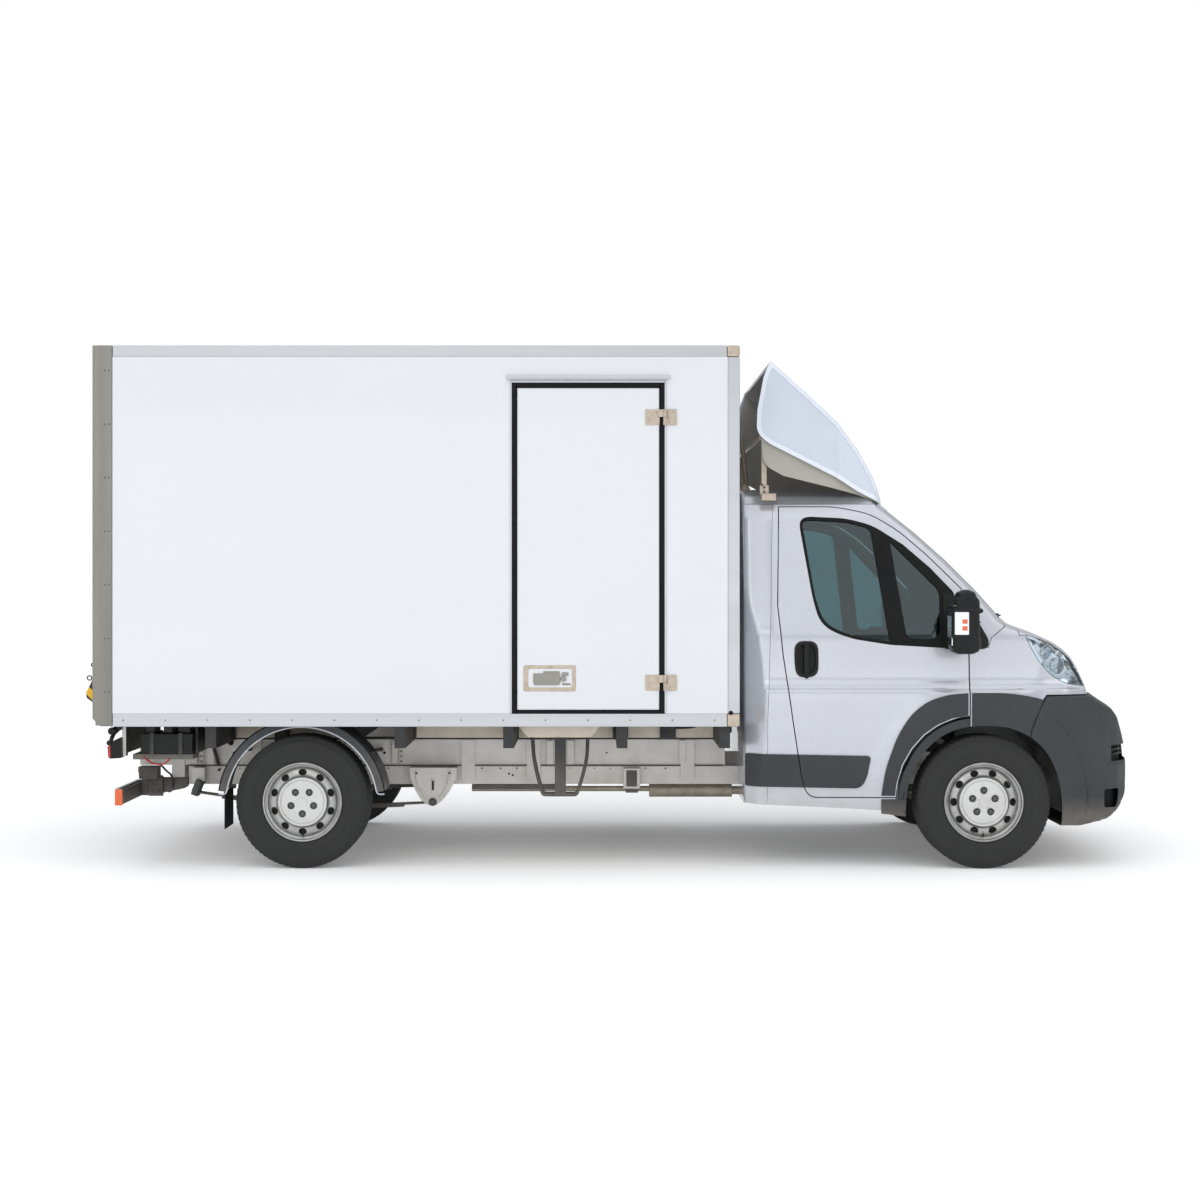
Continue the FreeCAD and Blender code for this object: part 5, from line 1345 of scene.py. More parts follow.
    def foot(self, ahead: bool = False) -> Mesh:
        """Return the black triangle that carries the mirror's arms.

        Args:
            ahead: take the corner on the wing instead of the part on the door.

        Returns:
            Closed mesh.
        """
        rows = ((-0.215, 1.545, 0.02), (-0.225, 1.226, 0.02), (0.020, 1.226, 0.03), (0.034, 1.268, 0.03),
                (-0.025, 1.380, 0.02), (-0.150, 1.530, 0.02))
        zone, door = self.cab.zone(rows), self.cab.plan.door
        if ahead:
            zone = carve(zone, self.cab.zone(door, 0.004))
            return self.cab.form.skin(zone, [self.cab.screen_zone(0.004)], 0.010, lift=0.012, rim=0.004)
        zone = carve(zone, self.cab.zone(door, -0.002), "INTERSECT")
        return self.cab.form.skin(zone, (), 0.012, lift=0.012, rim=0.004)

    def build(self) -> None:
        """Make both doors, the left as the mirror image of the right."""
        housing, glass, lamp, lights = self.mirror()
        parts = [(self.leaf(), Finishes.SILVER), (self.lining(), Finishes.TRIM)]
        trims = [(self.cladding(), Finishes.MOULDING), (self.handle(), Finishes.BLACK),
                 (joined(housing, self.foot()), Finishes.BLACK), (glass, Finishes.CHROME),
                 (lamp, Finishes.WHITE_LENS), (lights, Finishes.ORANGE)]
        windows = [(self.panes(), Finishes.WINDOW), (self.frame(), Finishes.RUBBER)]
        for name, sign in SIDES.items():
            for label, slot, group, node in (("leaf", "silver_paint", parts, "door"),
                                             ("window", "window_glass", windows, "door_glass"),
                                             ("trim", "black_plastic", trims, "door_trim")):
                piece = Piece(f"door_{label}_{name}", f"door_{name}", slot, [f"{node}_{name}"])
                for bm, finish in group:
                    piece.put(self.cab.place(copied(bm) if sign < 0 else copied(bm, MIRROR)), finish)
                piece.done()
        for bm, _ in parts + trims + windows:
            bm.free()


@dataclass
class Bumper:
    """Front bumper in grained plastic, its grilles, and the fixed wheel-arch cladding.

    Attributes:
        cab: the cab.
        form: outer form of the bumper.
        mouth: y half width, bottom and top of the cooling grille.
        wing_slot: inner and outer y, bottom and top of the slots beside it.
    """

    cab: Cab
    form: "BumperForm"
    mouth: tuple[float, float, float] = (0.52, 0.60, 0.85)
    wing_slot: tuple[float, float, float, float] = (0.575, 1.1, 0.592, 0.682)

    def build(self) -> None:
        """Make the bumper and the fixed cladding."""
        self.form.build()
        self.shell()
        self.cladding()

    def shell(self) -> None:
        """Cut the bumper's shell, its openings, bars and recesses."""
        plan, cab = self.cab.plan, self.cab
        half, low, high = self.mouth
        inner, outer, slot_low, slot_high = self.wing_slot
        recess = ((0.683, 0.439, 0.012), (0.788, 0.439, 0.012), (0.783, 0.368, 0.01), (0.768, 0.333, 0.01),
                  (0.683, 0.338, 0.012))
        holes = [cab.zone(plan.arch, high=FAR), block((0.70, -half, low), (1.2, half, high)),
                 block((0.70, -0.42, 0.335), (1.2, 0.42, 0.45))]
        for sign in SIDES.values():
            y = sorted((sign * inner, sign * outer))
            holes.append(block((0.736, y[0], slot_low), (1.2, y[1], slot_high)))
            y = sorted((sign * 0.66, sign * 1.1))
            holes.append(prism(recess, View.SIDE, *y))
        shell = self.form.skin(cab.zone(plan.bumper, high=FAR), holes, 0.005, rim=0.004)
        behind = carve(cab.zone(((0.60, 0.28), (0.60, 0.92), (1.1, 0.92), (1.1, 0.28)), high=FAR),
                       block((-1, -0.94, 0), (0.69, 0.94, 2)))
        backing = self.form.skin(behind, (), 0.004, lift=-0.034, rim=0.0)
        bars = []
        for row in range(5):
            z = low + 0.025 + row * (high - low - 0.04) / 4
            bars.append(self.form.skin(block((0.7, -half - 0.01, z - 0.006), (1.2, half + 0.01, z + 0.006)),
                                       (), 0.016, lift=-0.010, rim=0.002))
        for z in (0.63, 0.655):
            bars.append(self.form.skin(carve(block((0.7, -0.98, z - 0.004), (1.2, 0.98, z + 0.004)),
                                             block((0, -half, 0), (2, half, 2))), (), 0.014, lift=-0.014,
                                       rim=0.0015))
        for z in (0.365, 0.395, 0.425):
            bars.append(self.form.skin(block((0.7, -0.43, z - 0.005), (1.2, 0.43, z + 0.005)), (), 0.014,
                                       lift=-0.010, rim=0.0015))
        Piece("bumper_shell", "chassis", "black_plastic", ["front_bumper"]).put(
            cab.place(shell), Finishes.MOULDING).done()
        Piece("bumper_grilles", "chassis", "black_plastic", ["grille"]).put(
            cab.place(backing), Finishes.RUBBER).put(cab.place(joined(*bars)), Finishes.BLACK).done()

    def cladding(self) -> None:
        """Make the fixed parts of the cladding: the front arch, its lip and the strip behind the door."""
        cab, plan = self.cab, self.cab.plan
        proud = Door.proud
        zone = carve(cab.zone(plan.cladding), cab.zone(plan.fender, -0.007), "INTERSECT")
        front = cab.form.skin(zone, [cab.zone(plan.arch), cab.zone(plan.bumper, 0.003)], proud - 0.0005,
                              lift=proud, rim=0.003)
        lip_rows = widened(plan.arch, 0.045)
        lip_zone = carve(cab.zone(lip_rows), block((-1, -2, 0.30), (-0.083, 0, 0.9)), "INTERSECT")
        lip = cab.form.skin(lip_zone, [cab.zone(plan.arch), cab.zone(plan.door, 0.004)], 0.020, lift=0.006,
                            rim=0.004)
        tail = carve(cab.zone(((-0.568, 0.306), (-0.568, 0.385), (-0.43, 0.385), (-0.43, 0.29))),
                     cab.zone(plan.arch))
        tail = cab.form.skin(tail, [cab.zone(plan.door, 0.004)], 0.012, lift=proud, rim=0.003)
        strip = carve(cab.zone(plan.strip), cab.zone(plan.door, plan.gap))
        strip = cab.form.skin(strip, (), proud - 0.0005, lift=proud, rim=0.003)
        corner = Door(cab).foot(ahead=True)
        Piece("wheel_arch_cladding", "chassis", "black_plastic", ["arch_cladding"]).put(
            cab.pair(joined(front, lip, tail, strip)), Finishes.MOULDING).put(
            cab.pair(corner), Finishes.BLACK).done()


# ------------------------------------------------------------------ wheels
@dataclass
class Wheel:
    """Steel wheel with ten vents, its centre cap and its tyre, turned about an axis along y.

    Attributes:
        radius: outer radius of the tyre.
        width: width of the tyre.
        flange: radius of the rim's lip.
        dish: radius of the flat disc inside the vents.
        vent_circle: radius of the circle of vents.
        vents: number of vents.
        bolt_circle: radius of the circle of bolt pockets.
        cap: radius of the centre cap.
        lugs: number of tread blocks round the tyre.
    """

    radius: float = 0.372
    width: float = 0.225
    flange: float = 0.221
    dish: float = 0.140
    vent_circle: float = 0.165
    vents: int = 10
    bolt_circle: float = 0.066
    cap: float = 0.137
    lugs: int = 72

    def tyre(self) -> Mesh:
        """Turn the carcass: outer wall towards less y, with bead, bulge, shoulder and grooved tread."""
        half, top, seat = self.width / 2, self.radius, self.flange
        wall = [(seat - 0.006, -half + 0.020), (seat + 0.004, -half + 0.012), (seat + 0.012, -half + 0.010),
                (seat + 0.018, -half + 0.006), (seat + 0.045, -half + 0.001), (seat + 0.048, -half - 0.001),
                (seat + 0.051, -half + 0.001), (seat + 0.080, -half), (seat + 0.110, -half + 0.004),
                (seat + 0.114, -half + 0.003), (seat + 0.118, -half + 0.007), (top - 0.020, -half + 0.011)]
        shoulder = [(top - 0.010, -half + 0.018), (top - 0.004, -half + 0.027)]
        tread = []
        for place in (-0.052, -0.018, 0.018, 0.052):
            tread += [(top - 0.001, place - 0.006), (top - 0.009, place - 0.004),
                      (top - 0.009, place + 0.004), (top - 0.001, place + 0.006)]
        half_rows = [*wall, *shoulder]
        rows = [*half_rows, *tread, *[(r, -y) for r, y in reversed(half_rows)]]
        return lathe(rows, (0, 0, 0), 96, closed=True)

    def blocks(self) -> Mesh:
        """Return the shoulder blocks of the tread, one bevelled block repeated round the tyre."""
        half, top = self.width / 2, self.radius
        pitch = math.tau / self.lugs
        one = block((-0.40 * pitch * top, -half + 0.0135, top - 0.026),
                    (0.40 * pitch * top, -half + 0.040, top - 0.0012), 0.0)
        bmesh.ops.bisect_plane(one, geom=one.verts[:] + one.edges[:] + one.faces[:],
                               plane_co=(0, -half + 0.018, top - 0.006), plane_no=(0, -1, 0.9),
                               clear_outer=True)
        bmesh.ops.holes_fill(one, edges=one.edges)
        ring = bmesh.new()
        for number in range(self.lugs):
            turn = Matrix.Rotation(number * pitch, 4, "Y")
            ring = joined(ring, copied(one, turn), copied(one, turn @ MIRROR))
        one.free()
        return ring

    def rim(self, face: float, half_step: float) -> Mesh:
        """Turn the rim and its disc, and cut the vents.

        Args:
            face: y of the disc's front face at the vents.
            half_step: turn of the first vent from the top, in steps between vents.

        Returns:
            Closed mesh.
        """
        half, lip = self.width / 2, self.flange
        rows = [(lip, -half + 0.014), (lip, -half + 0.009), (lip - 0.003, -half + 0.006),
                (lip - 0.008, -half + 0.007), (lip - 0.010, -half + 0.013), (lip - 0.012, -half + 0.024),
                (lip - 0.018, -half + 0.030), (lip - 0.024, -half + 0.034), (lip - 0.026, -half + 0.050),
                (self.vent_circle + 0.026, face + 0.030), (self.vent_circle + 0.020, face + 0.012),
                (self.vent_circle + 0.006, face + 0.002), (self.vent_circle - 0.012, face),
                (self.dish + 0.006, face + 0.004), (self.dish - 0.004, face + 0.012), (0.030, face + 0.012),
                (0.030, face + 0.018), (self.dish - 0.004, face + 0.018), (self.dish + 0.010, face + 0.010),
                (self.vent_circle - 0.010, face + 0.006), (self.vent_circle + 0.004, face + 0.008),
                (self.vent_circle + 0.016, face + 0.018), (self.vent_circle + 0.024, half - 0.030),
                (lip - 0.008, half - 0.014), (lip, half - 0.010), (lip + 0.002, half - 0.016),
                (lip - 0.016, half - 0.034), (lip - 0.016, -half + 0.036), (lip - 0.004, -half + 0.026)]
        body = lathe(rows, (0, 0, 0), 96)
        for number in range(self.vents):
            turn = Matrix.Rotation((number + half_step) * math.tau / self.vents, 4, "Y")
            vent = rod((0, -0.2, self.vent_circle), (0, 0.2, self.vent_circle), 0.0190, 24)
            vent.transform(Matrix.Translation((0, 0, self.vent_circle)) @ Matrix.Diagonal((1.20, 1, 1, 1))
                           @ Matrix.Translation((0, 0, -self.vent_circle)))
            body = carve(body, moved(vent, turn))
        for edge_face in body.faces:
            edge_face.material_index = 0
        return body

    def cover(self, face: float, first: float) -> tuple[Mesh, Mesh]:
        """Make the centre cap with its bolt pockets, and the bolts in them.

        Args:
            face: y of the cap's front face.
            first: turn of the first bolt from the top, in radians.

        Returns:
            The cap and the bolts.
        """
        rows = [(0.0, face - 0.001), (0.0245, face - 0.001), (0.0265, face + 0.0014), (0.030, face + 0.0006),
                (0.084, face + 0.0006), (0.117, face + 0.003), (0.1200, face + 0.0065),
                (0.1225, face + 0.0065), (0.1250, face + 0.002), (0.1290, face + 0.0012),
                (0.1340, face + 0.002), (self.cap, face + 0.006), (self.cap - 0.001, face + 0.018),
                (0.0, face + 0.018)]
        disc = lathe(rows, (0, 0, 0), 96, closed=False)
        bmesh.ops.holes_fill(disc, edges=[e for e in disc.edges if e.is_boundary])
        bolts = []
        for number in range(5):
            turn = Matrix.Rotation(first + number * math.tau / 5, 4, "Y")
            pocket = rod((0, face - 0.02, self.bolt_circle), (0, face + 0.030, self.bolt_circle), 0.0205, 28)
            disc = carve(disc, moved(pocket, turn))
            head = rod((0, face + 0.014, self.bolt_circle), (0, face + 0.004, self.bolt_circle), 0.0125, 6,
                       0.0015)
            washer = rod((0, face + 0.0165, self.bolt_circle), (0, face + 0.012, self.bolt_circle), 0.0195,
                         24, 0.001)
            bolts.append(moved(joined(head, washer), turn))
        soften(disc, 0.0012, math.radians(70))
        return disc, joined(*bolts)

    def build(self, name: str, centre: Vector, outward: int, front: bool) -> None:
        """Make one wheel in place.

        Args:
            name: its node and body.
            centre: middle of the tyre.
            outward: -1 on the right side, 1 on the left.
            front: a front wheel, whose cap has one bolt at the top.
        """
        face = -self.width / 2 + 0.010
        cap, bolts = self.cover(face, 0.0 if front else math.pi)
        nave = rod((0, face + 0.02, 0), (0, 0.03, 0), 0.058, 40, 0.004)
        brake = rod((0, -0.022, 0), (0, 0.006, 0), 0.182, 64, 0.003)
        valve = run([(0.0, -0.070, -0.190), (0.0, -0.088, -0.186), (0.0, -0.104, -0.178)], 0.004)
        place = Matrix.Translation(centre) @ (Matrix.Identity(4) if outward < 0 else MIRROR)
        piece = Piece(f"{name}_assembly", name, "tyre_rubber", [name])
        for bm, finish in ((self.tyre(), Finishes.TYRE), (self.blocks(), Finishes.TYRE),
                           (self.rim(face + 0.012, 0.5 if front else 0.0), Finishes.WHEEL),
                           (cap, Finishes.CAP),
                           (bolts, Finishes.FORGED), (joined(nave, brake), Finishes.FORGED),
                           (valve, Finishes.RUBBER)):
            piece.put(copied(bm, place), finish)
            bm.free()
        piece.done()


# ------------------------------------------------------------------ load box
@dataclass
class LoadBox:
    """Insulated box body: flat boards held by extrusions, a side door and a steel rear frame.

    Attributes:
        joints: the frame's joints, for the axis of the side door.
        tray_corner: from the side door's lower rear corner to the tray's, along x and z.
    """

    joints: list
    tray_corner: tuple[float, float] = (0.034, 0.102)

    def rivets(self, points: Iterable[Sequence[float]], way: Sequence[float], radius: float = 0.006) -> Mesh:
        """Set low domed rivets.

        Args:
            points: their places on the surface.
            way: direction they stand out in.
            radius: their radius.

        Returns:
            Mesh of all of them.
        """
        way = Vector(way)
        turn = way.to_track_quat("Z", "Y").to_matrix().to_4x4()
        heads = bmesh.new()
        for point in points:
            place = Matrix.Translation(Vector(point) + way * 0.0008) @ turn
            bmesh.ops.create_cone(heads, cap_ends=True, segments=10, radius1=radius, radius2=radius * 0.55,
                                  depth=0.003, matrix=place)
        return heads

    def extrusions(self) -> None:
        """Round and groove the edge profiles, and set their rivets."""
        low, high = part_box("edge_rails")
        half = high.y
        front, rear_in = high.x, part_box("box_wall_left")[0].x
        parts = []
        for z0, z1, lips in ((low.z, low.z + 0.072, (0.010, 0.058)), (high.z - 0.063, high.z,
                                                                      (0.010, 0.050))):
            for sign in (-1, 1):
                y0, y1 = sorted((sign * (half - 0.045), sign * half))
                span = (rear_in + 0.001, front - 0.071)
                parts.append(block((span[0], y0, z0), (span[1], y1, z1), 0.004))
                y0, y1 = sorted((sign * (half - 0.002), sign * (half + 0.0012)))
                for lip in lips:
                    parts.append(block((span[0], y0, z0 + lip), (span[1], y1, z0 + lip + 0.004), 0.001))
            parts.append(block((front - 0.066, -half + 0.071, z0), (front, half - 0.071, z1), 0.004))
        for sign in (-1, 1):
            y0, y1 = sorted((sign * (half - 0.069), sign * half))
            parts.append(block((front - 0.066, y0, low.z + 0.073), (front, y1, high.z - 0.064), 0.006))
            y0, y1 = sorted((sign * (half - 0.002), sign * (half + 0.001)))
            parts.append(block((front - 0.060, y0, low.z + 0.073), (front - 0.056, y1, high.z - 0.064),
                               0.0008))
        spots = []
        count = 15
        for number in range(count):
            x = rear_in + 0.06 + number * (front - 0.20 - rear_in) / (count - 1)
            for sign in (-1, 1):
                spots.append((x, sign * half, low.z + 0.036))
        rivets = [self.rivets([s for s in spots if s[1] * sign > 0], (0, sign, 0)) for sign in (-1, 1)]
        Piece("edge_profiles", "chassis", "rail_aluminium", ["edge_rails"]).put(
            joined(*parts), Finishes.ANODISED).put(joined(*rivets), Finishes.STAINLESS).done()

    def caps(self) -> None:
        """Round the four corner caps, and set a screw at the top of each of the two lower ones."""
        low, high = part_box("corner_caps")
        size = 0.070
        front, half = high.x, high.y
        parts, screws = [], []
        for sign in (-1, 1):
            for z0, z1 in ((low.z, low.z + 0.072), (high.z - 0.063, high.z)):
                y0, y1 = sorted((sign * (half - size), sign * half))
                parts.append(block((front - size, y0, z0), (front, y1, z1), 0.009))
            screws.append(rod((front - 0.050, sign * half, low.z + 0.077),
                              (front - 0.050, sign * (half + 0.004), low.z + 0.077), 0.012, 24, 0.0015))
        Piece("corner_castings", "chassis", "beige_steel", ["corner_caps"]).put(
            joined(*parts), Finishes.GALVANISED).put(joined(*screws), Finishes.RUBBER).done()

    def rear_frame(self) -> None:
        """Make the stainless rear frame with pairs of rivets and its cut lower corner."""
        low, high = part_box("rear_frame")
        depth = high.x - low.x
        half, post = high.y, 0.060
        parts = []
        for sign in (-1, 1):
            y0, y1 = sorted((sign * (half - post), sign * half))
            column = block((low.x, y0, low.z), (high.x - 0.0008, y1, high.z), 0.003)
            cutter = prism(((low.x - 0.1, low.z - 0.1), (low.x - 0.1, low.z + 0.045),
                            (low.x - 0.001, low.z + 0.045), (low.x + 0.045, low.z - 0.001),
                            (low.x + 0.045, low.z - 0.1)), View.SIDE, y0 - 1, y1 + 1)
            column = carve(column, cutter)
            parts.append(column)
        header = block((low.x, -half + post + 0.0005, high.z - 0.11),
                       (high.x - 0.0008, half - post - 0.0005, high.z), 0.003)
        sill = block((low.x, -half + post + 0.0005, low.z), (low.x + 0.055, half - post - 0.0005,
                                                             low.z + 0.07), 0.003)
        parts += [header, sill]
        rivets = []
        for sign in (-1, 1):
            points = [(low.x + depth - x, sign * half, low.z + 0.19 + number * (high.z - low.z - 0.33) / 6)
                      for number in range(7) for x in (0.018, 0.040)]
            rivets.append(self.rivets(points, (0, sign, 0), 0.005))
            seam = sorted((sign * (half - 0.001), sign * (half + 0.0012)))
            parts.append(block((high.x - 0.012, seam[0], low.z + 0.02),
                               (high.x - 0.004, seam[1], high.z - 0.01), 0.001))
            parts.append(block((low.x + 0.008, seam[0], low.z + 0.06),
                               (low.x + 0.012, seam[1], high.z - 0.01), 0.001))
        Piece("rear_portal", "chassis", "stainless", ["rear_frame"]).put(
            joined(*parts), Finishes.STAINLESS).put(joined(*rivets), Finishes.FORGED).done()

    def side_door(self) -> None:
        """Make the door's leaf, its seal, the aluminium frame, the gutter and the hinges."""
        low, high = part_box("side_door")
        wall = low.y
        leaf = block((low.x, wall + 0.0005, low.z), (high.x, high.y, high.z), 0.004)
        edge = [block((low.x + 0.001, wall - 0.0004, z0), (high.x - 0.001, wall + 0.002, z1), 0.0008)
                for z0, z1 in ((low.z + 0.001, low.z + 0.006), (high.z - 0.006, high.z - 0.001))]
        edge += [block((x0, wall - 0.0004, low.z + 0.006), (x1, wall + 0.002, high.z - 0.006), 0.0008)
                 for x0, x1 in ((low.x + 0.001, low.x + 0.006), (high.x - 0.006, high.x - 0.001))]
        Piece("side_door_leaf", "side_door", "box_skin", ["side_door"]).put(leaf, Finishes.GELCOAT).put(
            joined(*edge), Finishes.ANODISED).done()
        seal_width = 0.041
        seal, metal = [], []
        x0, x1 = low.x - seal_width, high.x + seal_width
        z0, z1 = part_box("box_wall_right")[0].z, high.z + seal_width
        inner, outer = wall + 0.040, wall + 0.001
        play = 0.005
        seal.append(block((x0 + 0.012, outer, z0), (low.x - play, inner, z1 - 0.012), 0.006))
        seal.append(block((high.x + play, outer, z0), (x1 - 0.012, inner, z1 - 0.012), 0.006))
        seal.append(block((low.x - play, outer, high.z + play), (high.x + play, inner, z1 - 0.012), 0.006))
        seal.append(block((low.x - play, outer, z0 + 0.001), (high.x + play, inner, low.z - play), 0.006))
        metal.append(block((x0, outer - 0.002, z0), (x0 + 0.0115, inner, z1), 0.002))
        metal.append(block((x1 - 0.0115, outer - 0.002, z0), (x1, inner, z1), 0.002))
        metal.append(block((x0 + 0.012, outer - 0.002, z1 - 0.0115), (x1 - 0.012, inner, z1), 0.002))
        gutter = prism(((-wall - 0.001, z1 + 0.006), (-wall + 0.020, z1 + 0.006), (-wall + 0.024, z1 + 0.012),
                        (-wall + 0.022, z1 + 0.016), (-wall + 0.006, z1 + 0.014),
                        (-wall - 0.001, z1 + 0.032)), View.FRONT, x0 - 0.018, x1 + 0.018)
        gutter = copied(gutter, MIRROR)
        Piece("side_door_surround", "chassis", "seal_rubber", ["side_door_frame"]).put(
            joined(*seal), Finishes.RUBBER).put(joined(*metal), Finishes.ANODISED).put(
            gutter, Finishes.ANODISED).put(self.hinge_fixed(wall), Finishes.GALVANISED).done()
        Piece("side_door_hardware", "side_door", "beige_steel", ["side_door_fittings"]).put(
            self.hinge_leaf(wall), Finishes.GALVANISED).put(self.tray(wall), Finishes.GALVANISED).put(
            self.lock(wall), Finishes.STAINLESS).done()

    def hinge_places(self) -> tuple[float, float, list[tuple[float, float]]]:
        """Return the hinge axis's x and y, and bottom and top of each hinge."""
        pivot = next(joint for joint in self.joints if joint["name"] == "side_door_swing")["pos_m"]
        low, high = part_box("side_door")
        return pivot[0], pivot[1], [(low.z + 0.107, low.z + 0.193), (high.z - 0.205, high.z - 0.119)]

    def hinge_leaf(self, wall: float) -> Mesh:
        """Return the moving straps with their barrels' upper halves."""
        x, y, spans = self.hinge_places()
        parts = []
        for z0, z1 in spans:
            middle = (z0 + z1) / 2
            parts.append(block((x - 0.109, wall - 0.0045, z0), (x - 0.030, wall - 0.0003, z1), 0.0015))
            parts.append(block((x - 0.040, wall - 0.012, middle + 0.001), (x - 0.004, wall - 0.0003, z1),
                               0.003))
            parts.append(rod((x, y, middle + 0.001), (x, y, z1), 0.011, 24, 0.0015))
            parts.append(self.rivets([(x - place, wall - 0.0042, z) for place in (0.094, 0.052)
                                      for z in (z0 + 0.016, z1 - 0.016)], (0, -1, 0), 0.0055))
        return joined(*parts)

    def hinge_fixed(self, wall: float) -> Mesh:
        """Return the plates on the frame with their barrels' lower halves."""
        x, y, spans = self.hinge_places()
        parts = []
        for z0, z1 in spans:
            middle = (z0 + z1) / 2
            parts.append(block((x + 0.014, wall - 0.0045, z0), (x + 0.064, wall - 0.0003, z1), 0.0015))
            parts.append(block((x + 0.002, wall - 0.012, z0), (x + 0.022, wall - 0.0003, middle - 0.001),
                               0.003))
            parts.append(rod((x, y, z0), (x, y, middle - 0.001), 0.011, 24, 0.0015))
            parts.append(self.rivets([(x + place, wall - 0.0042, z) for place in (0.028, 0.050)
                                      for z in (z0 + 0.016, z1 - 0.016)], (0, -1, 0), 0.0055))
        return joined(*parts)

    def tray(self, wall: float) -> Mesh:
        """Return the recessed tray of the door's lock with its rolled rim."""
        low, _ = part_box("side_door")
        x0, z0 = low.x + self.tray_corner[0], low.z + self.tray_corner[1]
        x1, z1 = low.x + 0.325, low.z + 0.247
        plate = prism(((x0, z0, 0.012), (x1, z0, 0.012), (x1, z1, 0.012), (x0, z1, 0.012)), View.SIDE,
                      wall - 0.0015, wall + 0.0165)
        hollow = prism(((x0 + 0.028, z0 + 0.022, 0.012), (x1 - 0.022, z0 + 0.022, 0.012),
                        (x1 - 0.022, z1 - 0.020, 0.012), (x0 + 0.028, z1 - 0.020, 0.012)), View.SIDE,
                       wall - 0.1, wall + 0.012)
        plate = soften(carve(plate, hollow), 0.0018, math.radians(50))
        screws = self.rivets([(x, wall - 0.0015, z) for x in (x0 + 0.012, (x0 + x1) / 2, x1 - 0.011)
                              for z in (z0 + 0.010, z1 - 0.010)], (0, -1, 0), 0.0045)
        return joined(plate, screws)

    def lock(self, wall: float) -> Mesh:
        """Return the paddle, its bar and its pivot inside the tray."""
        low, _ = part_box("side_door")
        x, z = low.x + self.tray_corner[0], low.z + self.tray_corner[1]
        paddle = block((x + 0.055, wall - 0.006, z + 0.045), (x + 0.205, wall + 0.006, z + 0.100), 0.004)
        lip = block((x + 0.058, wall - 0.009, z + 0.036), (x + 0.200, wall + 0.004, z + 0.050), 0.004)
        bar = block((x + 0.110, wall - 0.004, z + 0.098), (x + 0.200, wall + 0.008, z + 0.112), 0.003)
        hub = rod((x + 0.222, wall + 0.011, z + 0.070), (x + 0.222, wall - 0.009, z + 0.070), 0.016, 24,
                  0.002)
        catch = block((x + 0.212, wall - 0.004, z + 0.086), (x + 0.250, wall + 0.009, z + 0.106), 0.003)
        spring = rod((x + 0.215, wall + 0.003, z + 0.040), (x + 0.262, wall + 0.003, z + 0.040), 0.006, 12,
                     0.001)
        return joined(paddle, lip, bar, hub, catch, spring)

    def build(self) -> None:
        """Make every piece that replaces a plain node of the box."""
        self.extrusions()
        self.caps()
        self.rear_frame()
        self.side_door()


# ------------------------------------------------------------------ chassis and rear
def sector(centre: Sequence[float], radii: tuple[float, float], angles: tuple[float, float],
           span: tuple[float, float], steps: int = 48) -> Mesh:
    """Make a closed part of a ring about an axis along y.

    Args:
        centre: x and z of the axis.
        radii: inner and outer radius.
        angles: first and last angle in degrees, from forwards to upwards.
        span: its ends along y.
        steps: number of steps along it.

    Returns:
        Closed mesh.
    """
    bm = bmesh.new()
    axis = Vector((centre[0], 0, centre[1]))
    start = math.radians(angles[0])
    way = Vector((math.cos(start), 0, math.sin(start)))
    rows = [(radii[0], span[0]), (radii[1], span[0]), (radii[1], span[1]), (radii[0], span[1])]
    face = bm.faces.new([bm.verts.new(axis + way * radius + Vector((0, y, 0))) for radius, y in rows])
    bmesh.ops.spin(bm, geom=[face, *face.edges, *face.verts], cent=axis, axis=(0, 1, 0),
                   angle=-math.radians(angles[1] - angles[0]), steps=steps)
    bmesh.ops.recalc_face_normals(bm, faces=bm.faces)
    return bm


def dress(frame: dict, name: str, finish: Finish, other: Finish | None = None,
          where: Callable[[Vector], bool] | None = None, edge: float = 0.0015) -> None:
    """Give a CAD node its finishes and soft edges.

    Args:
        frame: the loaded frame.
        name: the node.
        finish: its finish.
        other: finish of some of its faces.
        where: tells from the middle of a face whether it wears the other finish.
        edge: width of its softened edges.
    """
    node = frame["nodes"][name]
    node.data.materials.clear()
    node.data.materials.append(finish.material())
    if other:
        node.data.materials.append(other.material())
        for face in node.data.polygons:
            face.material_index = int(where(node.matrix_world @ face.center))
    soft = node.modifiers.new("soft_edges", "BEVEL")
    soft.width, soft.segments, soft.limit_method = edge, 2, "ANGLE"
    soft.angle_limit, soft.harden_normals = math.radians(40), True


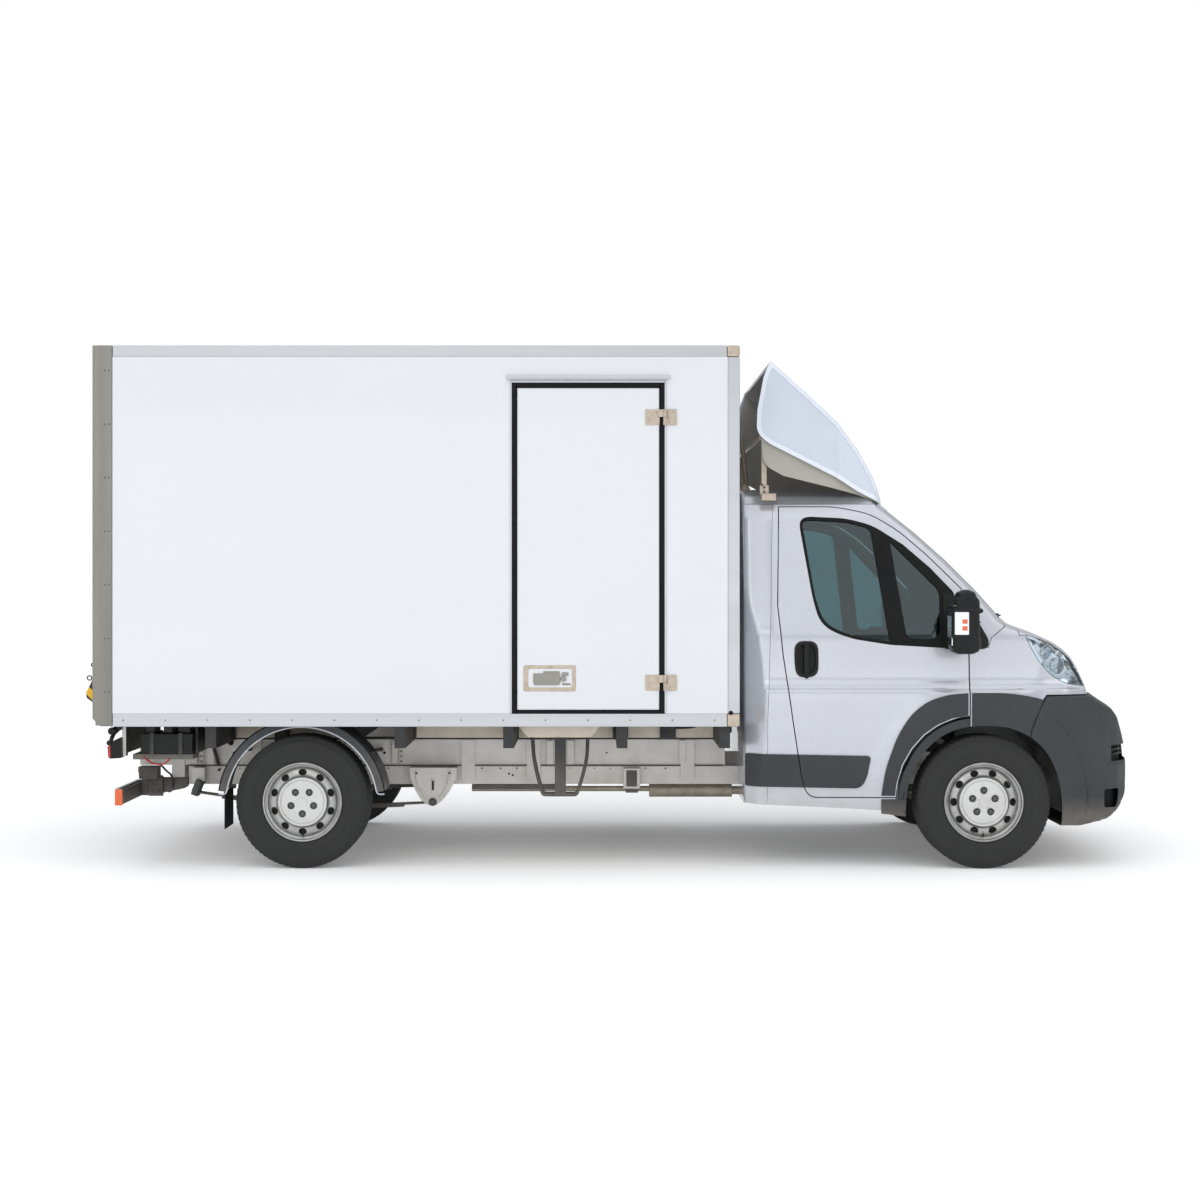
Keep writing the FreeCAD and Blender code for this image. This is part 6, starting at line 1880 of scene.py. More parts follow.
@dataclass
class Chassis:
    """What is fixed below the box: brackets, mudguards, step, lamps, power pack and rear bar.

    Attributes:
        layout: places of the axles.
        joints: the frame's joints, of which one gives the lift's pivot.
        beam: outer face of the frame rails' right side.
        guard: inner radius of the rear mudguards' lips.
        guard_span: outer and inner y of the right mudguard.
    """

    layout: Layout
    joints: Sequence[dict]
    beam: float = -0.492
    guard: float = 0.421
    guard_span: tuple[float, float] = (-1.020, -0.780)

    def fixed(self, name: str, slot: str, replaces: Sequence[str] = ()) -> Piece:
        """Start a piece that is fixed to the chassis."""
        return Piece(name, "chassis", slot, replaces)

    def at(self, x: float, y: float, z: float) -> Vector:
        """Return the place of a point measured from the front axle."""
        return Vector((self.layout.front_axle + x, y, z))

    def path(self, *points: Sequence[float]) -> list[Vector]:
        """Return the places of points measured from the front axle."""
        return [self.at(*point) for point in points]

    def rod(self, start: Sequence[float], stop: Sequence[float], *shape: float) -> Mesh:
        """Return a rod between two points measured from the front axle."""
        return rod(*self.path(start, stop), *shape)

    def side_rows(self, rows: Rows, *round_by: float) -> Rows:
        """Return side view rows measured from the front axle, with one rounding for all if it is given."""
        return [(self.layout.front_axle + row[0], *row[1:], *round_by) for row in rows]

    def slab(self, xs: Sequence[float], ys: Sequence[float], zs: Sequence[float],
             round_by: float = 0.002) -> Mesh:
        """Return a block between two places each way, x measured from the front axle."""
        return block(self.at(xs[0], ys[0], zs[0]), self.at(xs[1], ys[1], zs[1]), round_by)

    def brackets(self) -> None:
        """Make hangers, fish plates, bolts, grommets, the sheets between beam and floor, and a painted shadow
        strip.
        """
        beam, rail = self.beam, -0.480
        plates, dark, bolts, holes = [], [], [], []
        hanger = ((-3.249, 0.520, 0.01), (-2.967, 0.520, 0.01), (-2.985, 0.420, 0.06), (-3.062, 0.318, 0.05),
                  (-3.115, 0.292, 0.05), (-3.168, 0.318, 0.05), (-3.232, 0.420, 0.06))
        hanger = self.side_rows(hanger)
        plates.append(soften(prism(hanger, View.SIDE, -0.572, -0.560), 0.002))
        plates.append(self.slab((-3.245, -2.971), (-0.560, rail), (0.440, 0.519), 0.004))
        for sign in (-1, 1):
            rib = [self.at(-3.108 + sign * x, -0.572, z)
                   for x, z in ((0.096, 0.505), (0.096, 0.455), (0.075, 0.395), (0.040, 0.345))]
            plates.append(run(rib, 0.0095))
            holes.append(self.rod((-3.108 + sign * 0.096, -0.575, 0.490),
                                  (-3.108 + sign * 0.096, -0.5835, 0.490), 0.006, 16))
        plates.append(run(self.path((-3.108, -0.570, 0.452), (-3.108, -0.570, 0.385)), 0.013))
        holes.append(run(self.path((-3.108, -0.579, 0.446), (-3.108, -0.579, 0.392)), 0.0065))
        bolts.append(self.rod((-3.110, -0.560, 0.322), (-3.110, -0.590, 0.322), 0.0165, 6, 0.003))
        bolts.append(self.rod((-3.110, -0.560, 0.322), (-3.110, -0.578, 0.322), 0.024, 28, 0.002))
        for x in (-3.300, -4.470):
            plates.append(self.slab((x - 0.012, x + 0.012), (beam - 0.003, beam + 0.001), (0.536, 0.672)))
            plates.append(self.slab((x - 0.055, x - 0.022), (beam - 0.010, beam + 0.001), (0.540, 0.670),
                                    0.004))
            bolts += [self.rod((x, beam, z), (x, beam - 0.008, z), 0.006, 6, 0.001)
                      for z in (0.550, 0.580, 0.610, 0.640, 0.662)]
        for x in (-4.415, -2.430, -2.310, -1.655):
            plates.append(self.slab((x - 0.020, x + 0.020), (beam - 0.006, beam + 0.001), (0.532, 0.673),
                                    0.004))
        plates.append(self.slab((-4.643, -4.567), (rail - 0.012, rail), (0.455, 0.600), 0.006))
        plates.append(self.slab((-2.003, -1.904), (rail - 0.040, rail + 0.002), (0.392, 0.512), 0.006))
        dark.append(self.slab((-1.985, -1.922), (rail - 0.043, rail - 0.036), (0.405, 0.500), 0.004))
        dark.append(self.slab((-1.990, -1.915), (rail - 0.036, rail), (0.368, 0.394), 0.005))
        # Painted shadow: a black strip stands in for the shade in the gap between the beam's top and the
        # floor.
        dark.append(self.slab((-4.80, -1.42), (beam - 0.004, beam + 0.060), (0.6785, 0.690), 0.001))
        dark.append(self.slab((-4.55, -1.42), (rail - 0.010, rail + 0.010), (0.521, 0.529), 0.001))
        dark.append(self.slab((-2.89, -2.35), (rail + 0.001, rail + 0.030), (0.385, 0.414), 0.006))
        for x, z, radius in ((-4.299, 0.659, 0.016), (-4.370, 0.499, 0.008), (-2.672, 0.476, 0.006),
                             (-2.650, 0.468, 0.006), (-3.40, 0.60, 0.008), (-2.1, 0.60, 0.005)):
            face = beam if z > 0.53 else rail
            holes.append(self.rod((x, face + 0.001, z), (x, face - 0.0015, z), radius, 24, 0.0004))
        draw = random.Random(3)
        for number in range(26):
            x = -4.35 + number * 0.108 + draw.uniform(-0.02, 0.02)
            bolts.append(self.rod((x, rail, 0.508), (x, rail - 0.004, 0.508), draw.uniform(0.003, 0.006), 6,
                             0.0008))
        floor = [self.slab((x0, x1), (-0.560, -0.554), (0.694, 0.7995)) for x0, x1 in
                 ((-4.265, -3.600), (-3.215, -2.680), (-2.612, -2.050), (-1.985, -1.480))]
        struts = [self.slab((x - 0.045, x + 0.045), (-0.60, beam), (0.686, 0.7995), 0.006)
                  for x in (-4.30, -3.25, -2.02, -1.745)]
        struts += [self.slab((-1.470, -1.385), (-0.75, -0.46), (0.735, 0.7995), 0.01),
                   self.slab((-1.455, -1.425), (-0.60, -0.47), (0.655, 0.745), 0.01)]
        hose = run(self.path((-4.385, -0.515, 0.785), (-4.380, -0.525, 0.70), (-4.398, -0.52, 0.64),
                             (-4.375, -0.515, 0.575), (-4.370, -0.50, 0.53)), 0.010)
        brake = run(self.path((-1.45, -0.52, 0.79), (-1.62, -0.57, 0.735), (-1.90, -0.575, 0.790),
                              (-2.15, -0.575, 0.775), (-2.30, -0.56, 0.79)), 0.009)
        piece = self.fixed("frame_brackets", "chassis_steel")
        piece.put(both(joined(*plates)), Finishes.FRAME).put(both(joined(*bolts)), Finishes.FORGED)
        piece.put(both(joined(*dark)), Finishes.BLACKED).put(both(joined(*holes)), Finishes.RUBBER)
        piece.put(both(joined(*floor)), Finishes.CREAM).put(both(joined(*struts)), Finishes.BLACKED)
        piece.put(both(joined(hose, brake)), Finishes.HOSE).done()

    def springs(self) -> None:
        """Make the leaf springs with their eyes, clamps and shackles."""
        axle, height = self.layout.rear_axle, self.layout.tyre_radius
        span, side = (-0.548, -0.492), Vector((axle, 0, height))
        leaves = []
        for number, (front, back) in enumerate(((0.680, -0.690), (0.520, -0.540), (0.330, -0.350))):
            top, low = [], []
            for step in range(17):
                x = front + (back - front) * step / 16
                z = -0.021 - 0.0435 * x - 0.038 * (1 - (x / 0.69) ** 2) - 0.0115 * number
                top.append((side.x + x, side.z + z))
                low.append((side.x + x, side.z + z - 0.0105))
            leaves.append(soften(prism([*top, *reversed(low)], View.SIDE, *span), 0.002))
        eyes = [rod((side.x + x, -0.552, side.z + z), (side.x + x, -0.488, side.z + z), 0.022, 28, 0.003)
                for x, z in ((0.685, -0.045), (-0.693, 0.015))]
        pins = [rod((side.x + x, -0.563, side.z + z), (side.x + x, -0.484, side.z + z), 0.011, 6, 0.001)
                for x, z in ((0.685, -0.045), (-0.693, 0.015), (-0.668, 0.066))]
        clamp = block((side.x - 0.06, -0.555, side.z - 0.085), (side.x + 0.06, -0.487, side.z - 0.070), 0.003)
        bolts = [rod((side.x + x, y, side.z - 0.085), (side.x + x, y, side.z + 0.02), 0.007)
                 for x in (-0.050, 0.050) for y in (-0.551, -0.490)]
        shackles = [run([(side.x - 0.664, y, side.z + 0.072), (side.x - 0.680, y, side.z + 0.04),
                         (side.x - 0.698, y, side.z - 0.012)], 0.023, 2) for y in (-0.553, -0.508)]
        boss = block((side.x - 0.715, -0.545, side.z + 0.062), (side.x - 0.640, -0.482, side.z + 0.148),
                     0.008)
        piece = self.fixed("rear_springs", "forged_steel", ["leaf_springs"])
        piece.put(both(joined(*leaves, clamp)), Finishes.BLACKED)
        piece.put(both(joined(*eyes, *pins, *bolts, *shackles)), Finishes.FORGED)
        piece.put(both(boss), Finishes.FRAME).done()

    def mudguards(self) -> None:
        """Make the rear mudguards with their pale lips, stays and flaps."""
        axle = (self.layout.rear_axle, self.layout.tyre_radius)
        outer, inner = self.guard_span
        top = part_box("edge_rails")[0].z - 0.002
        deep = self.guard + 0.048
        flange = sector(axle, (self.guard, deep), (8, 172), (outer, outer + 0.006))
        vault = sector(axle, (deep - 0.007, deep - 0.001), (8, 172), (outer, inner), 64)
        back = sector(axle, (self.guard + 0.02, deep), (8, 172), (inner - 0.005, inner))
        shell = joined(flange, vault, back)
        parts = bmesh.ops.bisect_plane(shell, geom=shell.verts[:] + shell.edges[:] + shell.faces[:],
                                       plane_co=(0, 0, top), plane_no=(0, 0, 1), clear_outer=True)
        cut = [e for e in parts["geom_cut"] if isinstance(e, bmesh.types.BMEdge)]
        bmesh.ops.holes_fill(shell, edges=cut)
        points = []
        for step in range(33):
            angle = math.radians(172 - 164 * step / 32)
            points.append((axle[0] + self.guard * math.cos(angle), outer - 0.002,
                           axle[1] + self.guard * math.sin(angle)))
        ends = [[(end[0] + sign * x, end[1], end[2] - z) for x, z in ((0.044, 0.010), (0.016, 0.016))]
                for sign, end in ((-1, points[0]), (1, points[-1]))]
        lip = run([*ends[0], *points, *reversed(ends[1])], 0.0042)
        stays = []
        for angle in (35, 145):
            way = math.radians(angle)
            x, z = axle[0] + deep * math.cos(way), min(axle[1] + deep * math.sin(way), top - 0.03)
            stays.append(run([(x, outer + 0.05, z), (x, inner, z), (x, -0.49, z - 0.02)], 0.011, 2))
        flap_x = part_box("mudguards")[0].x
        flap = block((flap_x, outer + 0.005, 0.223), (flap_x + 0.006, inner - 0.005, 0.436), 0.002)
        weld = rod((flap_x - 0.003, outer + 0.02, 0.425), (flap_x - 0.003, inner - 0.02, 0.425), 0.004, 8)
        piece = self.fixed("rear_mudguards", "black_plastic", ["mudguards"])
        piece.put(both(shell), Finishes.GUARD).put(both(lip), Finishes.LIP)
        piece.put(both(joined(*stays)), Finishes.BLACKED).put(both(joined(flap, weld)),
                                                              Finishes.RUBBER).done()

    def step(self) -> None:
        """Make the fold-down step: a bent stirrup, its strap, the shelf above and the braces."""
        y, radius = -0.952, 0.0105
        side = [self.at(x, y, z) for x, z in ((-2.517, 0.735), (-2.514, 0.660), (-2.508, 0.600),
                                              (-2.486, 0.500), (-2.466, 0.432), (-2.458, 0.409),
                                              (-2.436, 0.408))]
        other = [self.at(x, y, z) for x, z in ((-2.208, 0.735), (-2.210, 0.660), (-2.215, 0.600),
                                               (-2.240, 0.500), (-2.262, 0.432), (-2.272, 0.409),
                                               (-2.294, 0.408))]
        stirrup = run([*side, *reversed(other)], radius)
        inner = run([point + Vector((0, 0.078, 0)) for point in (*side, *reversed(other))], radius * 0.8)
        strap = self.slab((-2.392, -2.330), (y - 0.012, y - 0.006), (0.404, 0.790), 0.0015)
        tread = self.slab((-2.448, -2.282), (y, y + 0.078), (0.402, 0.412), 0.003)
        braces = [run(self.path((x, y, 0.735), (x, y + 0.02, 0.768), (x, -0.58, 0.772)), 0.010, 2)
                  for x in (-2.50, -2.362, -2.225)]
        shelf = self.side_rows(((-2.600, 0.798), (-2.545, 0.731), (-2.190, 0.731), (-2.132, 0.798)))
        shelf = soften(prism(shelf, View.SIDE, -0.975, -0.62), 0.003)
        piece = self.fixed("side_step_stirrup", "chassis_steel", ["side_step"])
        piece.put(joined(stirrup, inner, strap, tread, *braces), Finishes.BLACKED)
        piece.put(shelf, Finishes.CREAM).done()

    def lamps(self) -> None:
        """Make the tail lamps with their carriers, and the marker lamps on rubber arms."""
        body = self.side_rows(((-4.866, 0.706), (-4.800, 0.738), (-4.797, 0.622), (-4.862, 0.618)), 0.006)
        housing = soften(prism(body, View.SIDE, -1.045, -0.895), 0.004)
        lens = self.side_rows(((-4.8745, 0.682), (-4.866, 0.694), (-4.858, 0.694), (-4.856, 0.620),
                               (-4.868, 0.622)), 0.008)
        lens = soften(prism(lens, View.SIDE, -1.047, -0.893), 0.004)
        fields = [self.slab((-4.8755, -4.868), (y, y + 0.046), (0.632, 0.684), 0.004)
                  for y in (-1.035, -0.951)]
        carrier = self.slab((-4.800, -4.792), (-1.000, -0.420), (0.640, 0.7995), 0.002)
        lip = self.slab((-4.803, -4.782), (-1.006, -0.996), (0.628, 0.7995), 0.003)
        arm = run(self.path((-4.835, -0.99, 0.780), (-4.852, -1.035, 0.745), (-4.858, -1.040, 0.705)),
                  0.011)
        knob = self.rod((-4.848, -1.062, 0.772), (-4.848, -1.030, 0.772), 0.021, 28, 0.005)
        strut = run(self.path((-4.862, -1.03, 0.735), (-4.835, -1.0, 0.757), (-4.805, -1.0, 0.792)), 0.006)
        tip = self.rod((-4.865, -1.052, 0.706), (-4.865, -1.022, 0.706), 0.014, 24, 0.004)
        hook = self.slab((-4.845, -4.80), (-1.03, -0.95), (0.775, 0.7995), 0.006)
        piece = self.fixed("tail_lamp_units", "lamp_lens", ["tail_lamps"])
        piece.put(both(joined(housing, arm, knob, strut, tip, hook)), Finishes.BLACK)
        piece.put(both(lens), Finishes.RED).put(both(joined(*fields)), Finishes.ORANGE)
        piece.put(both(carrier), Finishes.BLACKED).put(both(lip), Finishes.FRAME).done()

    def power_pack(self) -> None:
        """Make the lift's power pack: a lidded box on a tray, with its clipped leads."""
        box = self.slab((-4.705, -4.415), (-0.985, -0.785), (0.640, 0.750), 0.008)
        lid = self.slab((-4.709, -4.411), (-0.989, -0.781), (0.722, 0.752), 0.006)
        straps = [self.slab((x - 0.012, x + 0.012), (-0.994, -0.776), (0.638, 0.757), 0.002)
                  for x in (-4.64, -4.48)]
        hangers = [self.slab((x - 0.025, x + 0.025), (-0.95, -0.80), (0.752, 0.7995), 0.004)
                   for x in (-4.66, -4.56, -4.46)]
        tray = self.slab((-4.755, -4.418), (-0.960, -0.800), (0.606, 0.637), 0.003)
        side = self.slab((-4.412, -4.395), (-0.93, -0.52), (0.640, 0.7995), 0.004)
        red = [run([self.at(x, -0.965 + shift, z)
                    for x, z in ((-4.695, 0.622), (-4.672, 0.598), (-4.640, 0.582), (-4.590, 0.576),
                                 (-4.565, 0.590), (-4.545, 0.612))], 0.0035) for shift in (0, 0.02)]
        grey = run(self.path((-4.600, -0.955, 0.578), (-4.600, -0.80, 0.52), (-4.62, -0.62, 0.49),
                             (-4.628, -0.52, 0.44), (-4.640, -0.49, 0.385), (-4.665, -0.47, 0.365),
                             (-4.700, -0.45, 0.385)), 0.006)
        piece = self.fixed("lift_power_pack", "black_plastic", ["power_pack"])
        piece.put(joined(box, lid), Finishes.BLACK).put(joined(*straps, *hangers, side), Finishes.BLACKED)
        piece.put(tray, Finishes.DARK_STEEL).put(joined(*red), Finishes.CABLE)
        piece.put(grey, Finishes.HOSE).done()

    def rear_bar(self) -> None:
        """Make the rear underrun bar: two box sections with bright tops and orange ends, and arms."""
        section = self.slab((-4.858, -4.818), (-0.938, -0.430), (0.350, 0.432), 0.005)
        top = self.slab((-4.860, -4.840), (-0.938, -0.440), (0.4325, 0.440), 0.002)
        caps = [self.slab((-4.8595, -4.816), (-0.9498, -0.936), (0.346, 0.438), 0.005)]
        arm_rows = self.side_rows(((-4.845, 0.440), (-4.845, 0.352), (-4.760, 0.352), (-4.560, 0.395),
                                   (-4.545, 0.452), (-4.700, 0.452)), 0.01)
        arm = soften(prism(arm_rows, View.SIDE, -0.500, -0.425), 0.004)
        plate = self.slab((-4.775, -4.690), (-0.520, -0.498), (0.350, 0.470), 0.005)
        bolts = [self.rod((x, -0.518, z), (x, -0.532, z), 0.011, 6, 0.002)
                 for x, z in ((-4.750, 0.375), (-4.715, 0.375), (-4.732, 0.445))]
        stub = self.slab((-4.812, -4.700), (-0.600, -0.520), (0.458, 0.530), 0.006)
        red = self.slab((-4.8155, -4.811), (-0.598, -0.522), (0.495, 0.528), 0.002)
        piece = self.fixed("rear_underrun", "chassis_steel", ["underrun_bar"])
        piece.put(both(joined(section, arm, plate, stub)), Finishes.BLACKED).put(both(top), Finishes.ANODISED)
        piece.put(both(joined(*caps)), Finishes.ORANGE).put(both(joined(*bolts)), Finishes.FORGED)
        piece.put(both(red), Finishes.RED)
        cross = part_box("underrun_bar")
        foot = next(joint for joint in self.joints if joint["name"] == "lift_lower")["pos_m"]
        mount = rod((foot[0], -0.42, foot[2]), (foot[0], 0.42, foot[2]), 0.0119, 32)
        cheeks = [block((foot[0] - 0.04, y0, foot[2] - 0.030), (foot[0] + 0.04, y1, cross[1].z), 0.003)
                  for y0, y1 in ((-0.42, -0.39), (0.39, 0.42))]
        piece.put(joined(mount, *cheeks), Finishes.BLACKED).done()

    def build(self) -> None:
        """Make everything that is fixed below the box."""
        self.brackets()
        self.springs()
        self.mudguards()
        self.step()
        self.lamps()
        self.power_pack()
        self.rear_bar()


@dataclass
class TailLift:
    """What shows on the upright platform of the tail lift: ribs, edge rails, flags and a ring."""

    def build(self) -> None:
        """Make the ribs and edges of the deck, and the striped flags with their rings."""
        low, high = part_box("lift_platform")
        back, half = high.x - 0.040, high.y
        foot = low.z + 0.096
        flag_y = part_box("warning_flags")[0].y + 0.004
        ribs = []
        count = 13
        pitch = (high.z - foot) / count
        for number in range(count):
            z0 = foot + number * pitch
            ribs.append(block((back - 0.004, -half + 0.042, z0 + 0.003),
                              (back + 0.001, half - 0.042, z0 + pitch - 0.003), 0.002))
            ribs.append(block((back - 0.010, -half + 0.042, z0 + pitch / 2 - 0.006),
                              (back - 0.003, half - 0.042, z0 + pitch / 2 + 0.006), 0.002))
        edges = [block((back - 0.012, y0, foot), (back + 0.001, y1, high.z), 0.003)
                 for y0, y1 in ((-half, -half + 0.040), (half - 0.040, half))]
        edges.append(block((back - 0.012, -half + 0.041, high.z - 0.045),
                           (back + 0.001, half - 0.041, high.z), 0.003))
        grips = [run([(back - 0.003, y, 1.60), (back - 0.045, y, 1.61), (back - 0.045, y, 1.73),
                      (back - 0.003, y, 1.74)], 0.008) for y in (-0.55, 0.55)]
        Piece("platform_ribs", "lift_platform", "rail_aluminium").put(
            joined(*ribs), Finishes.ANODISED).put(joined(*edges), Finishes.STAINLESS).put(
            joined(*grips), Finishes.BLACKED).done()
        rows = ((back - 0.001, 1.082), (back - 0.014, 1.088, 0.006), (back - 0.030, 1.040),
                (back - 0.059, 0.985, 0.006), (back - 0.056, 0.956, 0.006), (back - 0.001, 0.915))
        flag = prism(rows, View.SIDE, flag_y - 0.0025, flag_y + 0.0025)
        ring = bmesh.new()
        for centre, size, thick in (((back - 0.040, 1.066), 0.0125, 0.0035),
                                    ((back - 0.020, 1.139), 0.0095, 0.0035)):
            loop = [(centre[0] + size * math.cos(a), flag_y, centre[1] + size * math.sin(a))
                    for a in (step * math.tau / 16 for step in range(18))]
            ring = joined(ring, run(loop, thick))
        eye = rod((back - 0.002, flag_y, 1.139), (back - 0.014, flag_y, 1.139), 0.006, 16, 0.001)
        Piece("striped_flags", "lift_platform", "stripe_vinyl", ["warning_flags"]).put(
            both(flag), Finishes.STRIPES).put(both(joined(ring, eye)), Finishes.FORGED).done()


# ------------------------------------------------------------------ air deflector
@dataclass
class DeflectorForm(CabForm):
    """Outer form of the roof deflector, extruded across the cab and trimmed by its plan."""

    profile: Rows = ((-1.50, 1.93), (-1.50, 3.02), (-1.37, 3.02), (-1.178, 2.849), (-1.082, 2.764),
                     (-0.935, 2.634), (-0.788, 2.498), (-0.664, 2.340), (-0.584, 2.204), (-0.531, 2.080),
                     (-0.512, 1.93))
    plan: Rows = ((-1.60, 0.0), (-1.60, 0.880), (-1.40, 0.880), (-1.10, 0.870), (-0.80, 0.835),
                  (-0.56, 0.740), (-0.48, 0.600), (-0.48, 0.0))
    cell: float = 0.014
    rounding: int = 8

    def build(self) -> None:
        """Extrude the profile, trim it by the plan and smooth it."""
        form = prism(self.profile, View.SIDE, -0.875, 0.875)
        form = carve(form, prism(self.mirrored(self.plan, 1), View.PLAN, 1.0, 3.2), "INTERSECT")
        form = shaped(form, "REMESH", mode="VOXEL", voxel_size=self.cell)
        self.hull = shaped(form, "SMOOTH", factor=0.5, iterations=self.rounding)
        for face in self.hull.faces:
            face.material_index = 0
        self.hull.normal_update()


@dataclass
class Deflector:
    """Roof deflector: a translucent shell with a beaded edge, its inner skin and its struts.

    Attributes:
        layout: places of the axles.
        form: its outer form.
        edge: side view of the outer skin.
        inner: side view of the inner skin, which reaches lower.
        bead: width of the raised edge.
    """

    layout: Layout
    form: DeflectorForm = field(default_factory=DeflectorForm)
    edge: Rows = ((-0.528, 2.052), (-0.669, 2.119), (-0.794, 2.193), (-1.205, 2.396, 0.05),
                  (-1.251, 2.453, 0.03), (-1.246, 2.572), (-1.212, 2.753), (-1.176, 2.845, 0.01),
                  (-1.080, 2.762), (-0.933, 2.632), (-0.786, 2.496), (-0.662, 2.338), (-0.582, 2.202),
                  (-0.529, 2.078))
    inner: Rows = ((-0.53, 2.045), (-0.66, 2.095), (-1.10, 2.200), (-1.215, 2.262, 0.05), (-1.236, 2.50),
                   (-1.205, 2.74), (-1.176, 2.835), (-1.10, 3.10), (-0.30, 3.10), (-0.30, 2.045))
    bead: float = 0.020

    def build(self) -> None:
        """Make the shell, the bead, the inner skin and the struts."""
        self.form.build()
        skin_rows = (*self.edge[:8], (-1.10, 3.10), (-0.30, 3.10), (-0.30, 2.052))
        shell = self.form.skin(prism(skin_rows, View.SIDE, -FAR, FAR), (), 0.006, rim=0.002)
        middle = prism(widened(self.form.mirrored(self.form.plan, 1), -0.030), View.PLAN, 1.0, 3.2)
        bead = self.form.skin(prism(widened(self.edge, 0.004), View.SIDE, -FAR, FAR),
                              [prism(widened(self.edge, -self.bead), View.SIDE, -FAR, FAR), middle], 0.009,
                              lift=0.004, rim=0.003)
        lining = self.form.skin(prism(self.inner, View.SIDE, -FAR, FAR), (), 0.004, lift=-0.020, rim=0.001)
        place = self.layout.cab
        legs = [block((-1.222, -0.812, 2.120), (-1.192, -0.806, 2.430), 0.002),
                block((-1.232, -0.815, 2.095), (-1.180, -0.795, 2.150), 0.004),
                block((-1.225, -0.84, 2.060), (-1.14, -0.790, 2.102), 0.006)]
        screws = [rod((x, -0.815, z), (x, -0.824, z), 0.007, 6, 0.001)
                  for x, z in ((-1.207, 2.137), (-1.218, 2.150), (-1.207, 2.112))]
        stay = rod((-1.272, 0.0, 2.480), (-1.240, 0.0, 2.165), 0.0125, 20, 0.002)
        stay = joined(stay, rod((-1.246, -0.03, 2.165), (-1.246, 0.03, 2.165), 0.024, 28, 0.003),
                      block((-1.275, -0.10, 2.135), (-1.17, 0.10, 2.158), 0.004))
        cross = rod((-1.225, -0.80, 2.42), (-1.225, 0.80, 2.42), 0.012, 20)
        Piece("deflector_shell", "chassis", "box_skin", ["air_deflector"]).put(
            moved(shell, place), Finishes.SHELL).put(moved(bead, place), Finishes.BEAD).put(
            moved(lining, place), Finishes.LINING).put(both(moved(joined(*legs), place)),
                                                       Finishes.GALVANISED).put(
            moved(joined(stay, cross), place), Finishes.GALVANISED).put(
            both(moved(joined(*screws), place)), Finishes.FORGED).done()


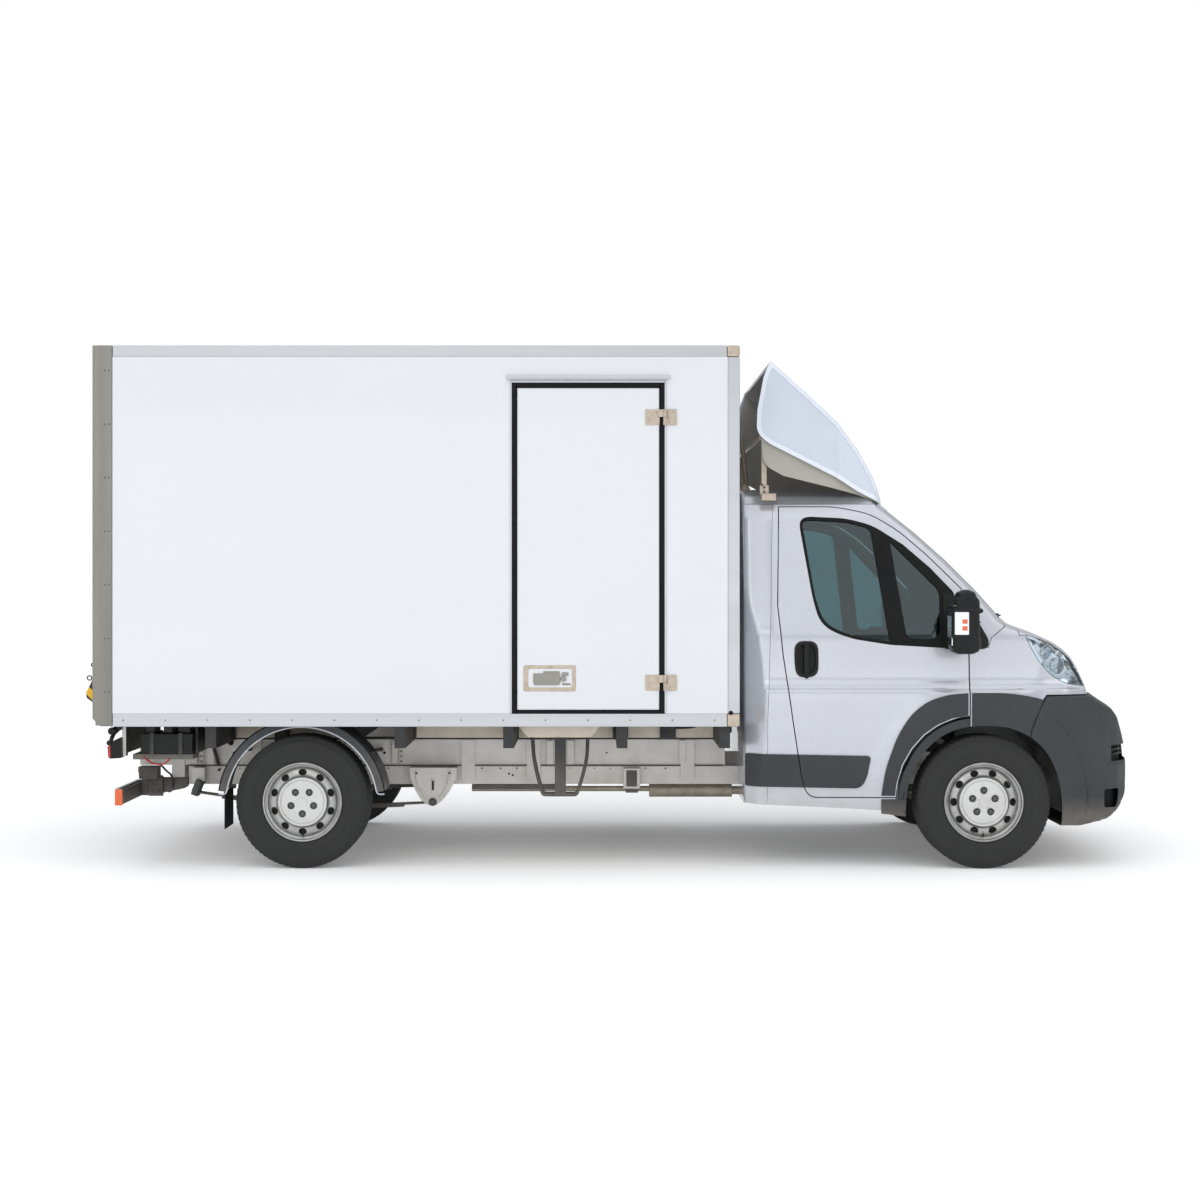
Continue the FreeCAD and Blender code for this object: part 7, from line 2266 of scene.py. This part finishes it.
# ------------------------------------------------------------------ inside the cab
@dataclass
class Interior:
    """Dashboard, steering wheel and padded seats.

    Attributes:
        layout: places of the axles.
        hub: middle of the steering wheel, from the front axle.
        tilt: lean of the steering wheel's axis from level, in degrees.
        ring: radius of its rim.
    """

    layout: Layout
    hub: tuple[float, float, float] = (-0.52, 0.45, 1.15)
    tilt: float = 38.0
    ring: float = 0.190

    def dashboard(self) -> None:
        """Make the dashboard with its hood, vents, screen, glove box and gear lever."""
        rows = ((0.034, 0.90, 0.02), (0.034, 1.300, 0.02), (-0.060, 1.323, 0.04), (-0.200, 1.308, 0.05),
                (-0.328, 1.235, 0.05), (-0.343, 1.080, 0.05), (-0.250, 0.960, 0.04), (-0.100, 0.902, 0.02))
        body = soften(prism(rows, View.SIDE, -0.896, 0.896), 0.010)
        hood = soften(prism(((-0.20, 1.300, 0.02), (-0.360, 1.318, 0.02), (-0.372, 1.270, 0.02),
                             (-0.33, 1.15, 0.02), (-0.22, 1.15, 0.01)), View.SIDE, 0.27, 0.63), 0.016)
        stack = soften(prism(((-0.30, 1.26, 0.02), (-0.365, 1.215, 0.02), (-0.385, 0.96, 0.03),
                              (-0.26, 0.86, 0.02), (-0.24, 1.20, 0.02)), View.SIDE, -0.16, 0.16), 0.012)
        dark = [block((-0.3605, -0.105, 1.150), (-0.345, 0.105, 1.225), 0.004),
                block((-0.372, 0.30, 1.19), (-0.362, 0.60, 1.29), 0.006)]
        dark += [block((-0.352, y - 0.055, 1.175), (-0.335, y + 0.055, 1.225), 0.008)
                 for y in (-0.78, -0.30, 0.76)]
        lever = joined(run([(-0.36, -0.02, 0.99), (-0.43, -0.02, 1.05), (-0.455, -0.02, 1.10)], 0.010),
                       rod((-0.45, -0.02, 1.085), (-0.465, -0.02, 1.15), 0.024, 24, 0.010))
        glove = block((-0.352, -0.82, 1.00), (-0.340, -0.28, 1.12), 0.008)
        Piece("dashboard_moulding", "chassis", "black_plastic", ["dashboard"]).put(
            moved(joined(body, hood, stack, glove), self.layout.cab), Finishes.TRIM).put(
            moved(joined(*dark, lever), self.layout.cab), Finishes.BLACK).done()

    def steering(self) -> None:
        """Make the steering wheel: rim, three spokes, padded boss and column."""
        lean = math.radians(self.tilt)
        turn = Matrix.Translation(self.hub) @ Matrix.Rotation(lean - math.pi / 2, 4, "Y")
        rim = run([(self.ring * math.cos(a), self.ring * math.sin(a), 0)
                   for a in (step * math.tau / 24 for step in range(26))], 0.0145)
        spokes = [run([(0.03 * math.cos(a), 0.03 * math.sin(a), -0.012),
                       (0.11 * math.cos(a), 0.11 * math.sin(a), -0.012),
                       (self.ring * math.cos(a), self.ring * math.sin(a), 0)], 0.013)
                  for a in (0.35, math.pi - 0.35, -math.pi / 2)]
        boss = soften(rod((0, 0, -0.035), (0, 0, 0.012), 0.070, 40), 0.012, math.radians(50))
        column = rod((0, 0, -0.14), (0, 0, -0.03), 0.038, 28, 0.004)
        bm = joined(rim, *spokes, boss, column)
        Piece("steering_wheel_rim", "steering_wheel", "black_plastic", ["steering_wheel"]).put(
            self.layout.cab_moved(bm, turn), Finishes.BLACK).done()

    def seat(self, name: str, low: float, high: float, places: int, replaces: Sequence[str] = ()) -> None:
        """Make one seat: padded cushion, back and head rests on a plastic base.

        Args:
            name: name of the seat.
            low: right side of it.
            high: left side of it.
            places: number of people it takes.
            replaces: nodes that it stands for.
        """
        cushion = ((-1.02, 0.755, 0.03), (-1.00, 0.872, 0.05), (-0.60, 0.885, 0.08), (-0.545, 0.855, 0.04),
                   (-0.56, 0.77, 0.04))
        back = ((-1.135, 0.85, 0.03), (-1.005, 0.87, 0.05), (-1.010, 1.02, 0.09), (-1.120, 1.420, 0.05),
                (-1.230, 1.420, 0.04))
        pads = []
        wide = (high - low) / places
        for number in range(places):
            y0, y1 = low + number * wide + 0.004, low + (number + 1) * wide - 0.004
            pads.append(soften(prism(cushion, View.SIDE, y0, y1), 0.032, segments=4))
            pads.append(soften(prism(back, View.SIDE, y0, y1), 0.032, segments=4))
            for bolster in ((y0, y0 + 0.075), (y1 - 0.075, y1)):
                pads.append(soften(prism(widened(cushion, 0.014), View.SIDE, *bolster), 0.028, segments=4))
                pads.append(soften(prism(widened(back, 0.012), View.SIDE, *bolster), 0.028, segments=4))
            middle = (y0 + y1) / 2
            pads.append(block((-1.235, middle - 0.13, 1.450), (-1.145, middle + 0.13, 1.625), 0.036))
        padded = Piece(f"{name}_padding", "chassis", "seat_fabric", replaces).put(
            moved(joined(*pads), self.layout.cab), Finishes.CLOTH).done()
        base = block((-1.0, low + 0.02, 0.556), (-0.60, high - 0.02, 0.756), 0.02)
        rods = [rod((-1.19, low + (number + 0.5) * wide + y, 1.40),
                    (-1.19, low + (number + 0.5) * wide + y, 1.47), 0.006) for number in range(places)
                for y in (-0.05, 0.05)]
        Piece(f"{name}_base", "chassis", "black_plastic").put(
            moved(base, self.layout.cab), Finishes.BLACK).put(
            moved(joined(*rods), self.layout.cab), Finishes.CHROME).done()

    def build(self) -> None:
        """Make everything inside the cab."""
        self.dashboard()
        self.steering()
        self.seat("driver_seat", 0.222, 0.678, 1, ["seats"])
        self.seat("passenger_bench", -0.758, -0.062, 2)


# ------------------------------------------------------------------ stage
@dataclass
class Studio:
    """Pale floor, soft lamps and the camera.

    Attributes:
        distance: from the middle plane of the vehicle to the camera.
        eye: height of the camera.
        lens: focal length for a 36 mm wide sensor.
        shift: how far the lens is shifted along the sensor and up it, as parts of its width.
        lamps: name, middle, width and height, and power in watts of each lamp.
    """

    distance: float = 11.26
    eye: float = 1.605
    lens: float = 55.2
    shift: tuple[float, float] = (3 / 1200, -19 / 1200)
    lamps: tuple = (("key_lamp", (-3.5, -9.5, 6.5), (8.0, 5.0), 120),
                    ("low_lamp", (-0.5, -11.0, 1.9), (14.0, 3.0), 118),
                    ("fill_lamp", (8.5, -5.0, 3.5), (4.0, 4.0), 70),
                    ("rear_lamp", (-8.5, -3.0, 3.0), (4.0, 4.0), 50))

    def build(self, layout: Layout) -> None:
        """Lay the floor, hang the lamps and set the camera.

        Args:
            layout: places of the axles.
        """
        self.floor()
        self.sun()
        for lamp in self.lamps:
            self.lamp(*lamp)
        world = bpy.data.worlds.new("studio")
        world.use_nodes = True
        world.node_tree.nodes.clear()
        glow = add(world.node_tree, "Background", {"Color": linear("#F4F6FA"), "Strength": 0.58})
        backdrop = add(world.node_tree, "Background", {"Color": linear("#FFFFFF"), "Strength": 1.0})
        seen = add(world.node_tree, "LightPath", {})
        both_ways = add(world.node_tree, "MixShader", {0: seen.outputs["Is Camera Ray"], 1: glow.outputs[0],
                                                       2: backdrop.outputs[0]})
        add(world.node_tree, "OutputWorld", {"Surface": both_ways.outputs[0]})
        bpy.context.scene.world = world
        data = bpy.data.cameras.new("main_camera")
        data.lens, data.sensor_width = self.lens, 36
        data.shift_x, data.shift_y = self.shift
        camera = bpy.data.objects.new("main_camera", data)
        camera.location = (layout.front_axle - 2.156, -self.distance, self.eye)
        camera.rotation_euler = (math.radians(90), 0, 0)
        bpy.context.scene.collection.objects.link(camera)
        bpy.context.scene.camera = camera
        bpy.context.scene.view_settings.view_transform = "Standard"

    def sun(self) -> None:
        """Hang one very broad light overhead, which brightens the floor evenly out to its edge."""
        data = bpy.data.lights.new("overhead", "SUN")
        data.energy, data.angle = 1.35, math.radians(100)
        thing = bpy.data.objects.new("overhead", data)
        thing.rotation_euler = (math.radians(18), 0, 0)
        bpy.context.scene.collection.objects.link(thing)

    def floor(self) -> None:
        """Lay one large plate of pale matt floor."""
        bm = bmesh.new()
        bmesh.ops.create_circle(bm, cap_ends=True, segments=96, radius=60)
        mesh = bpy.data.meshes.new("floor")
        bm.to_mesh(mesh)
        bm.free()
        mesh.materials.append(Finishes.FLOOR.material())
        thing = bpy.data.objects.new("floor", mesh)
        bpy.context.scene.collection.objects.link(thing)
        thing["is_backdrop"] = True

    def lamp(self, name: str, place: Sequence[float], size: Sequence[float], power: float) -> None:
        """Hang one soft rectangular lamp that faces the middle of the vehicle.

        Args:
            name: name of the lamp.
            place: its middle.
            size: its width and height.
            power: its power in watts.
        """
        data = bpy.data.lights.new(name, "AREA")
        data.shape, data.size, data.size_y, data.energy = "RECTANGLE", size[0], size[1], power
        thing = bpy.data.objects.new(name, data)
        thing.location = place
        thing.rotation_euler = (Vector((0, 0, 1.2)) - Vector(place)).to_track_quat("-Z", "Y").to_euler()
        bpy.context.scene.collection.objects.link(thing)


# ------------------------------------------------------------------ whole vehicle
CARRIED = {
    Finishes.GELCOAT: ("box_wall_left", "box_wall_right", "box_front_wall", "box_roof"),
    Finishes.PLYWOOD: ("box_floor",),
    Finishes.CASTING: ("engine_block",),
    Finishes.EXHAUST: ("exhaust",),
    Finishes.BLACK: ("fuel_tank",),
    Finishes.BLACKED: ("rear_axle", "front_subframe", "lift_arms", "lift_head"),
    Finishes.FORGED: ("steering_knuckle_left", "steering_knuckle_right"),
    Finishes.ANODISED: ("lift_platform",),
    Finishes.TRIM: ("cab_floor",),
}
SUBFRAME_TOP = 0.6775
RAIL_INSIDE = 0.4195


def dress_carried(frame: dict) -> None:
    """Dress the CAD nodes that stay as they are.

    Args:
        frame: the loaded frame.
    """
    for finish, names in CARRIED.items():
        for name in names:
            dress(frame, name, finish)
    dress(frame, "body_subframe", Finishes.FRAME, Finishes.BLACKED, lambda place: place.z > SUBFRAME_TOP)
    dress(frame, "chassis_frame", Finishes.FRAME, Finishes.BLACKED, lambda place: abs(place.y) < RAIL_INSIDE)


def corners() -> list[list[float]]:
    """Return the two corners of everything that is there, as plain numbers."""
    return [list(corner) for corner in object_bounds()]


def main() -> None:
    """Load the frame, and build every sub-assembly round it."""
    logging.basicConfig(level=logging.INFO, format="%(name)s: %(message)s")
    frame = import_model()
    layout = Layout.read()
    Studio().build(layout)
    cab = Cab(layout, CabForm())
    for part in (cab, Door(cab), Bumper(cab, BumperForm())):
        part.build()
    log.info("the cab is built")
    for side, sign in SIDES.items():
        for axle in ("front", "rear"):
            name = f"wheel_{axle}_{side}"
            low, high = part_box(name)
            Wheel().build(name, (low + high) / 2, sign, axle == "front")
    log.info("the wheels are built")
    for part in (LoadBox(frame["joints"]), Chassis(layout, frame["joints"]), TailLift(), Deflector(layout),
                 Interior(layout)):
        part.build()
    log.info("the load box, the chassis and the lift are built")
    dress_carried(frame)


if __name__ == "__main__":
    main()
